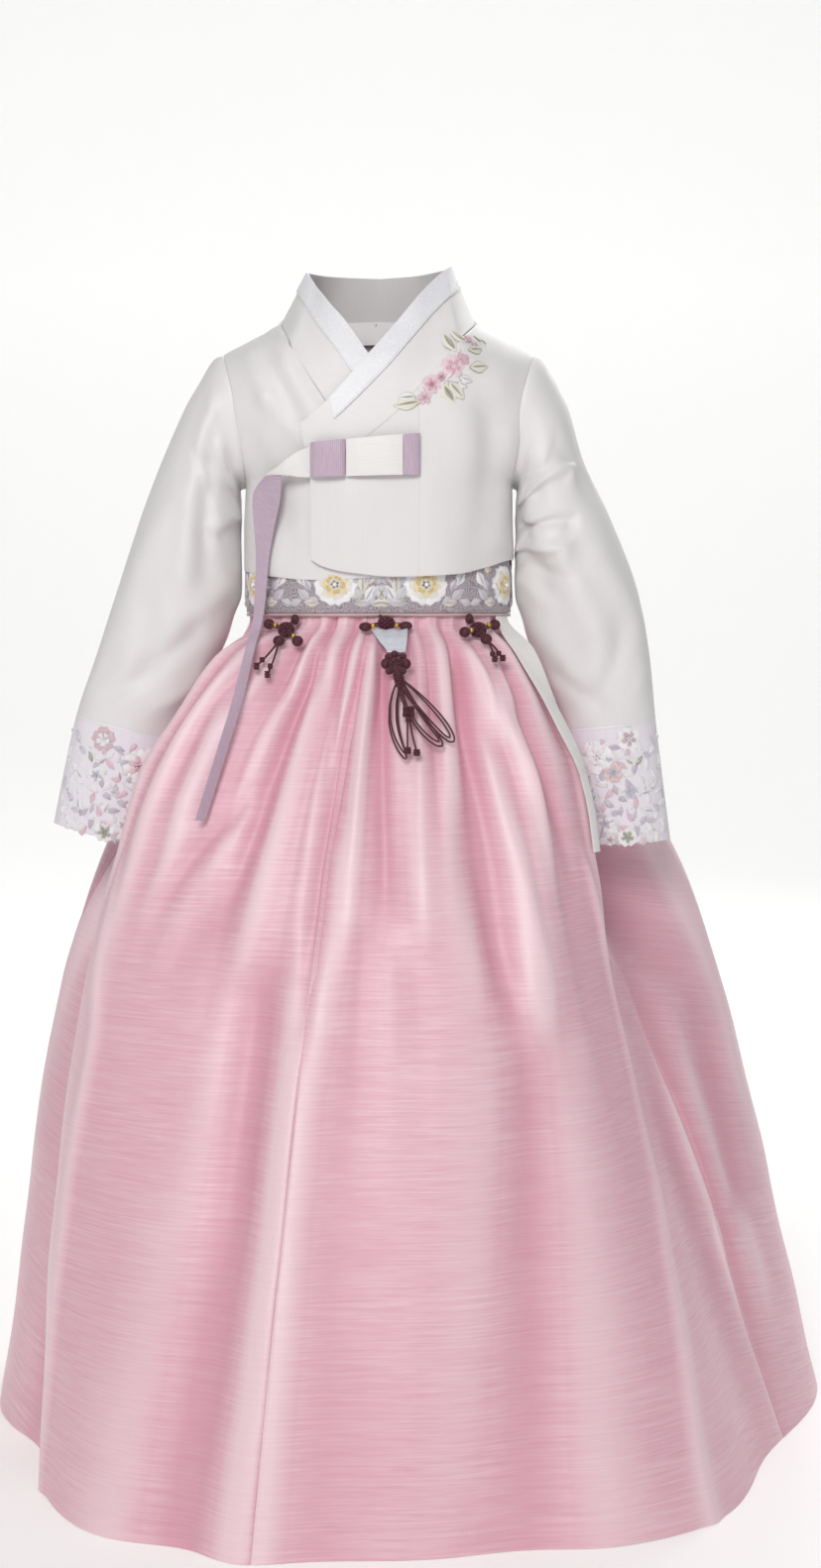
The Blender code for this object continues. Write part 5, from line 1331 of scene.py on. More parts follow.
class Needlework:
    """Gathers the places of embroidered shapes on one form, and sews them all at the end.

    The form gives a point from two places on it. The first runs towards the viewer's right and
    the second upwards, so their cross product points out of the cloth.
    """

    def __init__(self, form, stride=0.001):
        self.form, self.stride = form, stride
        self.marks = {}

    def frame_at(self, a, b):
        point = self.form(a, b)
        right = self.form(a + self.stride, b) - point
        up = self.form(a, b + self.stride) - point
        return point, right, up

    def walk(self, a, b, aside, above):
        """The place that lies so many metres aside and above on the form, in two strides."""
        for _ in range(2):
            _, right, up = self.frame_at(a, b)
            a += aside * 0.5 * self.stride / right.length
            b += above * 0.5 * self.stride / up.length
        return a, b

    def reach(self, a, b, degrees, distance, flat=1.0):
        """The place at a distance in one direction on the form."""
        way = math.radians(degrees)
        return self.walk(a, b, distance * math.cos(way), distance * math.sin(way) * flat)

    def add(self, kind, a, b, turn, length, width, colour, rise=0.0007, lift=0.0):
        """One shape with its middle at a place: turn is its way from base to tip, in degrees."""
        point, right, up = self.frame_at(a, b)
        right.normalize()
        out = right.cross(up).normalized()
        level = out.cross(right)
        way = math.radians(turn)
        forward = right * math.cos(way) + level * math.sin(way)
        matrix = Matrix((forward.cross(out), forward, out)).transposed()
        self.marks.setdefault(kind, []).append(
            (point + out * lift, matrix.to_euler("XYZ"), (width, length, rise), THREADS[colour]))

    def leaf(self, a, b, turn, length, width, colour, vein=None, lift=0.0002):
        """A leaf, and its pale or dark vein, a narrow shape down its middle."""
        self.add("leaf", a, b, turn, length, width, colour, 0.0008, lift)
        if vein:
            self.add("long_leaf", a, b, turn, length * 0.80, width * 0.20, vein, 0.0005,
                     lift + 0.0007)

    def bloom(self, a, b, radius, petals, outer, inner, heart, turn, lift=0.0003):
        """A flower of two rings of petals round a small heart."""
        for ring, colour in enumerate((outer, inner)):
            reach = radius * (1.0 - 0.40 * ring)
            for petal in range(petals):
                way = turn + 360 / petals * (petal + 0.5 * ring)
                uneven = 1 + 0.07 * math.sin(5 * petal + 40 * a + 3 * ring)
                self.add("petal", *self.reach(a, b, way, reach * 0.60), way,
                         reach * 0.86 * uneven, reach * 4.6 / petals * uneven, colour,
                         0.0009, lift + 0.0005 * ring)
        for seed in range(5 if heart else 0):
            size = radius * 0.15
            self.add("bead", *self.reach(a, b, 72 * seed + turn, radius * 0.13), 0,
                     size, size, heart, size, lift + 0.0012)

    def dots(self, a, b, turn, count, pitch, size, colour, lift=0.0004):
        """A row of small knots or seed beads that starts at a place."""
        for step in range(count):
            self.add("bead", *self.reach(a, b, turn, pitch * step), 0, size, size, colour, size,
                     lift)

    def sew(self, name, slot):
        """The pieces of needlework, one for each kind of shape."""
        tree = repeating_tree("Sewn Shapes", (
            ("Shape", "NodeSocketObject", None), ("Size", "NodeSocketFloat", 1.0)), sewn_shapes)
        thread, bead = finish("embroidery_thread"), finish("tinted_bead")
        for kind, marks in sorted(self.marks.items()):
            places, turns, sizes, tints = zip(*marks)
            mesh = bpy.data.meshes.new(name + "_" + kind)
            mesh.from_pydata([tuple(place) for place in places], [], [])
            for label, form, field, values in (
                    ("turn", "FLOAT_VECTOR", "vector", turns),
                    ("size", "FLOAT_VECTOR", "vector", sizes),
                    ("tint", "FLOAT_COLOR", "color", [(*tint, 1.0) for tint in tints])):
                layer = mesh.attributes.new(label, form, "POINT")
                layer.data.foreach_set(field, [part for value in values for part in value])
            shape = sewn_shape(kind)
            shape.hide_viewport = False
            worn(run_tree(added(name + "_" + kind, mesh), tree, {
                "Shape": shape, "Size": 1.0, "Finish": bead if kind == "bead" else thread}), slot)
            shape.hide_viewport = True


# ---------------------------------------------------------------- finishes
WAVE_UNIT = 0.314159       # a wave texture of scale 1 repeats over this length


def opaque(colour):
    return colour if isinstance(colour, bpy.types.NodeSocket) else (*colour, 1.0)


def darker(colour, share):
    return tuple(part * share for part in colour)


class Paint:
    """The tree of one finish, with the few kinds of node that the finishes are made of."""

    def __init__(self, tree):
        self.tree, self.shader = tree, tree.nodes["Principled BSDF"]

    def put(self, kind, output, inputs=None, **fields):
        return put(self.tree, kind, inputs, **fields).outputs[output]

    def link(self, key, socket):
        self.tree.links.new(socket, self.shader.inputs[key])

    def set(self, **values):
        """Sets the shader's own values, which are named with underlines for spaces."""
        for key, value in values.items():
            self.shader.inputs[key.replace("_", " ")].default_value = value

    def mixed(self, share, first, second, blend="MIX"):
        """The colour between two, each a colour or a socket, by a share or a socket."""
        return self.put("ShaderNodeMix", 2, {0: share, 6: opaque(first), 7: opaque(second)},
                        data_type="RGBA", blend_type=blend)

    def ranged(self, value, low, high, to_low=0.0, to_high=1.0):
        return self.put("ShaderNodeMapRange", "Result", {
            "Value": value, "From Min": low, "From Max": high,
            "To Min": to_low, "To Max": to_high})

    def maths(self, operation, first, second):
        return self.put("ShaderNodeMath", "Value", {0: first, 1: second}, operation=operation)

    def tint(self, name, output="Color"):
        """A value that the mesh itself carries."""
        return self.put("ShaderNodeAttribute", output, attribute_name=name)

    def flat(self):
        """The place on the flat cloth, in metres."""
        return self.put("ShaderNodeUVMap", "UV", uv_map="UVMap")

    def stretched(self, across=1, down=1, turn=0.0):
        """The place on the flat cloth, times so much across and down it."""
        return self.put("ShaderNodeMapping", "Vector", {
            "Vector": self.flat(), "Scale": (across, down, 1), "Rotation": (0, 0, turn)},
            vector_type="POINT")

    def noise(self, place, detail, scale=1.0, output="Fac"):
        return self.put("ShaderNodeTexNoise", output, {
            "Vector": place, "Scale": scale, "Detail": detail})

    def streaks(self, long, tall, detail, turn=0.0):
        """Noise drawn out into streaks of one length and height, in metres."""
        return self.noise(self.stretched(1 / long, 1 / tall, turn), detail)

    def bands(self, place, pitch, way, **more):
        """Soft bands across one way, at a pitch in metres."""
        return self.put("ShaderNodeTexWave", "Fac", {
            "Vector": place, "Scale": WAVE_UNIT / pitch, **more}, bands_direction=way)

    def weave(self, pitch):
        """A plain weave's small relief: crossing threads at one pitch."""
        place = self.flat()
        return self.maths("MAXIMUM", *[self.bands(place, pitch, way) for way in ("X", "Y")])

    def relief(self, height, distance, strength=1.0):
        self.link("Normal", self.put("ShaderNodeBump", "Normal", {
            "Height": height, "Distance": distance, "Strength": strength}))


def plain_silk(paint, colour, shade, roughness, pitch=0.00042, slub=(0.0008, 0.030), sheen=0.25):
    """Smooth woven silk: fine crossing threads, faint slubs and a soft sheen."""
    slubs = paint.streaks(*slub, 3.0)
    cloud = paint.noise(paint.stretched(14, 14), 3.0)
    shares = paint.maths("MULTIPLY", paint.ranged(slubs, 0.42, 0.80),
                         paint.ranged(cloud, 0.30, 0.75, 0.5, 1.0))
    paint.link("Base Color", paint.mixed(shares, colour, darker(colour, shade)))
    paint.link("Roughness", paint.ranged(slubs, 0.3, 0.8, roughness - 0.05, roughness + 0.08))
    paint.set(Sheen_Weight=sheen, Sheen_Roughness=0.4, Specular_IOR_Level=0.45)
    paint.relief(paint.maths("ADD", paint.weave(pitch), slubs), 0.00006, 0.35)


def pink_slub_silk(paint, colour, light, deep_colour):
    """The skirt's silk: pale and deep slubs along the weft, a fine weave, a satin sheen, and
    painted highlights on its crests and painted shade in its troughs.
    """
    long = paint.streaks(0.075, 0.0019, 3.0)
    short = paint.streaks(0.024, 0.0011, 2.0)
    deep = paint.streaks(0.055, 0.0021, 3.0, 0.004)
    cloud = paint.streaks(0.200, 0.070, 2.0)
    fold = paint.tint("fold", "Fac")
    pale = paint.maths("MULTIPLY", paint.ranged(long, 0.44, 0.64),
                       paint.ranged(cloud, 0.30, 0.70, 0.16, 0.40))
    ground = paint.mixed(paint.ranged(deep, 0.46, 0.66, 0.0, 0.26), colour, deep_colour)
    ground = paint.mixed(pale, ground, light)
    ground = paint.mixed(paint.ranged(short, 0.50, 0.68, 0.0, 0.22), ground, light)
    # Painted light and shade: crests of the folds are painted pale and troughs deep rose, by each
    # place's height over the cloth around it.
    ground = paint.mixed(paint.ranged(fold, 0.05, 0.9, 0.0, 0.70), ground, light)
    ground = paint.mixed(paint.ranged(fold, -0.10, -1.0, 0.0, 0.50), ground, deep_colour)
    paint.link("Base Color", ground)
    paint.link("Roughness", paint.ranged(long, 0.35, 0.75, 0.46, 0.34))
    paint.set(Sheen_Weight=0.30, Sheen_Roughness=0.35, Specular_IOR_Level=0.55,
              Sheen_Tint=opaque(light))
    threads = paint.maths("ADD", paint.maths("MULTIPLY", paint.weave(0.00045), 0.35),
                          paint.maths("ADD", long, short))
    paint.relief(threads, 0.00010, 0.5)


def ribbed_silk(paint, colour, shade):
    """Ribbon silk with ribs across it, uneven in depth and colour."""
    ribs = paint.bands(paint.flat(), 0.0016, "Y", **{
        "Distortion": 1.6, "Detail": 1.0, "Detail Scale": 0.6})
    uneven = paint.streaks(0.012, 0.0011, 3.0)
    shares = paint.maths("MULTIPLY", ribs, paint.ranged(uneven, 0.25, 0.75, 0.15, 1.0))
    paint.link("Base Color", paint.mixed(shares, colour, shade))
    paint.set(Roughness=0.48, Sheen_Weight=0.3, Specular_IOR_Level=0.45)
    paint.relief(paint.maths("ADD", ribs, uneven), 0.00012, 0.7)


def figured_silk(paint, colour, figure, cell, roughness=0.42):
    """Brocade: a woven ground with a paler figure of small curling petals."""
    place = paint.stretched(1 / cell, 1 / cell)
    wander = paint.noise(place, 1.0, 1.4, "Color")
    shift = paint.put("ShaderNodeVectorMath", "Vector", {0: wander, "Scale": 0.55},
                      operation="SCALE")
    bent = paint.put("ShaderNodeVectorMath", "Vector", {0: place, 1: shift}, operation="ADD")
    cells = paint.put("ShaderNodeTexVoronoi", "Distance", {"Vector": bent, "Scale": 1.0},
                      feature="DISTANCE_TO_EDGE")
    share = paint.ranged(paint.maths("PINGPONG", cells, 0.11), 0.035, 0.060)
    twill = paint.bands(paint.stretched(), 0.0007, "DIAGONAL")
    paint.link("Base Color", paint.mixed(paint.maths("MULTIPLY", share, 0.60), colour, figure))
    paint.link("Roughness", paint.ranged(share, 0.0, 1.0, roughness + 0.08, roughness - 0.12))
    paint.set(Sheen_Weight=0.2, Specular_IOR_Level=0.5)
    paint.relief(paint.maths("ADD", share, paint.maths("MULTIPLY", twill, 0.3)), 0.00018, 0.6)


def embroidery_thread(paint):
    """Satin-stitched thread: each shape's own tint, deeper at its base, in fine glossy strands."""
    tint, place = paint.tint("tint"), paint.flat()
    strands = paint.bands(place, 0.075, "X", Distortion=0.8)
    up = paint.put("ShaderNodeSeparateXYZ", "Y", {"Vector": place})
    base = paint.mixed(paint.ranged(up, 0.0, 0.62, 0.45, 0.0), tint, tint, "MULTIPLY")
    base = paint.mixed(paint.ranged(strands, 0.0, 0.5, 0.12, 0.0), base, (0.30, 0.26, 0.30))
    paint.link("Base Color", base)
    paint.set(Roughness=0.38, Specular_IOR_Level=0.55, Sheen_Weight=0.2)
    paint.relief(strands, 0.00016, 0.8)


def twisted_cord(paint, colour):
    """A silk cord: strands that wind round it, with painted highlights on them."""
    strands = paint.bands(paint.stretched(turn=math.radians(38)), 0.0011, "X")
    # Painted highlight: the strands are painted paler than the cord.
    painted_strand_highlight = tuple(min(part * 1.6 + 0.006, 1.0) for part in colour)
    paint.link("Base Color", paint.mixed(paint.ranged(strands, 0.35, 1.0, 0.0, 0.6), colour,
                                         painted_strand_highlight))
    paint.set(Roughness=0.42, Specular_IOR_Level=0.5, Sheen_Weight=0.15)
    paint.relief(strands, 0.00022, 0.8)


def polished(paint, colour, roughness, cloudy=1.0, metallic=0.0, coat=0.0, through=0.0):
    """A smooth hard finish, faintly uneven, for beads, pearls and the jade plate."""
    place = paint.put("ShaderNodeTexCoord", "Object")
    grain = paint.noise(place, 3.0, 260.0)
    paint.link("Base Color", paint.mixed(paint.ranged(grain, 0.35, 0.75), colour,
                                         darker(colour, cloudy)))
    paint.link("Roughness", paint.ranged(grain, 0.3, 0.7, roughness * 0.8, roughness * 1.3))
    paint.set(Metallic=metallic, Coat_Weight=coat, Subsurface_Weight=through,
              Subsurface_Scale=0.002)


def sewing_thread(paint, colour):
    paint.set(Base_Color=opaque(colour), Roughness=0.5, Sheen_Weight=0.2,
              Emission_Color=opaque(colour), Emission_Strength=0.0)


def tinted_bead(paint):
    """Small knots and seed beads, each in its own tint."""
    paint.link("Base Color", paint.tint("tint"))
    paint.set(Roughness=0.25, Specular_IOR_Level=0.6, Coat_Weight=0.3)


def studio_paper(paint, colour):
    """White paper that glows behind the garment, and less at its sides and round the hem."""
    place = put(paint.tree, "ShaderNodeSeparateXYZ", {
        "Vector": paint.put("ShaderNodeTexCoord", "Object")})
    aside = paint.maths("ABSOLUTE", place.outputs["X"], 0.0)
    glow = paint.maths("MULTIPLY", paint.ranged(aside, 1.3, 2.6, 1.0, 0.1),
                       paint.ranged(place.outputs["Y"], -0.6, 2.5, 0.14, 0.47))
    paint.link("Emission Strength", glow)
    paint.set(Base_Color=opaque(colour), Emission_Color=opaque(colour), Roughness=0.7)


def finish(name):
    """One of the garment's finishes, made when it is first asked for."""
    known = bpy.data.materials.get(name + "_finish")
    if known:
        return known
    own = colours()
    makers = {
        "ivory_silk": (plain_silk, own.jacket, 0.955, 0.44),
        "white_silk": (plain_silk, own.ribbon, 0.93, 0.42),
        "ivory_ribbon": (plain_silk, own.ribbon, 0.90, 0.44),
        "cuff_satin": (plain_silk, own.cuff, 0.90, 0.34, 0.0005, (0.0012, 0.016), 0.2),
        "beige_piping": (plain_silk, own.piping, 0.85, 0.46, 0.0005, (0.001, 0.01)),
        "mauve_silk": (ribbed_silk, own.mauve, own.mauve_deep),
        "pink_slub_silk": (pink_slub_silk, own.skirt, own.skirt_light, own.skirt_deep),
        "strip_brocade": (figured_silk, own.strip, darker(own.strip, 0.90), 0.0085),
        "silver_brocade": (figured_silk, own.belt, own.belt_figure, 0.0075),
        "plum_cord": (twisted_cord, own.cord),
        "pale_jade": (polished, own.jade, 0.22, 0.86, 0.0, 0.5, 0.25),
        "gold_bead": (polished, own.gold, 0.28, 1.0, 1.0),
        "ivory_thread": (sewing_thread, darker(own.jacket, 0.86)),
        "pink_thread": (sewing_thread, own.skirt_light),
        "beige_thread": (sewing_thread, darker(own.piping, 0.80)),
        "embroidery_thread": (embroidery_thread,),
        "tinted_bead": (tinted_bead,),
        "studio_floor": (studio_paper, own.floor),
    }
    made = bpy.data.materials.new(name + "_finish")
    made.use_nodes = True
    maker, *ways = makers[name]
    maker(Paint(made.node_tree), *ways)
    return made


# ---------------------------------------------------------------- the jacket
BODY_INSIDE = (0, 0, -0.1)
WELD = 0.00002             # points of two grids that lie this close are one


def welded(name, grids, cuts, finish_used, wall, inside):
    """A shell from several grids of points that share an edge, welded before it gets its wall."""
    pieces = [shell(name + "_part", grid, finish_used, 0.0, inside=inside, cut=cut)
              for grid, cut in zip(grids, cuts)]
    made = merged(name, pieces)
    sheet = bmesh.new()
    sheet.from_mesh(made.data)
    bmesh.ops.remove_doubles(sheet, verts=sheet.verts, dist=WELD)
    bmesh.ops.recalc_face_normals(sheet, faces=sheet.faces)
    sheet.normal_update()
    middle = Vector(inside)
    if sum(face.normal.dot(face.calc_center_median() - middle) * face.calc_area()
           for face in sheet.faces) < 0:
        bmesh.ops.reverse_faces(sheet, faces=sheet.faces)
    sheet.to_mesh(made.data)
    sheet.free()
    return walled(made, wall)


def cut_size(made):
    """The flat cut of a piece from its UV map: its width, its length and its area."""
    mesh = made.data
    places = np.zeros(2 * len(mesh.loops), dtype=np.float32)
    mesh.uv_layers["UVMap"].data.foreach_get("uv", places)
    places = places.reshape(-1, 2)
    area = 0.0
    for face in mesh.polygons:
        corners = places[face.loop_start:face.loop_start + face.loop_total]
        after = np.roll(corners, -1, axis=0)
        area += abs(np.sum(corners[:, 0] * after[:, 1] - after[:, 0] * corners[:, 1])) / 2
    width, length = places.max(axis=0) - places.min(axis=0)
    return float(width), float(length), float(area) / 2


def declared(made, held, rests_on):
    """The piece, given back unchanged: its cut is measured from its UV map and what it rests on is
    read, but neither is kept; held is not used.
    """
    width, length, area = cut_size(made)
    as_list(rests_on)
    return made


def cloth(name, slot, rows, wall, held, rests_on, look=None, **ways):
    """A piece of cloth through rows of points, with its wall and its finish; its hold is not used.
    """
    made = shell(name, rows, finish(look or slot), wall, **ways)
    return declared(worn(made, slot, name), held, rests_on)


NECK_HEIGHT = 0.006        # the collar's sewn edge at the neck point
COLLAR_FILLET = 0.008      # how far along the shoulder the cloth stands up to the collar


def sewn_line(collar, face):
    """Where the collar's sewn edge starts across the shoulder, and its depth at a column."""
    points = [collar_point(collar, 1, (3 if face < 0 else 2) + part, 0) for part in steps(12)]
    across, depth = zip(*sorted((point.x, point.y) for point in points))
    return across[0], lambda column: np.interp(column, across, depth)


def body_rows(columns, hem, top, side, face, rise, drops):
    """A front's or a back's grid: one row of points for each drop below its top edge."""
    sewn_from, sewn_depth = sewn_line(COLLAR_OUTER if side > 0 else COLLAR_INNER, face)
    rows = []
    for drop in drops:
        row = []
        for column in columns:
            crest = shoulder_top(column)
            high = crest if column >= NECK_POINT else min(top(column), crest)
            z = high + (hem(column) - high) * drop
            x = body_x(column, z)
            point = jacket_skin(side * x, z, face, rise(x, z))
            if drop == 0 and column >= NECK_POINT:
                near = 1 - ease(0.0, COLLAR_FILLET, column - NECK_POINT)
                point = Vector((side * (x + (column - x) * near), 0.0,
                                z + (NECK_HEIGHT - z) * near))
            elif drop == 0 and column > sewn_from:
                point = Vector((side * column, sewn_depth(column), top(column)))
            if column == SHOULDER_TIP and z <= ARMPIT + 0.001:
                point.y = face * SEAM_GAP / 2
            row.append(point)
        rows.append(row)
    return rows


def between(first, last, count):
    return [first + (last - first) * part for part in steps(count)]


def body_half(name, side, front_columns, front_hem, front_top, rise):
    """Half of the body, cut with its front and back in one over the shoulder."""
    # Rows as shares of the way down, closer together at the shoulder and at the hem.
    drops = [0, 0.003, 0.008] + [0.016 + 0.974 * part ** 1.25 for part in steps(52)] + [0.995, 1.0]
    side_part = side_columns(16)
    close = [NECK_POINT - 0.0005, NECK_POINT - 0.0014]
    front_columns = close + front_columns
    back_columns = side_part + close + between(NECK_POINT, SEAM_GAP / 2, 26)[1:]
    grids, cuts = [], []
    for face, columns, hem, top, out in (
            (-1, side_part + front_columns, front_hem, front_top, rise),
            (1, back_columns, lambda x: BACK_HEM.at(x).z, lambda x: BACK_NECK.at(x).z,
             level_rise)):
        grid = as_grid(body_rows(columns, hem, top, side, face, out, drops))
        cut = cloth_lengths(grid, False)
        cut[..., 1] *= -face
        cut[..., 0] -= cut[:, :1, 0]
        turned = tucked(grid, False, BODY_INSIDE, ("bottom", "right"))
        seam = tucked(turned, False, BODY_INSIDE, ("left",)) - turned
        fade = np.array([ease(0.01, 0.06, drop) for drop in drops])[:, None, None]
        turned = turned + seam * fade
        if face > 0 and side > 0:
            turned, cut = with_allowance(grid, turned, cut, "right", False, BODY_INSIDE)
        grids.append(turned)
        cuts.append(cut)
    made = welded(name, grids, cuts, finish("ivory_silk"), settings().cloth_wall, BODY_INSIDE)
    return declared(worn(made, "ivory_silk", name), "hung", ["wearer"])


def build_jacket():
    outer_top, inner_top = edge_height(COLLAR_OUTER), edge_height(COLLAR_INNER)
    body_half("jacket_body_left", 1, between(NECK_POINT, OUTER_SEAM + SEAM_GAP / 2, 16)[1:],
              lambda x: OUTER_HEM.at(x).z, outer_top, outer_rise)
    body_half("jacket_body_right", -1, between(NECK_POINT, -(INNER_SEAM - SEAM_GAP / 2), 26)[1:],
              lambda x: INNER_HEM.at(-x).z, inner_top, level_rise)
    panels = (
        ("overlap_outer", OUTER_SEAM - SEAM_GAP / 2, OUTER_EDGE, outer_top, OUTER_HEM, outer_rise),
        ("overlap_inner", INNER_SEAM + SEAM_GAP / 2, INNER_EDGE, lambda x: inner_top(-x) - SEAM_GAP,
         INNER_HEM, level_rise))
    for name, first, last, top, hem, rise in panels:
        rows = []
        for drop in spread(46, 0.012):
            row = []
            for part in spread(36, 0.020):
                x = first + (last - first) * part
                z = top(x) + (hem.at(x).z - top(x)) * drop
                row.append(jacket_skin(x, z, -1, rise(x, z)))
            rows.append(row)
        cloth(name, "ivory_silk", rows, settings().cloth_wall, "hung",
              ["jacket_body_left" if name == "overlap_outer" else "jacket_body_right"],
              inside=BODY_INSIDE, edges=("left", "right", "bottom"), allowance="left")


def build_collar():
    """The collar band, and the white strip basted over its neck side."""
    inside, grain = (0, 0, -0.03), 0.1
    band = collar_grid([0.016 + 0.984 * part for part in spread(18, 0.04)],
                       COLLAR_INNER.keys[-1], COLLAR_OUTER.keys[-1], grain)
    cloth("collar_band", "ivory_silk", band, settings().cloth_wall, "hung",
          ["jacket_body_left", "jacket_body_right"], inside=inside,
          edges=("top", "left", "right"), allowance="top", reach=0.018, sink=0.0048)
    strip = collar_grid([STRIP_EDGE + (1 - STRIP_EDGE) * part for part in spread(10, 0.05)],
                        STRIP_INNER_END, STRIP_OUTER_END, grain)
    cloth("collar_strip", "white_silk", raised(strip, 2 * SEAM_GAP + STRIP_WALL), STRIP_WALL,
          "laid", ["collar_band"], "strip_brocade", inside=inside,
          edges=("top", "left", "right"))


def sleeve_table(side):
    """A sleeve's sections and its creases, large ones and fine ones."""
    if side > 0:
        return SLEEVE_LEFT, SLEEVE_LEFT_CREASES + LEFT_FINE_CREASES
    return SLEEVE_RIGHT, SLEEVE_RIGHT_CREASES + RIGHT_FINE_CREASES


def build_sleeves():
    for name, side in (("left", 1), ("right", -1)):
        table, creases = sleeve_table(side)
        rows = [sleeve_ring(table, creases, side, CUFF_START * part, 96)
                for part in spread(104, 0.006)]
        cloth("sleeve_" + name, "ivory_silk", rows, settings().cloth_wall, "hung",
              ["jacket_body_" + name], closed=True, inside=(side * 0.17, -0.01, -0.17),
              edges=("top", "bottom"), allowance="top")
        rows = [sleeve_ring(table, (), side, cuff_step(part), 96) for part in spread(26, 0.02)]
        cloth("cuff_" + name, "cuff_satin", rows, settings().cloth_wall, "hung",
              ["sleeve_" + name], closed=True, inside=(side * 0.20, -0.02, -0.36),
              edges=("top", "bottom"), allowance="top")


# ---------------------------------------------------------------- the jacket's ribbon tie
def flowing(pairs, count, across, bow=0.0):
    """Rows along a ribbon through pairs of edge points, with a slight crown across it."""
    keys = lengths_along([(high + low) / 2 for high, low in pairs])
    rows = []
    for part in spread(count, 0.02):
        high, low = (point_along(keys, edge, keys[-1] * part) for edge in zip(*pairs))
        row = []
        for share in spread(across, 0.05):
            point = high.lerp(low, share)
            point.y -= bow * math.sin(math.pi * share)
            row.append(point)
        rows.append(row)
    return rows


def ribbon_piece(name, pairs, slot, count, bow=0.0, wall=None, inside=BODY_INSIDE, edges=(),
                 on=("overlap_outer",)):
    cloth(name, slot, flowing(pairs, count, 8, bow), wall or settings().ribbon_wall, "folded",
          list(on), inside=inside, edges=edges)


def build_bow():
    """The knot, its one loop in two colours, the folded arm and the long hanging end."""
    gap = SEAM_GAP
    knot = [(BOW_LEFT + 0.0005, 0.0040), (BOW_LEFT + 0.004, 0.0075), (KNOT_RIGHT - 0.004, 0.0075),
            (KNOT_RIGHT - 0.0005, 0.0040)]
    ribbon_piece("bow_knot", bow_strip(knot), "mauve_silk", 20, 0.0004, 0.0030,
                 edges=("left", "right"))
    front = [(KNOT_RIGHT, BOW_FRONT - 0.0015), (KNOT_RIGHT + 0.012, BOW_FRONT + 0.0005),
             (LOOP_JOIN - 0.012, BOW_FRONT + 0.0010), (LOOP_JOIN - gap, BOW_FRONT)]
    ribbon_piece("bow_loop", bow_strip(front), "white_silk", 28, 0.0005, on=("bow_knot",),
                 edges=("bottom",))
    turn = [(LOOP_JOIN, BOW_FRONT), (LOOP_RIGHT - 0.004, BOW_FRONT - 0.0005),
            (LOOP_RIGHT, (BOW_FRONT + BOW_BACK) / 2), (LOOP_RIGHT - 0.004, BOW_BACK),
            (LOOP_JOIN - 0.010, BOW_BACK), (KNOT_RIGHT + 0.006, BOW_BACK)]
    ribbon_piece("bow_loop_end", bow_strip(turn), "mauve_silk", 48,
                 inside=bow_point(0.02, True, 0.0045),
                 on=("bow_loop",))
    edges = []
    for x, top, bottom, out in BOW_ARM:
        high, low = on_body(x, top, -1, OVERLAP_RISE), on_body(x, bottom, -1, OVERLAP_RISE)
        edges.append((high + Vector((0, -out, 0)), low + Vector((0, -out, 0))))
    ribbon_piece("bow_arm", edges, "white_silk", 24, 0.0006, on=("bow_knot",))


def build_tail():
    """The long end hangs past the belt and turns edge on over the skirt."""
    edges = []
    for part in steps(26):
        z = TAIL.keys[-1] + (TAIL.keys[0] - TAIL.keys[-1]) * part ** 1.15
        size = TAIL.at(z)
        pair = []
        for x, back in ((size.left, 0.0), (size.right, size.turn)):
            chest = on_body(x, max(z, -0.20), -1, OVERLAP_RISE)
            y = min(chest.y, place(x, min(z, FLARE_TOP), 0.0).y) - size.out
            pair.append(Vector((x, y - (size.turn - back) * 0.6, z)))
        edges.append(tuple(pair))
    ribbon_piece("bow_tail", edges, "mauve_silk", 110, 0.0003, inside=(0, 0.1, -0.25),
                 on=("bow_arm",))


# ---------------------------------------------------------------- the skirt and its belt
SKIRT_COLUMNS = 132
SKIRT_ROWS = 104
SEAM_SET_BACK = 0.00012    # how far each side of a panel stops short of its seam
SIDE_FROM = 58             # degrees round from the front at which the weft starts to slant
SIDE_SPAN = 60
TOP_SHARE = 0.66           # width of a panel's cut at the waist, as a share of its hem
SIDE_SHEAR = 0.16          # slant of the weft on the sides, where the panels flare


def build_skirt():
    per_panel = 360 / len(PANELS)
    asides = [per_panel * part for part in spread(SKIRT_COLUMNS, 0.006)]
    tall = SKIRT_TOP - FLOOR
    heights = [SKIRT_TOP - tall * (0.55 * part ** 1.9 + 0.45 * part)
               for part in spread(SKIRT_ROWS, 0.002)]
    for panel, name in enumerate(PANELS):
        grid = as_grid([skirt_skin(panel, aside, z) for aside in asides] for z in heights)
        for end, beside in ((0, 1), (-1, -2)):
            ahead = grid[:, beside] - grid[:, end]
            grid[:, end] += ahead / np.linalg.norm(ahead, axis=1, keepdims=True) * SEAM_SET_BACK
        lengths = cloth_lengths(grid, False)
        hem = lengths[-1, -1, 0] - lengths[-1, 0, 0]
        depth = np.array([(SKIRT_TOP - z) / tall for z in heights])[:, None]
        share = np.array([aside / per_panel - 0.5 for aside in asides])[None, :]
        across = share * hem * (TOP_SHARE + (1 - TOP_SHARE) * depth)
        down = np.repeat(lengths[..., 1].mean(axis=1, keepdims=True), len(asides), axis=1)
        angles = np.array([[SEAM_LINE.at(z).angle + panel * per_panel + aside for aside in asides]
                           for z in heights])
        beyond = np.clip(180 - np.abs(angles % 360 - 180) - SIDE_FROM, 0, SIDE_SPAN) / SIDE_SPAN
        slant = beyond * SIDE_SHEAR * np.linalg.norm(grid[..., :2], axis=2)
        slant *= np.sign(180 - angles % 360)
        cut = np.stack([across, down + slant], axis=2)
        # Each panel carries the heights of its folds, for its painted highlights on crests and
        # painted shade in troughs.
        cloth(name, "pink_slub_silk", grid, settings().skirt_wall, "gathered", ["chest_band"],
              inside=(0, 0, -0.5), edges=("left", "right", "bottom"), cut=cut,
              allowance="right", folds=fold_highlight_and_shade_mask(grid))


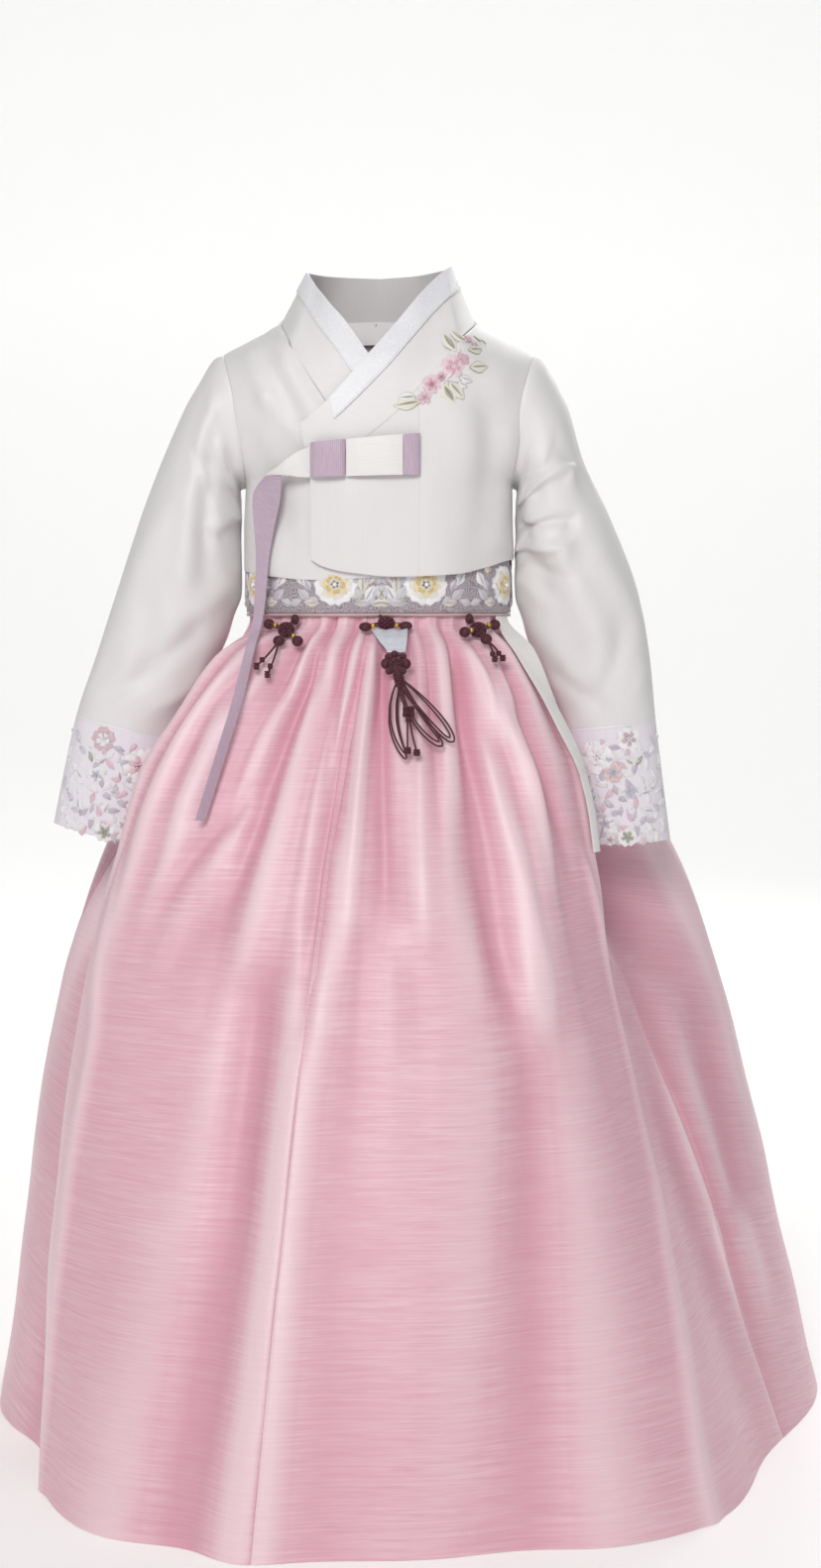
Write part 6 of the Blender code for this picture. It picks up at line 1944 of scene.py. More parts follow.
def build_chest_band():
    """The band above the skirt that holds it to the chest, hidden under the jacket."""
    rows = [waist_ring(z, BAND_DEPTH, 96) for z in between(BAND_TOP, SKIRT_TOP + SEAM_GAP, 12)]
    cloth("chest_band", "white_silk", rows, settings().skirt_wall, "stretched", ["wearer"],
          closed=True)


BELT_COUNT = 288
BELT_MIDDLE = -0.2055
PIPING_RADIUS = 0.00135


def build_belt():
    """A stiff brocade belt with a rounded upper edge, and the piping along its lower edge."""
    rows = []
    for part in spread(20, 0.02):
        z = BELT_TOP + (BELT_BOTTOM - BELT_TOP) * part
        swell = 0.0005 * math.sin(math.pi * part)
        rows.append(waist_ring(z, BELT_DEPTH - swell, BELT_COUNT))
    cloth("belt", "silver_brocade", rows, BELT_WALL, "stretched",
          ["jacket_body_left", "skirt_front_left"], closed=True, inside=(0, 0, BELT_MIDDLE),
          edges=("top", "bottom"))
    ring = waist_ring(BELT_BOTTOM - SEAM_GAP - PIPING_RADIUS, BELT_DEPTH + PIPING_RADIUS * 0.9,
                      BELT_COUNT)
    piping = tube("belt_piping", ring, PIPING_RADIUS, finish("beige_piping"), 10, True)
    worn(piping, "beige_piping", "belt_piping")


def tie_point(part, across):
    """A place on the skirt's tie: part runs up it and across from its front edge."""
    z = TIE_RIBBON.keys[0] + (TIE_RIBBON.keys[-1] - TIE_RIBBON.keys[0]) * part
    size = TIE_RIBBON.at(z)
    x = size.front_x + (size.back_x - size.front_x) * across
    y = size.front_y + (size.back_y - size.front_y) * across
    return off_skirt(x, y, z, TIE_OUT + 0.0008 * math.sin(math.pi * across))


def build_skirt_tie():
    rows = [[tie_point(part, across) for across in spread(10, 0.04)] for part in spread(60, 0.01)]
    cloth("skirt_tie", "ivory_ribbon", rows, RIBBON_WALL, "hung", ["belt", "skirt_front_left"],
          inside=(0, 0, -0.3), edges=("left", "right"))


# ---------------------------------------------------------------- hanging knot ornaments
def round_path(centre, reach, count, least):
    """A level path through a centre, and the share of a ball's width at each of its points."""
    parts = [2 * part - 1 for part in steps(count)]
    path = [centre + Vector((reach * part, 0, 0)) for part in parts]
    return path, [max(math.sqrt(max(1 - part ** 2, 0.0)), least) for part in parts]


def level_ring(centre, wide, deep, count, tilt=0.0):
    """A closed turn of cord that lies level round a centre."""
    return [centre + Vector((wide * math.cos(a), deep * math.sin(a), tilt * math.sin(a)))
            for a in (math.tau * part for part in steps(count)[:-1])]


def ring_of_cord(centre, wide, high, count, lean=0.0, out=0.0):
    """A closed loop of cord round a centre, upright in front of the skirt."""
    points = []
    for part in steps(count)[:-1]:
        angle = math.tau * part
        x, z = wide / 2 * math.cos(angle), high / 2 * math.sin(angle)
        points.append(centre + Vector((x * math.cos(lean) - z * math.sin(lean), -out,
                                       x * math.sin(lean) + z * math.cos(lean))))
    return points


class Knots:
    """The cords and beads of one ornament, gathered and then made into one piece."""

    def __init__(self):
        self.pieces, self.radius = [], settings().cord_radius

    def cord(self, points, radius=None, closed=False, sides=8, taper=None):
        self.pieces.append(tube("cord", points, radius or self.radius, finish("plum_cord"),
                                sides, closed, taper))

    def pad(self, centre, wide, high):
        """Crossing cords, over and under each other, as in the middle of a knot."""
        radius = self.radius
        for way, length, depth in ((0, wide, high), (1, high, wide)):
            count = max(round(depth / (2.1 * radius)), 2)
            for number in range(count):
                offset = ((number + 0.5) / count - 0.5) * depth
                points = []
                for part in steps(16):
                    along = (part - 0.5) * length
                    wave = 0.9 * radius * math.cos(math.pi * (part * count + number + way))
                    x, z = (along, offset) if way == 0 else (offset, along)
                    bulge = 0.0016 * (1 - (2 * part - 1) ** 2) * (1 - (2 * offset / depth) ** 2)
                    points.append(centre + Vector((x, -wave - bulge, z)))
                self.cord(points)

    def ear(self, hub, centre, wide, high):
        """A loop of cord wound tight round a core, and the two cords from it to the hub."""
        radius = self.radius
        lean = math.atan2(centre.z - hub.z, centre.x - hub.x)
        self.cord(ring_of_cord(centre, wide, high, 24), closed=True)
        self.cord(ring_of_cord(centre, wide * 0.52, high * 0.52, 16, 0.4, radius), closed=True)
        path, swell = round_path(centre + Vector((0, -radius * 0.4, 0)), wide * 0.40, 10, 0.12)
        self.cord(path, high * 0.42, sides=10, taper=swell)
        side = Vector((-math.sin(lean), 0, math.cos(lean))) * radius * 1.1
        for sign in (-1, 1):
            self.cord([hub + side * sign,
                       hub.lerp(centre, 0.55) + side * sign + Vector((0, -radius * 0.6, 0)),
                       centre + side * sign])

    def knot(self, hub, lobes):
        """A woven pad with a rim of cord, and the ears round it."""
        centre, wide, high = place(*hub[:2]), hub[2] * 0.92, hub[3] * 0.92
        self.pad(centre, wide * 0.86, high * 0.86)
        self.cord(ring_of_cord(centre, wide, high, 30), closed=True)
        for x, z, wide, high in lobes:
            self.ear(centre, place(x, z), wide * 0.86, high * 0.86)

    def end(self, centre, wide, high, radius=None):
        """A small round end knot: three turns of cord round its middle."""
        for turn in (-0.32, 0.0, 0.32):
            reach = wide * 0.42 * math.sqrt(1 - (1.6 * turn) ** 2)
            self.cord(level_ring(centre + Vector((0, 0, turn * high)), reach, reach, 16), radius,
                      closed=True)
        self.cord([centre + Vector((0, 0, sign * high * 0.4)) for sign in (-1, 0, 1)],
                  wide * 0.34, sides=10)

    def strand(self, root, places, radius=None, back=None, out=0.0030):
        """A cord that hangs from a root, smoothly through places on the skirt."""
        points = [root] + [place(x, z, out) for x, z in places] + ([back] if back else [])
        keys = lengths_along(points)
        self.cord([point_along(keys, points, keys[-1] * part)
                   for part in steps(max(12, 4 * len(points)))], radius)

    def beads(self, places):
        """Small gold beads, each with a hole's rim on both sides."""
        radius = settings().bead_radius
        for x, z in places:
            path, swell = round_path(place(x, z, 0.0062), radius * 0.95, 12, 0.34)
            self.pieces.append(tube("bead", path, radius, finish("gold_bead"), 14, taper=swell))

    def tied(self, name):
        worn(merged(name, self.pieces), "plum_cord", name)


GOLD_BEADS = {
    "ornament_right": ((-0.0803, -0.2372), (-0.0655, -0.2456)),
    "ornament_middle": ((-0.0033, -0.2376), (0.0152, -0.2372)),
    "ornament_left": ((0.0739, -0.2412), (0.0878, -0.2372))}
TASSEL_EARS = tuple((x, z, 0.0052, 0.0050) for x, z in (
    (0.0090, -0.2618), (0.0200, -0.2615), (0.0096, -0.2724), (0.0200, -0.2724)))
STEM_TURNS = 7
STEM_RADIUS = 0.0026
MIDDLE_OUT = 0.0046        # how far the tassel's middle strand and its knots lie over the skirt
MIDDLE_KNOTS = ((-0.0022, 0.003), (0.0022, 0.003), (-0.0024, -0.001), (0.0024, -0.001),
                (0, -0.0048))


def build_ornaments():
    """Three ornaments of knotted cord with gold beads, a jade plate and a looped tassel."""
    for name, hub, lobes, ends in (("ornament_right", RIGHT_HUB, RIGHT_LOBES, RIGHT_ENDS),
                                   ("ornament_left", LEFT_HUB, LEFT_LOBES, LEFT_ENDS)):
        knots = Knots()
        knots.knot(hub, lobes)
        knots.cord([place(*lobes[0][:2]), on_body(lobes[0][0], HANG_TOP, -1, -HANG_INSET)])
        root = place(*lobes[-1][:2])
        for x, z, wide, high in ends:
            knots.strand(root, (((root.x + x) / 2 + 0.001, (root.z + z) / 2), (x, z)))
            knots.end(place(x, z, 0.0030), wide, high)
            knots.end(place((x * 3 + root.x) / 4, (z * 3 + root.z) / 4, 0.0030),
                      wide * 0.8, high * 0.7)
        knots.beads(GOLD_BEADS[name])
        knots.tied(name)
    knots = Knots()
    knots.knot(MIDDLE_HUB, MIDDLE_LOBES)
    knots.cord([place(*MIDDLE_HUB[:2]), on_body(0.0018, HANG_TOP, -1, -HANG_INSET)],
               knots.radius * 1.6)
    knots.beads(GOLD_BEADS["ornament_middle"])
    knots.tied("ornament_middle")
    build_jade()
    build_tassel()


def build_jade():
    """A thin plate under the middle knot, with a wavy upper edge and a soft crown."""
    keys = [-row[0] for row in JADE_SHAPE]
    rows = []
    for part in spread(18, 0.03):
        key = keys[0] + (keys[-1] - keys[0]) * part
        left, right, out = (smooth(keys, [row[column] for row in JADE_SHAPE], key)
                            for column in (1, 2, 3))
        row = []
        for across in spread(20, 0.03):
            x = left + (right - left) * across
            scallop = 0.0011 * abs(math.sin(2.5 * math.pi * across)) * (1 - part) ** 2
            crown = 0.0007 * math.sin(math.pi * across) * math.sin(math.pi * (0.1 + 0.8 * part))
            edge = place(left, -key, out).lerp(place(right, -key, out), across)
            row.append(Vector((x, edge.y - crown, -key + scallop)))
        rows.append(row)
    made = shell("ornament_jade", rows, finish("pale_jade"), 0.0020, inside=(0, 0, -0.25),
                 edges=("top", "bottom", "left", "right"))
    worn(made, "pale_jade", "ornament_jade")


def build_tassel():
    """A knot of five ears over a wound stem, hanging loops of cord and a knotted middle strand."""
    knots = Knots()
    radius, fine = knots.radius, knots.radius * 0.86
    knots.knot(TASSEL_HUB, TASSEL_LOBES[:-1] + TASSEL_EARS)
    hub, stem = place(*TASSEL_HUB[:2]), place(*TASSEL_LOBES[-1][:2])
    for part in steps(STEM_TURNS):
        wide = 0.0030 + 0.0008 * math.sin(math.pi * part)
        knots.cord(level_ring(hub.lerp(stem, 0.35 + 0.95 * part), wide, 0.8 * wide, 18, 0.0003),
                   radius * 0.95, closed=True)
    knots.cord([hub, hub.lerp(stem, 0.7), stem + Vector((0, 0, -0.004))], STEM_RADIUS, sides=10)
    for x, z, spread_out, lean in TASSEL_LOOPS:
        across = Vector((z - stem.z, 0, stem.x - x)).normalized() * LOOP_ROOT
        knots.strand(stem - across, loop((stem.x, stem.z), (x, z), spread_out, lean, 20), fine,
                     stem + across)
        tip = Vector((stem.x, stem.z)).lerp(Vector((x, z)), 0.93)
        knots.strand(stem - across * 0.5,
                     loop((stem.x, stem.z), tuple(tip), spread_out * 0.55, lean, 20), fine,
                     stem + across * 0.5, 0.0040)
    middle = place(*TASSEL_KNOT[:2], 0.0030)
    knots.strand(stem, [((stem.x + middle.x) / 2, (stem.z + middle.z) / 2), TASSEL_KNOT[:2]],
                 fine * 1.3, None, MIDDLE_OUT)
    for aside, below in MIDDLE_KNOTS:
        knots.end(place(middle.x + aside, middle.z + below, MIDDLE_OUT), 0.0044, 0.0044,
                  radius * 0.9)
    for x, z, wide, high in TASSEL_ENDS:
        knots.strand(middle, [((middle.x + x) / 2 - 0.0006, (middle.z + z) / 2), (x, z)], fine,
                     None, 0.0044)
        knots.end(place(x, z, 0.0044), wide, high)
    knots.tied("ornament_tassel")


# ---------------------------------------------------------------- the needlework of each piece
THREADS = {name: tone(code) for name, code in {
    "white": "FBFAFC", "ivory": "EFEBE0", "lilac": "E2DDEA", "grey_lilac": "DAD4E0",
    "pink": "F3D8E1", "rose": "ECC1CF", "dusty": "DCC4CC", "deep_rose": "D897AF",
    "peach": "EFDCD6", "olive": "C0BFAE", "grey_olive": "A9A99B", "sage": "BFC4B4",
    "gold": "E2C588", "straw": "F0E0B8", "pearl": "FBF6F2", "blue_lilac": "DADCEA",
    "silver": "DEDBE1", "apricot": "DDB48E", "dark_olive": "8B897A",
}.items()}

CHEST_LEAVES = (
    # from_x, from_z, to_x, to_z, width, colour, vein
    (0.0606, -0.0240, 0.0520, -0.0081, 0.0056, "grey_olive", "ivory"),
    (0.0684, -0.0162, 0.0584, -0.0060, 0.0052, "olive", "ivory"),
    (0.0800, -0.0160, 0.0764, -0.0074, 0.0044, "dark_olive", "ivory"),
    (0.0842, -0.0176, 0.0824, -0.0104, 0.0030, "grey_olive", "ivory"),
    (0.0692, -0.0222, 0.0846, -0.0204, 0.0052, "ivory", "olive"),
    (0.0716, -0.0360, 0.0872, -0.0344, 0.0060, "ivory", "olive"),
    (0.0516, -0.0500, 0.0600, -0.0640, 0.0066, "olive", "grey_olive"),
    (0.0560, -0.0480, 0.0672, -0.0606, 0.0070, "ivory", "sage"),
    (0.0334, -0.0632, 0.0130, -0.0670, 0.0066, "ivory", "olive"),
    (0.0300, -0.0596, 0.0166, -0.0606, 0.0050, "white", "sage"),
    (0.0640, -0.0440, 0.0740, -0.0470, 0.0040, "white", "lilac"),
    (0.0630, -0.0475, 0.0700, -0.0520, 0.0036, "white", "lilac"))
CHEST_FLOWERS = (
    # x, z, radius, petals, outer, inner, heart, turn
    (0.0590, -0.0357, 0.0098, 5, "pink", "rose", "pearl", 90),
    (0.0668, -0.0300, 0.0056, 5, "rose", "pink", "pearl", 40),
    (0.0424, -0.0500, 0.0080, 5, "pink", "rose", "deep_rose", 70),
    (0.0500, -0.0446, 0.0050, 5, "pink", "rose", None, 20),
    (0.0370, -0.0606, 0.0058, 5, "pink", "pink", "rose", 100),
    (0.0716, -0.0128, 0.0044, 4, "rose", "pink", None, 60),
    (0.0764, -0.0166, 0.0034, 4, "pink", "pink", None, 10))
CHEST_DOTS = (
    # x, z, turn, count, pitch, size, colour
    (0.0628, -0.0262, 60, 3, 0.0022, 0.0014, "dusty"),
    (0.0452, -0.0560, -35, 4, 0.0020, 0.0012, "pearl"),
    (0.0700, -0.0410, 10, 3, 0.0022, 0.0012, "white"))

GROUND_MOTIFS = 96         # on each side of a cuff, under its flowers and leaves
EVEN_SCATTER = (0.5698, 0.7549)   # steps down and across that never fall into rows
GOLDEN_ANGLE = 137.5
CUFF_GROUND = ("white", "lilac", "white", "grey_lilac", "white", "white", "silver", "pink")
CUFF_LEFT_FLOWERS = (
    # down, across, radius, petals, outer, inner, heart, turn: across is 0 on the outer side and
    # 1 on the inner side, over the front
    (0.14, 0.34, 0.0088, 5, "white", "dusty", "white", 90),
    (0.25, 0.69, 0.0122, 6, "white", "white", "pearl", 75),
    (0.27, 0.93, 0.0072, 5, "rose", "deep_rose", "pink", 60),
    (0.36, 0.54, 0.0072, 6, "peach", "lilac", "grey_lilac", 90),
    (0.49, 0.37, 0.0050, 5, "blue_lilac", "lilac", "white", 80),
    (0.70, 0.66, 0.0064, 5, "white", "lilac", "grey_lilac", 60),
    (0.80, 0.86, 0.0082, 5, "peach", "dusty", "pink", 90),
    (0.84, 0.45, 0.0074, 5, "white", "sage", "olive", 90),
    (0.87, 0.62, 0.0046, 5, "white", "pink", "sage", 40),
    (0.90, 0.95, 0.0054, 5, "rose", "deep_rose", "pink", 20))
CUFF_LEFT_LEAVES = (
    # down, across, turn, length, width, colour, vein
    (0.30, 0.25, 50, 0.0100, 0.0046, "olive", "ivory"),
    (0.30, 0.36, 140, 0.0080, 0.0034, "ivory", "sage"),
    (0.42, 0.86, 80, 0.0100, 0.0044, "olive", "dusty"),
    (0.40, 0.70, 120, 0.0084, 0.0040, "white", None),
    (0.50, 0.22, 10, 0.0092, 0.0048, "white", "lilac"),
    (0.62, 0.21, -5, 0.0092, 0.0050, "white", "lilac"),
    (0.58, 0.06, 70, 0.0070, 0.0034, "white", None),
    (0.61, 0.49, 85, 0.0096, 0.0044, "lilac", "white"),
    (0.65, 0.36, 70, 0.0096, 0.0044, "lilac", "white"),
    (0.56, 0.62, 130, 0.0090, 0.0040, "grey_lilac", "white"),
    (0.52, 0.75, 60, 0.0080, 0.0040, "white", "sage"),
    (0.66, 0.92, 100, 0.0092, 0.0040, "sage", "ivory"),
    (0.80, 0.22, 8, 0.0092, 0.0052, "white", None),
    (0.89, 0.23, -18, 0.0092, 0.0052, "white", None),
    (0.76, 0.53, 120, 0.0076, 0.0036, "white", "lilac"),
    (0.90, 0.50, -70, 0.0076, 0.0036, "white", None),
    (0.20, 0.52, 20, 0.0070, 0.0034, "white", "lilac"),
    (0.44, 0.13, 30, 0.0064, 0.0030, "white", None))
CUFF_RIGHT_FLOWERS = (
    (0.15, 0.34, 0.0086, 5, "dusty", "white", "white", 100),
    (0.29, 0.71, 0.0124, 6, "white", "pink", "rose", 75),
    (0.14, 0.90, 0.0070, 5, "white", "lilac", "pearl", 60),
    (0.41, 0.33, 0.0062, 5, "white", "lilac", "grey_lilac", 30),
    (0.49, 0.52, 0.0036, 5, "white", "white", "pearl", 80),
    (0.84, 0.48, 0.0078, 5, "white", "sage", "olive", 90),
    (0.82, 0.87, 0.0086, 5, "peach", "dusty", "sage", 60),
    (0.72, 0.64, 0.0050, 5, "white", "pink", "lilac", 40),
    (0.62, 0.98, 0.0060, 5, "lilac", "grey_lilac", "white", 20))
CUFF_RIGHT_LEAVES = (
    (0.30, 0.25, 120, 0.0096, 0.0046, "olive", "ivory"),
    (0.31, 0.37, 50, 0.0080, 0.0036, "ivory", "sage"),
    (0.43, 0.17, 140, 0.0084, 0.0040, "white", "lilac"),
    (0.62, 0.04, 100, 0.0070, 0.0034, "white", None),
    (0.63, 0.21, 100, 0.0092, 0.0044, "white", "lilac"),
    (0.64, 0.34, 85, 0.0096, 0.0044, "lilac", "white"),
    (0.61, 0.47, 75, 0.0096, 0.0044, "white", "grey_lilac"),
    (0.55, 0.62, 40, 0.0086, 0.0040, "grey_lilac", "white"),
    (0.44, 0.95, 60, 0.0096, 0.0044, "olive", "dusty"),
    (0.51, 0.80, 20, 0.0080, 0.0036, "white", "sage"),
    (0.80, 0.27, 150, 0.0090, 0.0050, "white", None),
    (0.88, 0.26, 185, 0.0090, 0.0050, "white", None),
    (0.77, 0.44, 100, 0.0080, 0.0040, "white", "lilac"),
    (0.93, 0.62, 190, 0.0080, 0.0034, "sage", "ivory"),
    (0.73, 0.79, 70, 0.0086, 0.0044, "white", "pink"),
    (0.22, 0.52, 160, 0.0076, 0.0034, "white", "lilac"),
    (0.38, 0.55, 110, 0.0070, 0.0032, "pink", "rose"))
CUFF_DOTS = (
    # down, across, turn
    (0.50, 0.10, 20), (0.58, 0.70, 75), (0.34, 0.16, 60), (0.74, 0.30, 140),
    (0.46, 0.60, 100), (0.70, 0.10, 10), (0.91, 0.36, 5))

BELT_RADIUS = 0.0965       # turns metres round the belt into an angle
PROUD = 0.0005             # how far the needlework's form stands over the belt's face
BELT_RINGS = (
    # petals, reach, colour, from a flower's rim to its heart
    (7, 0.0190, "silver"), (7, 0.0180, "white"), (6, 0.0144, "ivory"),
    (5, 0.0112, "straw"), (5, 0.0086, "gold"), (5, 0.0056, "ivory"))
BELT_FLOWER_ANGLES = (26.0, 70.5, 115.0, 159.5, 204.0, 248.5, 293.0, 337.4)
BELT_LEAVES = (
    # aside and above a flower's middle, turn, length, width, colour, vein
    (0.0440, 0.0020, 90, 0.0200, 0.0060, "ivory", "silver"),
    (0.0390, -0.0070, 118, 0.0150, 0.0056, "white", "silver"),
    (0.0490, -0.0075, 62, 0.0150, 0.0056, "silver", "white"),
    (0.0300, -0.0050, 35, 0.0140, 0.0056, "lilac", "white"),
    (0.0200, -0.0142, 5, 0.0130, 0.0050, "silver", "ivory"),
    (0.0265, 0.0060, 60, 0.0140, 0.0060, "ivory", "lilac"),
    (0.0330, 0.0060, 110, 0.0130, 0.0056, "silver", "white"),
    (0.0340, -0.0145, 170, 0.0120, 0.0046, "ivory", "sage"),
    (0.0530, 0.0050, 70, 0.0140, 0.0056, "grey_lilac", "white"),
    (-0.0200, -0.0142, 175, 0.0130, 0.0050, "ivory", "silver"),
    (-0.0270, -0.0080, 140, 0.0140, 0.0056, "grey_lilac", "ivory"),
    (-0.0300, 0.0050, 120, 0.0140, 0.0060, "white", "silver"),
    (-0.0350, -0.0140, 20, 0.0120, 0.0046, "silver", "white"),
    (0.0430, -0.0148, 8, 0.0110, 0.0044, "lilac", "white"),
    (0.0230, 0.0130, 30, 0.0110, 0.0050, "silver", "ivory"),
    (-0.0220, 0.0130, 150, 0.0110, 0.0050, "ivory", "silver"),
    (0.0235, 0.0050, 75, 0.0125, 0.0050, "ivory", "silver"),
    (0.0320, -0.0060, 118, 0.0130, 0.0050, "ivory", "sage"),
    (0.0180, -0.0120, 20, 0.0090, 0.0040, "sage", "ivory"),
    (-0.0180, -0.0120, 160, 0.0090, 0.0040, "silver", "white"),
    (-0.0240, 0.0000, 120, 0.0110, 0.0046, "lilac", "grey_lilac"),
    (0.0270, -0.0125, 60, 0.0080, 0.0040, "lilac", "white"),
    (0.0345, 0.0090, 60, 0.0090, 0.0040, "grey_lilac", "white"),
    (0.0330, 0.0150, 150, 0.0080, 0.0036, "ivory", "sage"),
    (-0.0205, 0.0120, 140, 0.0080, 0.0036, "apricot", "straw"))

COLLAR_PETALS = (
    # step along the collar, part across it, turn
    (2.5, 0.42, 40), (2.75, 0.52, 100), (3.0, 0.40, 160), (3.25, 0.50, 70), (3.5, 0.38, 130),
    (2.6, 0.62, 20), (3.1, 0.64, 110), (3.4, 0.66, 60))
TIE_FLOWERS = ((0.34, 0.45, 0.0072), (0.62, 0.50, 0.0080), (0.86, 0.50, 0.0060))


def embroider_chest():
    """A spray of pink flowers and veined leaves below the left shoulder."""
    work = Needlework(lambda x, z: jacket_skin(x, z, -1, outer_rise(x, z)), 0.0008)
    for from_x, from_z, to_x, to_z, width, colour, vein in CHEST_LEAVES:
        turn = math.degrees(math.atan2(to_z - from_z, to_x - from_x))
        length = math.hypot(to_x - from_x, to_z - from_z) * 1.15
        middle, pale = ((from_x + to_x) / 2, (from_z + to_z) / 2), colour in ("ivory", "white")
        work.leaf(*middle, turn, length, 1.9 * width, "olive" if pale else "ivory")
        work.leaf(*middle, turn, length * (0.92 if pale else 0.74),
                  width * (1.6 if pale else 1.0), colour, vein, 0.0008)
    for flower in CHEST_FLOWERS:
        work.bloom(*flower)
    for row in CHEST_DOTS:
        work.dots(*row)
    work.sew("chest_embroidery", "ivory_silk")


def cuff_form(side):
    """The cuff's face from degrees round its front, to the viewer's right, and share of height."""
    table, _ = sleeve_table(side)

    def form(a, b):
        return cuff_point(table, side, cuff_step(min(max(-b, 0.0), 1.0)), 90 - side * a)
    return form


def cuff_point(table, side, step, angle):
    """One point of a cuff: the angle is from its outer side round by the front, in degrees."""
    size = table.at(step)
    centre, arm = sleeve_axis(size)
    point = centre + arm * math.cos(math.radians(angle))
    point.y = size.y - size.depth * math.sin(math.radians(angle))
    point.x *= side
    return point


def cuff_place(side, down, across, behind):
    """A motif's place on a cuff's form, on the front or, mirrored, on the back."""
    angle = math.degrees(math.acos(min(max(1 - 2 * across, -1.0), 1.0)))
    if behind:
        angle = -angle
    return (90 - angle) * side, -down


def embroider_cuffs():
    """Flowers and leaves all round both cuffs, between two plain bands."""
    for name, side, flowers, leaves in (("left", 1, CUFF_LEFT_FLOWERS, CUFF_LEFT_LEAVES),
                                        ("right", -1, CUFF_RIGHT_FLOWERS, CUFF_RIGHT_LEAVES)):
        work = Needlework(cuff_form(side), 0.02)
        for behind in (False, True):
            for number in range(GROUND_MOTIFS):
                down, across = (number * share % 1 for share in EVEN_SCATTER)
                work.add("petal" if number % 3 else "leaf",
                         *cuff_place(side, 0.15 + 0.76 * down, 0.02 + 0.96 * across, behind),
                         GOLDEN_ANGLE * number, 0.0098 + 0.0016 * math.sin(number), 0.0054,
                         CUFF_GROUND[number % len(CUFF_GROUND)], 0.0009, 0.0003)
            for down, across, turn, *leaf in leaves:
                work.leaf(*cuff_place(side, down, across, behind),
                          180 - turn if behind else turn, *leaf)
            for down, across, radius, *flower in flowers:
                work.bloom(*cuff_place(side, down, across, behind), 1.2 * radius, *flower)
        for down, across, turn in CUFF_DOTS:
            work.dots(*cuff_place(side, down, across, False), turn, 4, 0.0019, 0.0013, "white")
        work.sew("cuff_%s_embroidery" % name, "cuff_satin")


def belt_form(a, b):
    """The belt's face from metres round it, to the viewer's right of the front, and the height."""
    size = BODY.at(round(b, 6))
    across, along = math.sin(a / BELT_RADIUS), -math.cos(a / BELT_RADIUS)
    depth = (size.front if along < 0 else size.back) - BELT_DEPTH + PROUD
    wide = size.width - BELT_DEPTH + PROUD
    return Vector((wide * rounded(across), depth * rounded(along), b))


def belt_place(degrees):
    """The place on the belt's form that lies so many degrees round from the front."""
    wanted = math.radians((degrees + 180) % 360 - 180)

    def short(turn):
        point = belt_form(turn * BELT_RADIUS, BELT_MIDDLE)
        return math.atan2(point.x, -point.y) < wanted
    return halved(-math.pi, math.pi, 30, short) * BELT_RADIUS


def embroider_belt():
    """Frilled golden flowers with pearls, and pale leaves between them, all round the belt."""
    work = Needlework(belt_form, 0.0008)
    for number, degrees in enumerate(BELT_FLOWER_ANGLES):
        a, b = belt_place(degrees), BELT_MIDDLE
        for ring, (petals, reach, colour) in enumerate(BELT_RINGS):
            for petal in range(petals):
                way = 90 + 360 / petals * (petal + 0.5 * (ring // 2)) + 7 * number
                flat = 1 - 0.10 * math.sin(math.radians(way)) ** 2
                work.add("petal", *work.reach(a, b, way, reach * 0.66, flat), way, reach * 0.66,
                         reach * 5.4 / petals, colour, 0.0010, 0.0002 + 0.0004 * ring)
        work.add("bead", a, b, 0, 0.0040, 0.0040, "pearl", 0.0040, 0.0030)
        mirror = 1 if number % 2 else -1
        for aside, above, turn, length, width, colour, vein in BELT_LEAVES:
            work.leaf(*work.walk(a, b, aside * mirror, above),
                      turn if mirror > 0 else 180 - turn, length, 1.45 * width, colour, vein)
    work.sew("belt_embroidery", "silver_brocade")


def embroider_collar_and_tie():
    """A few lilac petals inside the collar's shoulder, and pale patches on the skirt's tie."""
    work = Needlework(lambda a, b: collar_point(COLLAR_INNER, -1, a, 1 - b), 0.01)
    for step, part, turn in COLLAR_PETALS:
        work.add("petal", step, 1 - part, turn, 0.0075, 0.0046, "lilac", 0.0005, 0.0002)
    work.sew("collar_embroidery", "ivory_silk")
    work = Needlework(lambda a, b: tie_point(-b, a), 0.004)
    for part, across, radius in TIE_FLOWERS:
        work.bloom(across, -part, radius, 6, "silver", "lilac", None, 30)
    work.sew("tie_embroidery", "ivory_ribbon")


# ---------------------------------------------------------------- stitches
HEM_STITCHES = 0.016       # height of the skirt's hem stitches over its edge
SEAM_ASIDE = 0.45          # degrees from a seam of the skirt to the stitches beside it


STITCH_RISE = 0.0001       # how far a line of stitches lies over its cloth


def skirt_line(panel, places):
    """Points a little proud of the skirt's face: each place is degrees aside and a height."""
    line = []
    for aside, z in places:
        point = skirt_skin(panel, aside, z)
        line.append(point + Vector((point.x, point.y, 0)).normalized() * STITCH_RISE)
    return line


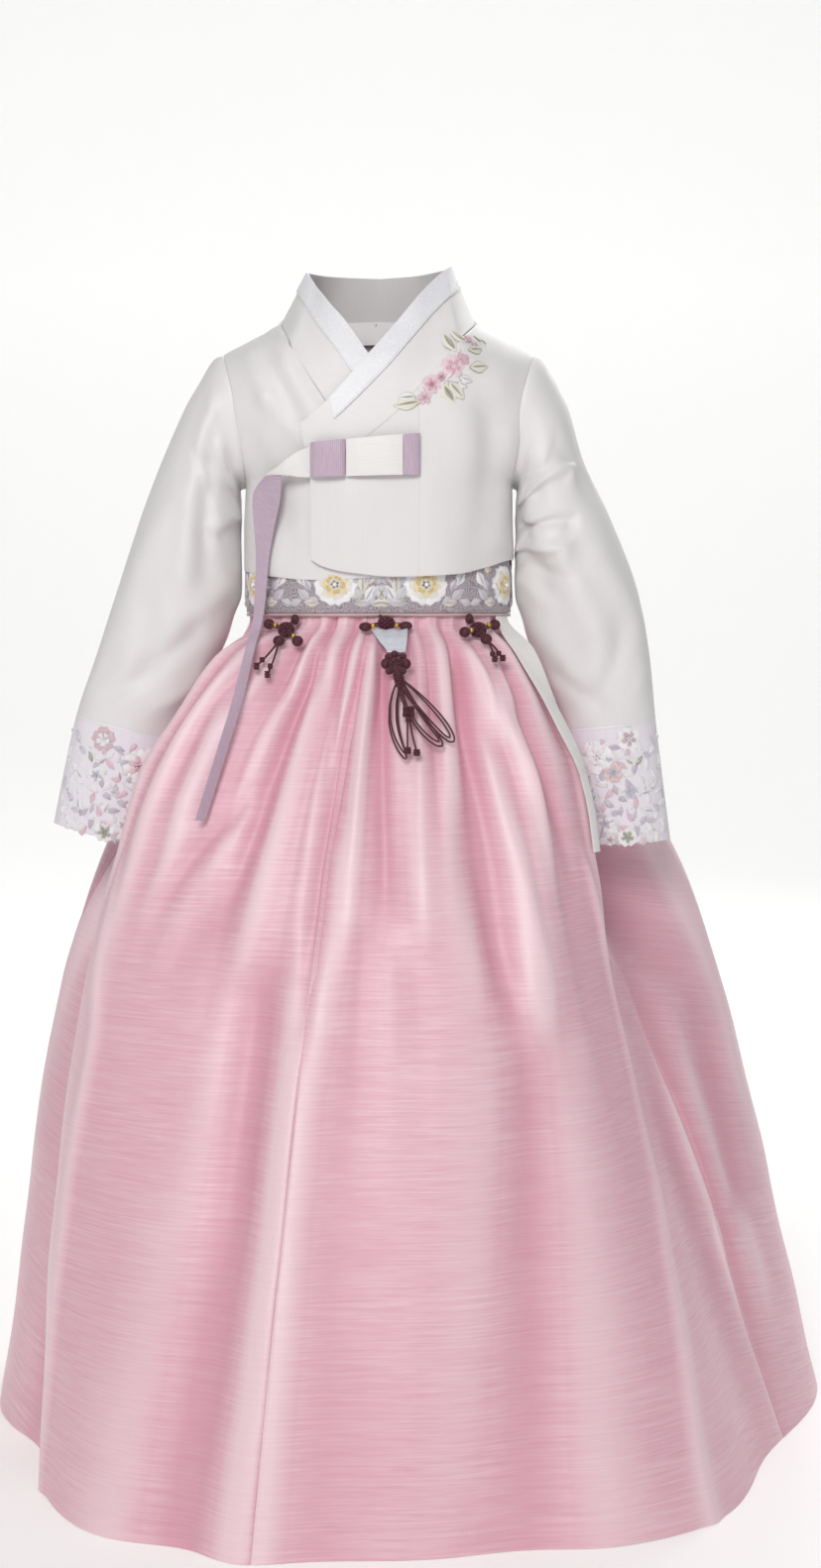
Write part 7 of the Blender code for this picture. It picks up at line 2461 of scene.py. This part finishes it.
def build_stitches():
    """Sewing that shows: the skirt's hem and seams, the belt's edges, the cuffs and the collar."""
    per_panel = 360 / len(PANELS)
    hem, seams = [], []
    for panel in range(len(PANELS)):
        hem.append(skirt_line(panel, [
            (aside, FLOOR + HEM_STITCHES) for aside in between(0.8, per_panel - 0.8, 90)]))
        seams.append(skirt_line(panel, [
            (SEAM_ASIDE, z) for z in between(SKIRT_TOP - 0.045, FLOOR + 0.005, 70)]))
    worn(stitched("skirt_stitches", hem + seams, finish("pink_thread")), "pink_slub_silk")
    rings = []
    for z in (BELT_TOP - 0.0022, BELT_BOTTOM + 0.0020):
        ring = waist_ring(z, BELT_DEPTH - 0.0003, 160)
        rings.append(ring + ring[:1])
    worn(stitched("belt_stitches", rings, finish("beige_thread")), "silver_brocade")
    lines = []
    for side in (1, -1):
        table, _ = sleeve_table(side)
        for step in (CUFF_START + 0.03, CUFF_END - 0.035):
            ring = []
            for part in steps(80):
                point = cuff_point(table, side, step, 360 * part)
                middle, back = (cuff_point(table, side, step, angle) for angle in (90, 270))
                middle = middle.lerp(back, 0.5)
                ring.append(point + (point - middle).normalized() * STITCH_RISE)
            lines.append(ring)
    worn(stitched("cuff_stitches", lines, finish("ivory_thread")), "cuff_satin")
    edge = [collar_rows(*end) for end in ((COLLAR_INNER, -1, STRIP_INNER_END),
                                          (COLLAR_OUTER, 1, STRIP_OUTER_END))]
    worn(stitched("collar_stitches", edge, finish("ivory_thread")), "white_silk")


def collar_rows(table, side, last):
    """The line of tacking just inside the collar strip's lower edge."""
    rows = [[collar_point(table, side, last * share, part) for share in steps(80)]
            for part in (STRIP_EDGE + 0.03, STRIP_EDGE + 0.06)]
    return raised(rows, 2 * SEAM_GAP + STRIP_WALL + STITCH_RISE)[0]


# ---------------------------------------------------------------- the stage
CAMERA_PLACE = (0.026, -2.0, -0.229)
CAMERA_TILT = 86.024       # degrees up from straight down
CAMERA_LENS = 55.98
SENSOR_WIDTH = 36.0
LIGHTS = (
    # name, place, aims at, width, height, watts, colour
    ("key", (-0.60, -3.1, 1.40), (0.0, 0.0, -0.25), 1.3, 1.3, 62.0, (1.0, 0.985, 0.97)),
    ("fill", (2.3, -2.1, 0.5), (0.0, 0.0, -0.45), 1.8, 2.2, 3.0, (0.97, 0.98, 1.0)),
    ("top", (0.0, -0.3, 2.2), (0.0, 0.0, -0.40), 2.0, 2.0, 9.0, (1.0, 1.0, 1.0)),
    ("back", (0.9, 2.4, 1.2), (0.0, 0.2, -0.30), 1.6, 1.6, 26.0, (1.0, 1.0, 1.0)))


FLOOR_REACH, FLOOR_BACK, FLOOR_BEND = 9.0, 5.0, 1.6
BACKDROP = 7.0             # height of the backdrop over the floor
FLOOR_DROP = 0.0006        # the floor lies this far under the hem
WORLD_STRENGTH = 0.26


def build_stage():
    """A pale floor that sweeps up behind, soft studio light, and the camera."""
    start = FLOOR_BACK - FLOOR_BEND
    profile = [(-FLOOR_REACH, FLOOR), (start, FLOOR)]
    profile += [(start + FLOOR_BEND * math.sin(a), FLOOR + FLOOR_BEND - FLOOR_BEND * math.cos(a))
                for a in (math.pi / 2 * part for part in steps(16)[1:])]
    profile.append((FLOOR_BACK, FLOOR + BACKDROP))
    vertices = [(x, y, z) for y, z in profile for x in (-FLOOR_REACH, FLOOR_REACH)]
    faces = [(2 * step, 2 * step + 1, 2 * step + 3, 2 * step + 2)
             for step in range(len(profile) - 1)]
    mesh = bpy.data.meshes.new("studio_floor")
    mesh.from_pydata(vertices, [], faces)
    mesh.materials.append(finish("studio_floor"))
    mesh.shade_smooth()
    floor = added("studio_floor", mesh)
    floor.location.z = -FLOOR_DROP
    for name, where, aim, width, height, watts, colour in LIGHTS:
        light = bpy.data.lights.new(name, "AREA")
        light.shape, light.size, light.size_y = "RECTANGLE", width, height
        light.energy, light.color = watts, colour
        lamp = added(name, light)
        lamp.location = where
        lamp.rotation_euler = (Vector(aim) - Vector(where)).to_track_quat("-Z", "Y").to_euler()
    world = bpy.data.worlds.new("studio_world")
    world.use_nodes = True
    background = world.node_tree.nodes["Background"]
    background.inputs["Color"].default_value = (1.0, 1.0, 1.0, 1.0)
    background.inputs["Strength"].default_value = WORLD_STRENGTH
    bpy.context.scene.world = world
    view = bpy.data.cameras.new("camera")
    view.lens, view.sensor_width = CAMERA_LENS, SENSOR_WIDTH
    camera = added("camera", view)
    camera.location = CAMERA_PLACE
    camera.rotation_euler = (math.radians(CAMERA_TILT), 0.0, 0.0)
    bpy.context.scene.camera = camera
    bpy.context.scene.view_settings.view_transform = "Standard"


# ---------------------------------------------------------------- operators
class HANBOK_OT_jacket(bpy.types.Operator):
    """Make the jacket's two body halves and its two overlap panels"""
    bl_idname = "hanbok.jacket"
    bl_label = "Jacket Body"

    def execute(self, context):
        build_jacket()
        return {"FINISHED"}


class HANBOK_OT_collar(bpy.types.Operator):
    """Make the collar band and its white strip"""
    bl_idname = "hanbok.collar"
    bl_label = "Collar"

    def execute(self, context):
        build_collar()
        return {"FINISHED"}


class HANBOK_OT_sleeves(bpy.types.Operator):
    """Make both sleeves and their cuffs"""
    bl_idname = "hanbok.sleeves"
    bl_label = "Sleeves and Cuffs"

    def execute(self, context):
        build_sleeves()
        return {"FINISHED"}


class HANBOK_OT_bow(bpy.types.Operator):
    """Make the jacket's ribbon tie, with its loop and its long end"""
    bl_idname = "hanbok.bow"
    bl_label = "Ribbon Tie"

    def execute(self, context):
        build_bow()
        build_tail()
        return {"FINISHED"}


class HANBOK_OT_skirt(bpy.types.Operator):
    """Make the skirt's four gathered panels and its chest band"""
    bl_idname = "hanbok.skirt"
    bl_label = "Skirt"

    def execute(self, context):
        build_chest_band()
        build_skirt()
        return {"FINISHED"}


class HANBOK_OT_belt(bpy.types.Operator):
    """Make the belt, its piping and the pale end of the skirt's tie"""
    bl_idname = "hanbok.belt"
    bl_label = "Belt"

    def execute(self, context):
        build_belt()
        build_skirt_tie()
        return {"FINISHED"}


class HANBOK_OT_ornaments(bpy.types.Operator):
    """Make the knotted cord ornaments, the jade plate and the tassel"""
    bl_idname = "hanbok.ornaments"
    bl_label = "Knot Ornaments"

    def execute(self, context):
        build_ornaments()
        return {"FINISHED"}


class HANBOK_OT_embroidery(bpy.types.Operator):
    """Embroider the chest, the cuffs, the belt, the collar and the skirt's tie"""
    bl_idname = "hanbok.embroidery"
    bl_label = "Embroidery"

    def execute(self, context):
        embroider_chest()
        embroider_cuffs()
        embroider_belt()
        embroider_collar_and_tie()
        return {"FINISHED"}


class HANBOK_OT_stitches(bpy.types.Operator):
    """Sew the stitches that show"""
    bl_idname = "hanbok.stitches"
    bl_label = "Stitches"

    def execute(self, context):
        build_stitches()
        return {"FINISHED"}


class HANBOK_OT_stage(bpy.types.Operator):
    """Set the floor, the lights and the camera"""
    bl_idname = "hanbok.stage"
    bl_label = "Stage"

    def execute(self, context):
        build_stage()
        return {"FINISHED"}


OPERATORS = (HANBOK_OT_jacket, HANBOK_OT_collar, HANBOK_OT_sleeves, HANBOK_OT_bow, HANBOK_OT_skirt,
             HANBOK_OT_belt, HANBOK_OT_ornaments, HANBOK_OT_embroidery, HANBOK_OT_stitches,
             HANBOK_OT_stage)


class HANBOK_PT_panel(bpy.types.Panel):
    """Lists the garment's sizes, colours and pieces"""
    bl_idname = "HANBOK_PT_panel"
    bl_label = "Korean Hanbok"
    bl_space_type = "VIEW_3D"
    bl_region_type = "UI"
    bl_category = "Hanbok"

    def draw(self, context):
        layout = self.layout
        for heading, group in (("Sizes", settings()), ("Colours", colours())):
            box = layout.box()
            box.label(text=heading)
            for name in group.__annotations__:
                box.prop(group, name)
        for operator in OPERATORS:
            layout.operator(operator.bl_idname)


CLASSES = (HanbokSizes, HanbokColours, *OPERATORS, HANBOK_PT_panel)


def register():
    for kind in CLASSES:
        bpy.utils.register_class(kind)
    bpy.types.Scene.hanbok_sizes = bpy.props.PointerProperty(type=HanbokSizes)
    bpy.types.Scene.hanbok_colours = bpy.props.PointerProperty(type=HanbokColours)


def unregister():
    del bpy.types.Scene.hanbok_colours
    del bpy.types.Scene.hanbok_sizes
    for kind in reversed(CLASSES):
        bpy.utils.unregister_class(kind)


def main():
    register()
    bpy.ops.hanbok.jacket()
    bpy.ops.hanbok.collar()
    bpy.ops.hanbok.sleeves()
    bpy.ops.hanbok.bow()
    bpy.ops.hanbok.skirt()
    bpy.ops.hanbok.belt()
    bpy.ops.hanbok.ornaments()
    bpy.ops.hanbok.embroidery()
    bpy.ops.hanbok.stitches()
    bpy.ops.hanbok.stage()


if __name__ == "__main__":
    main()
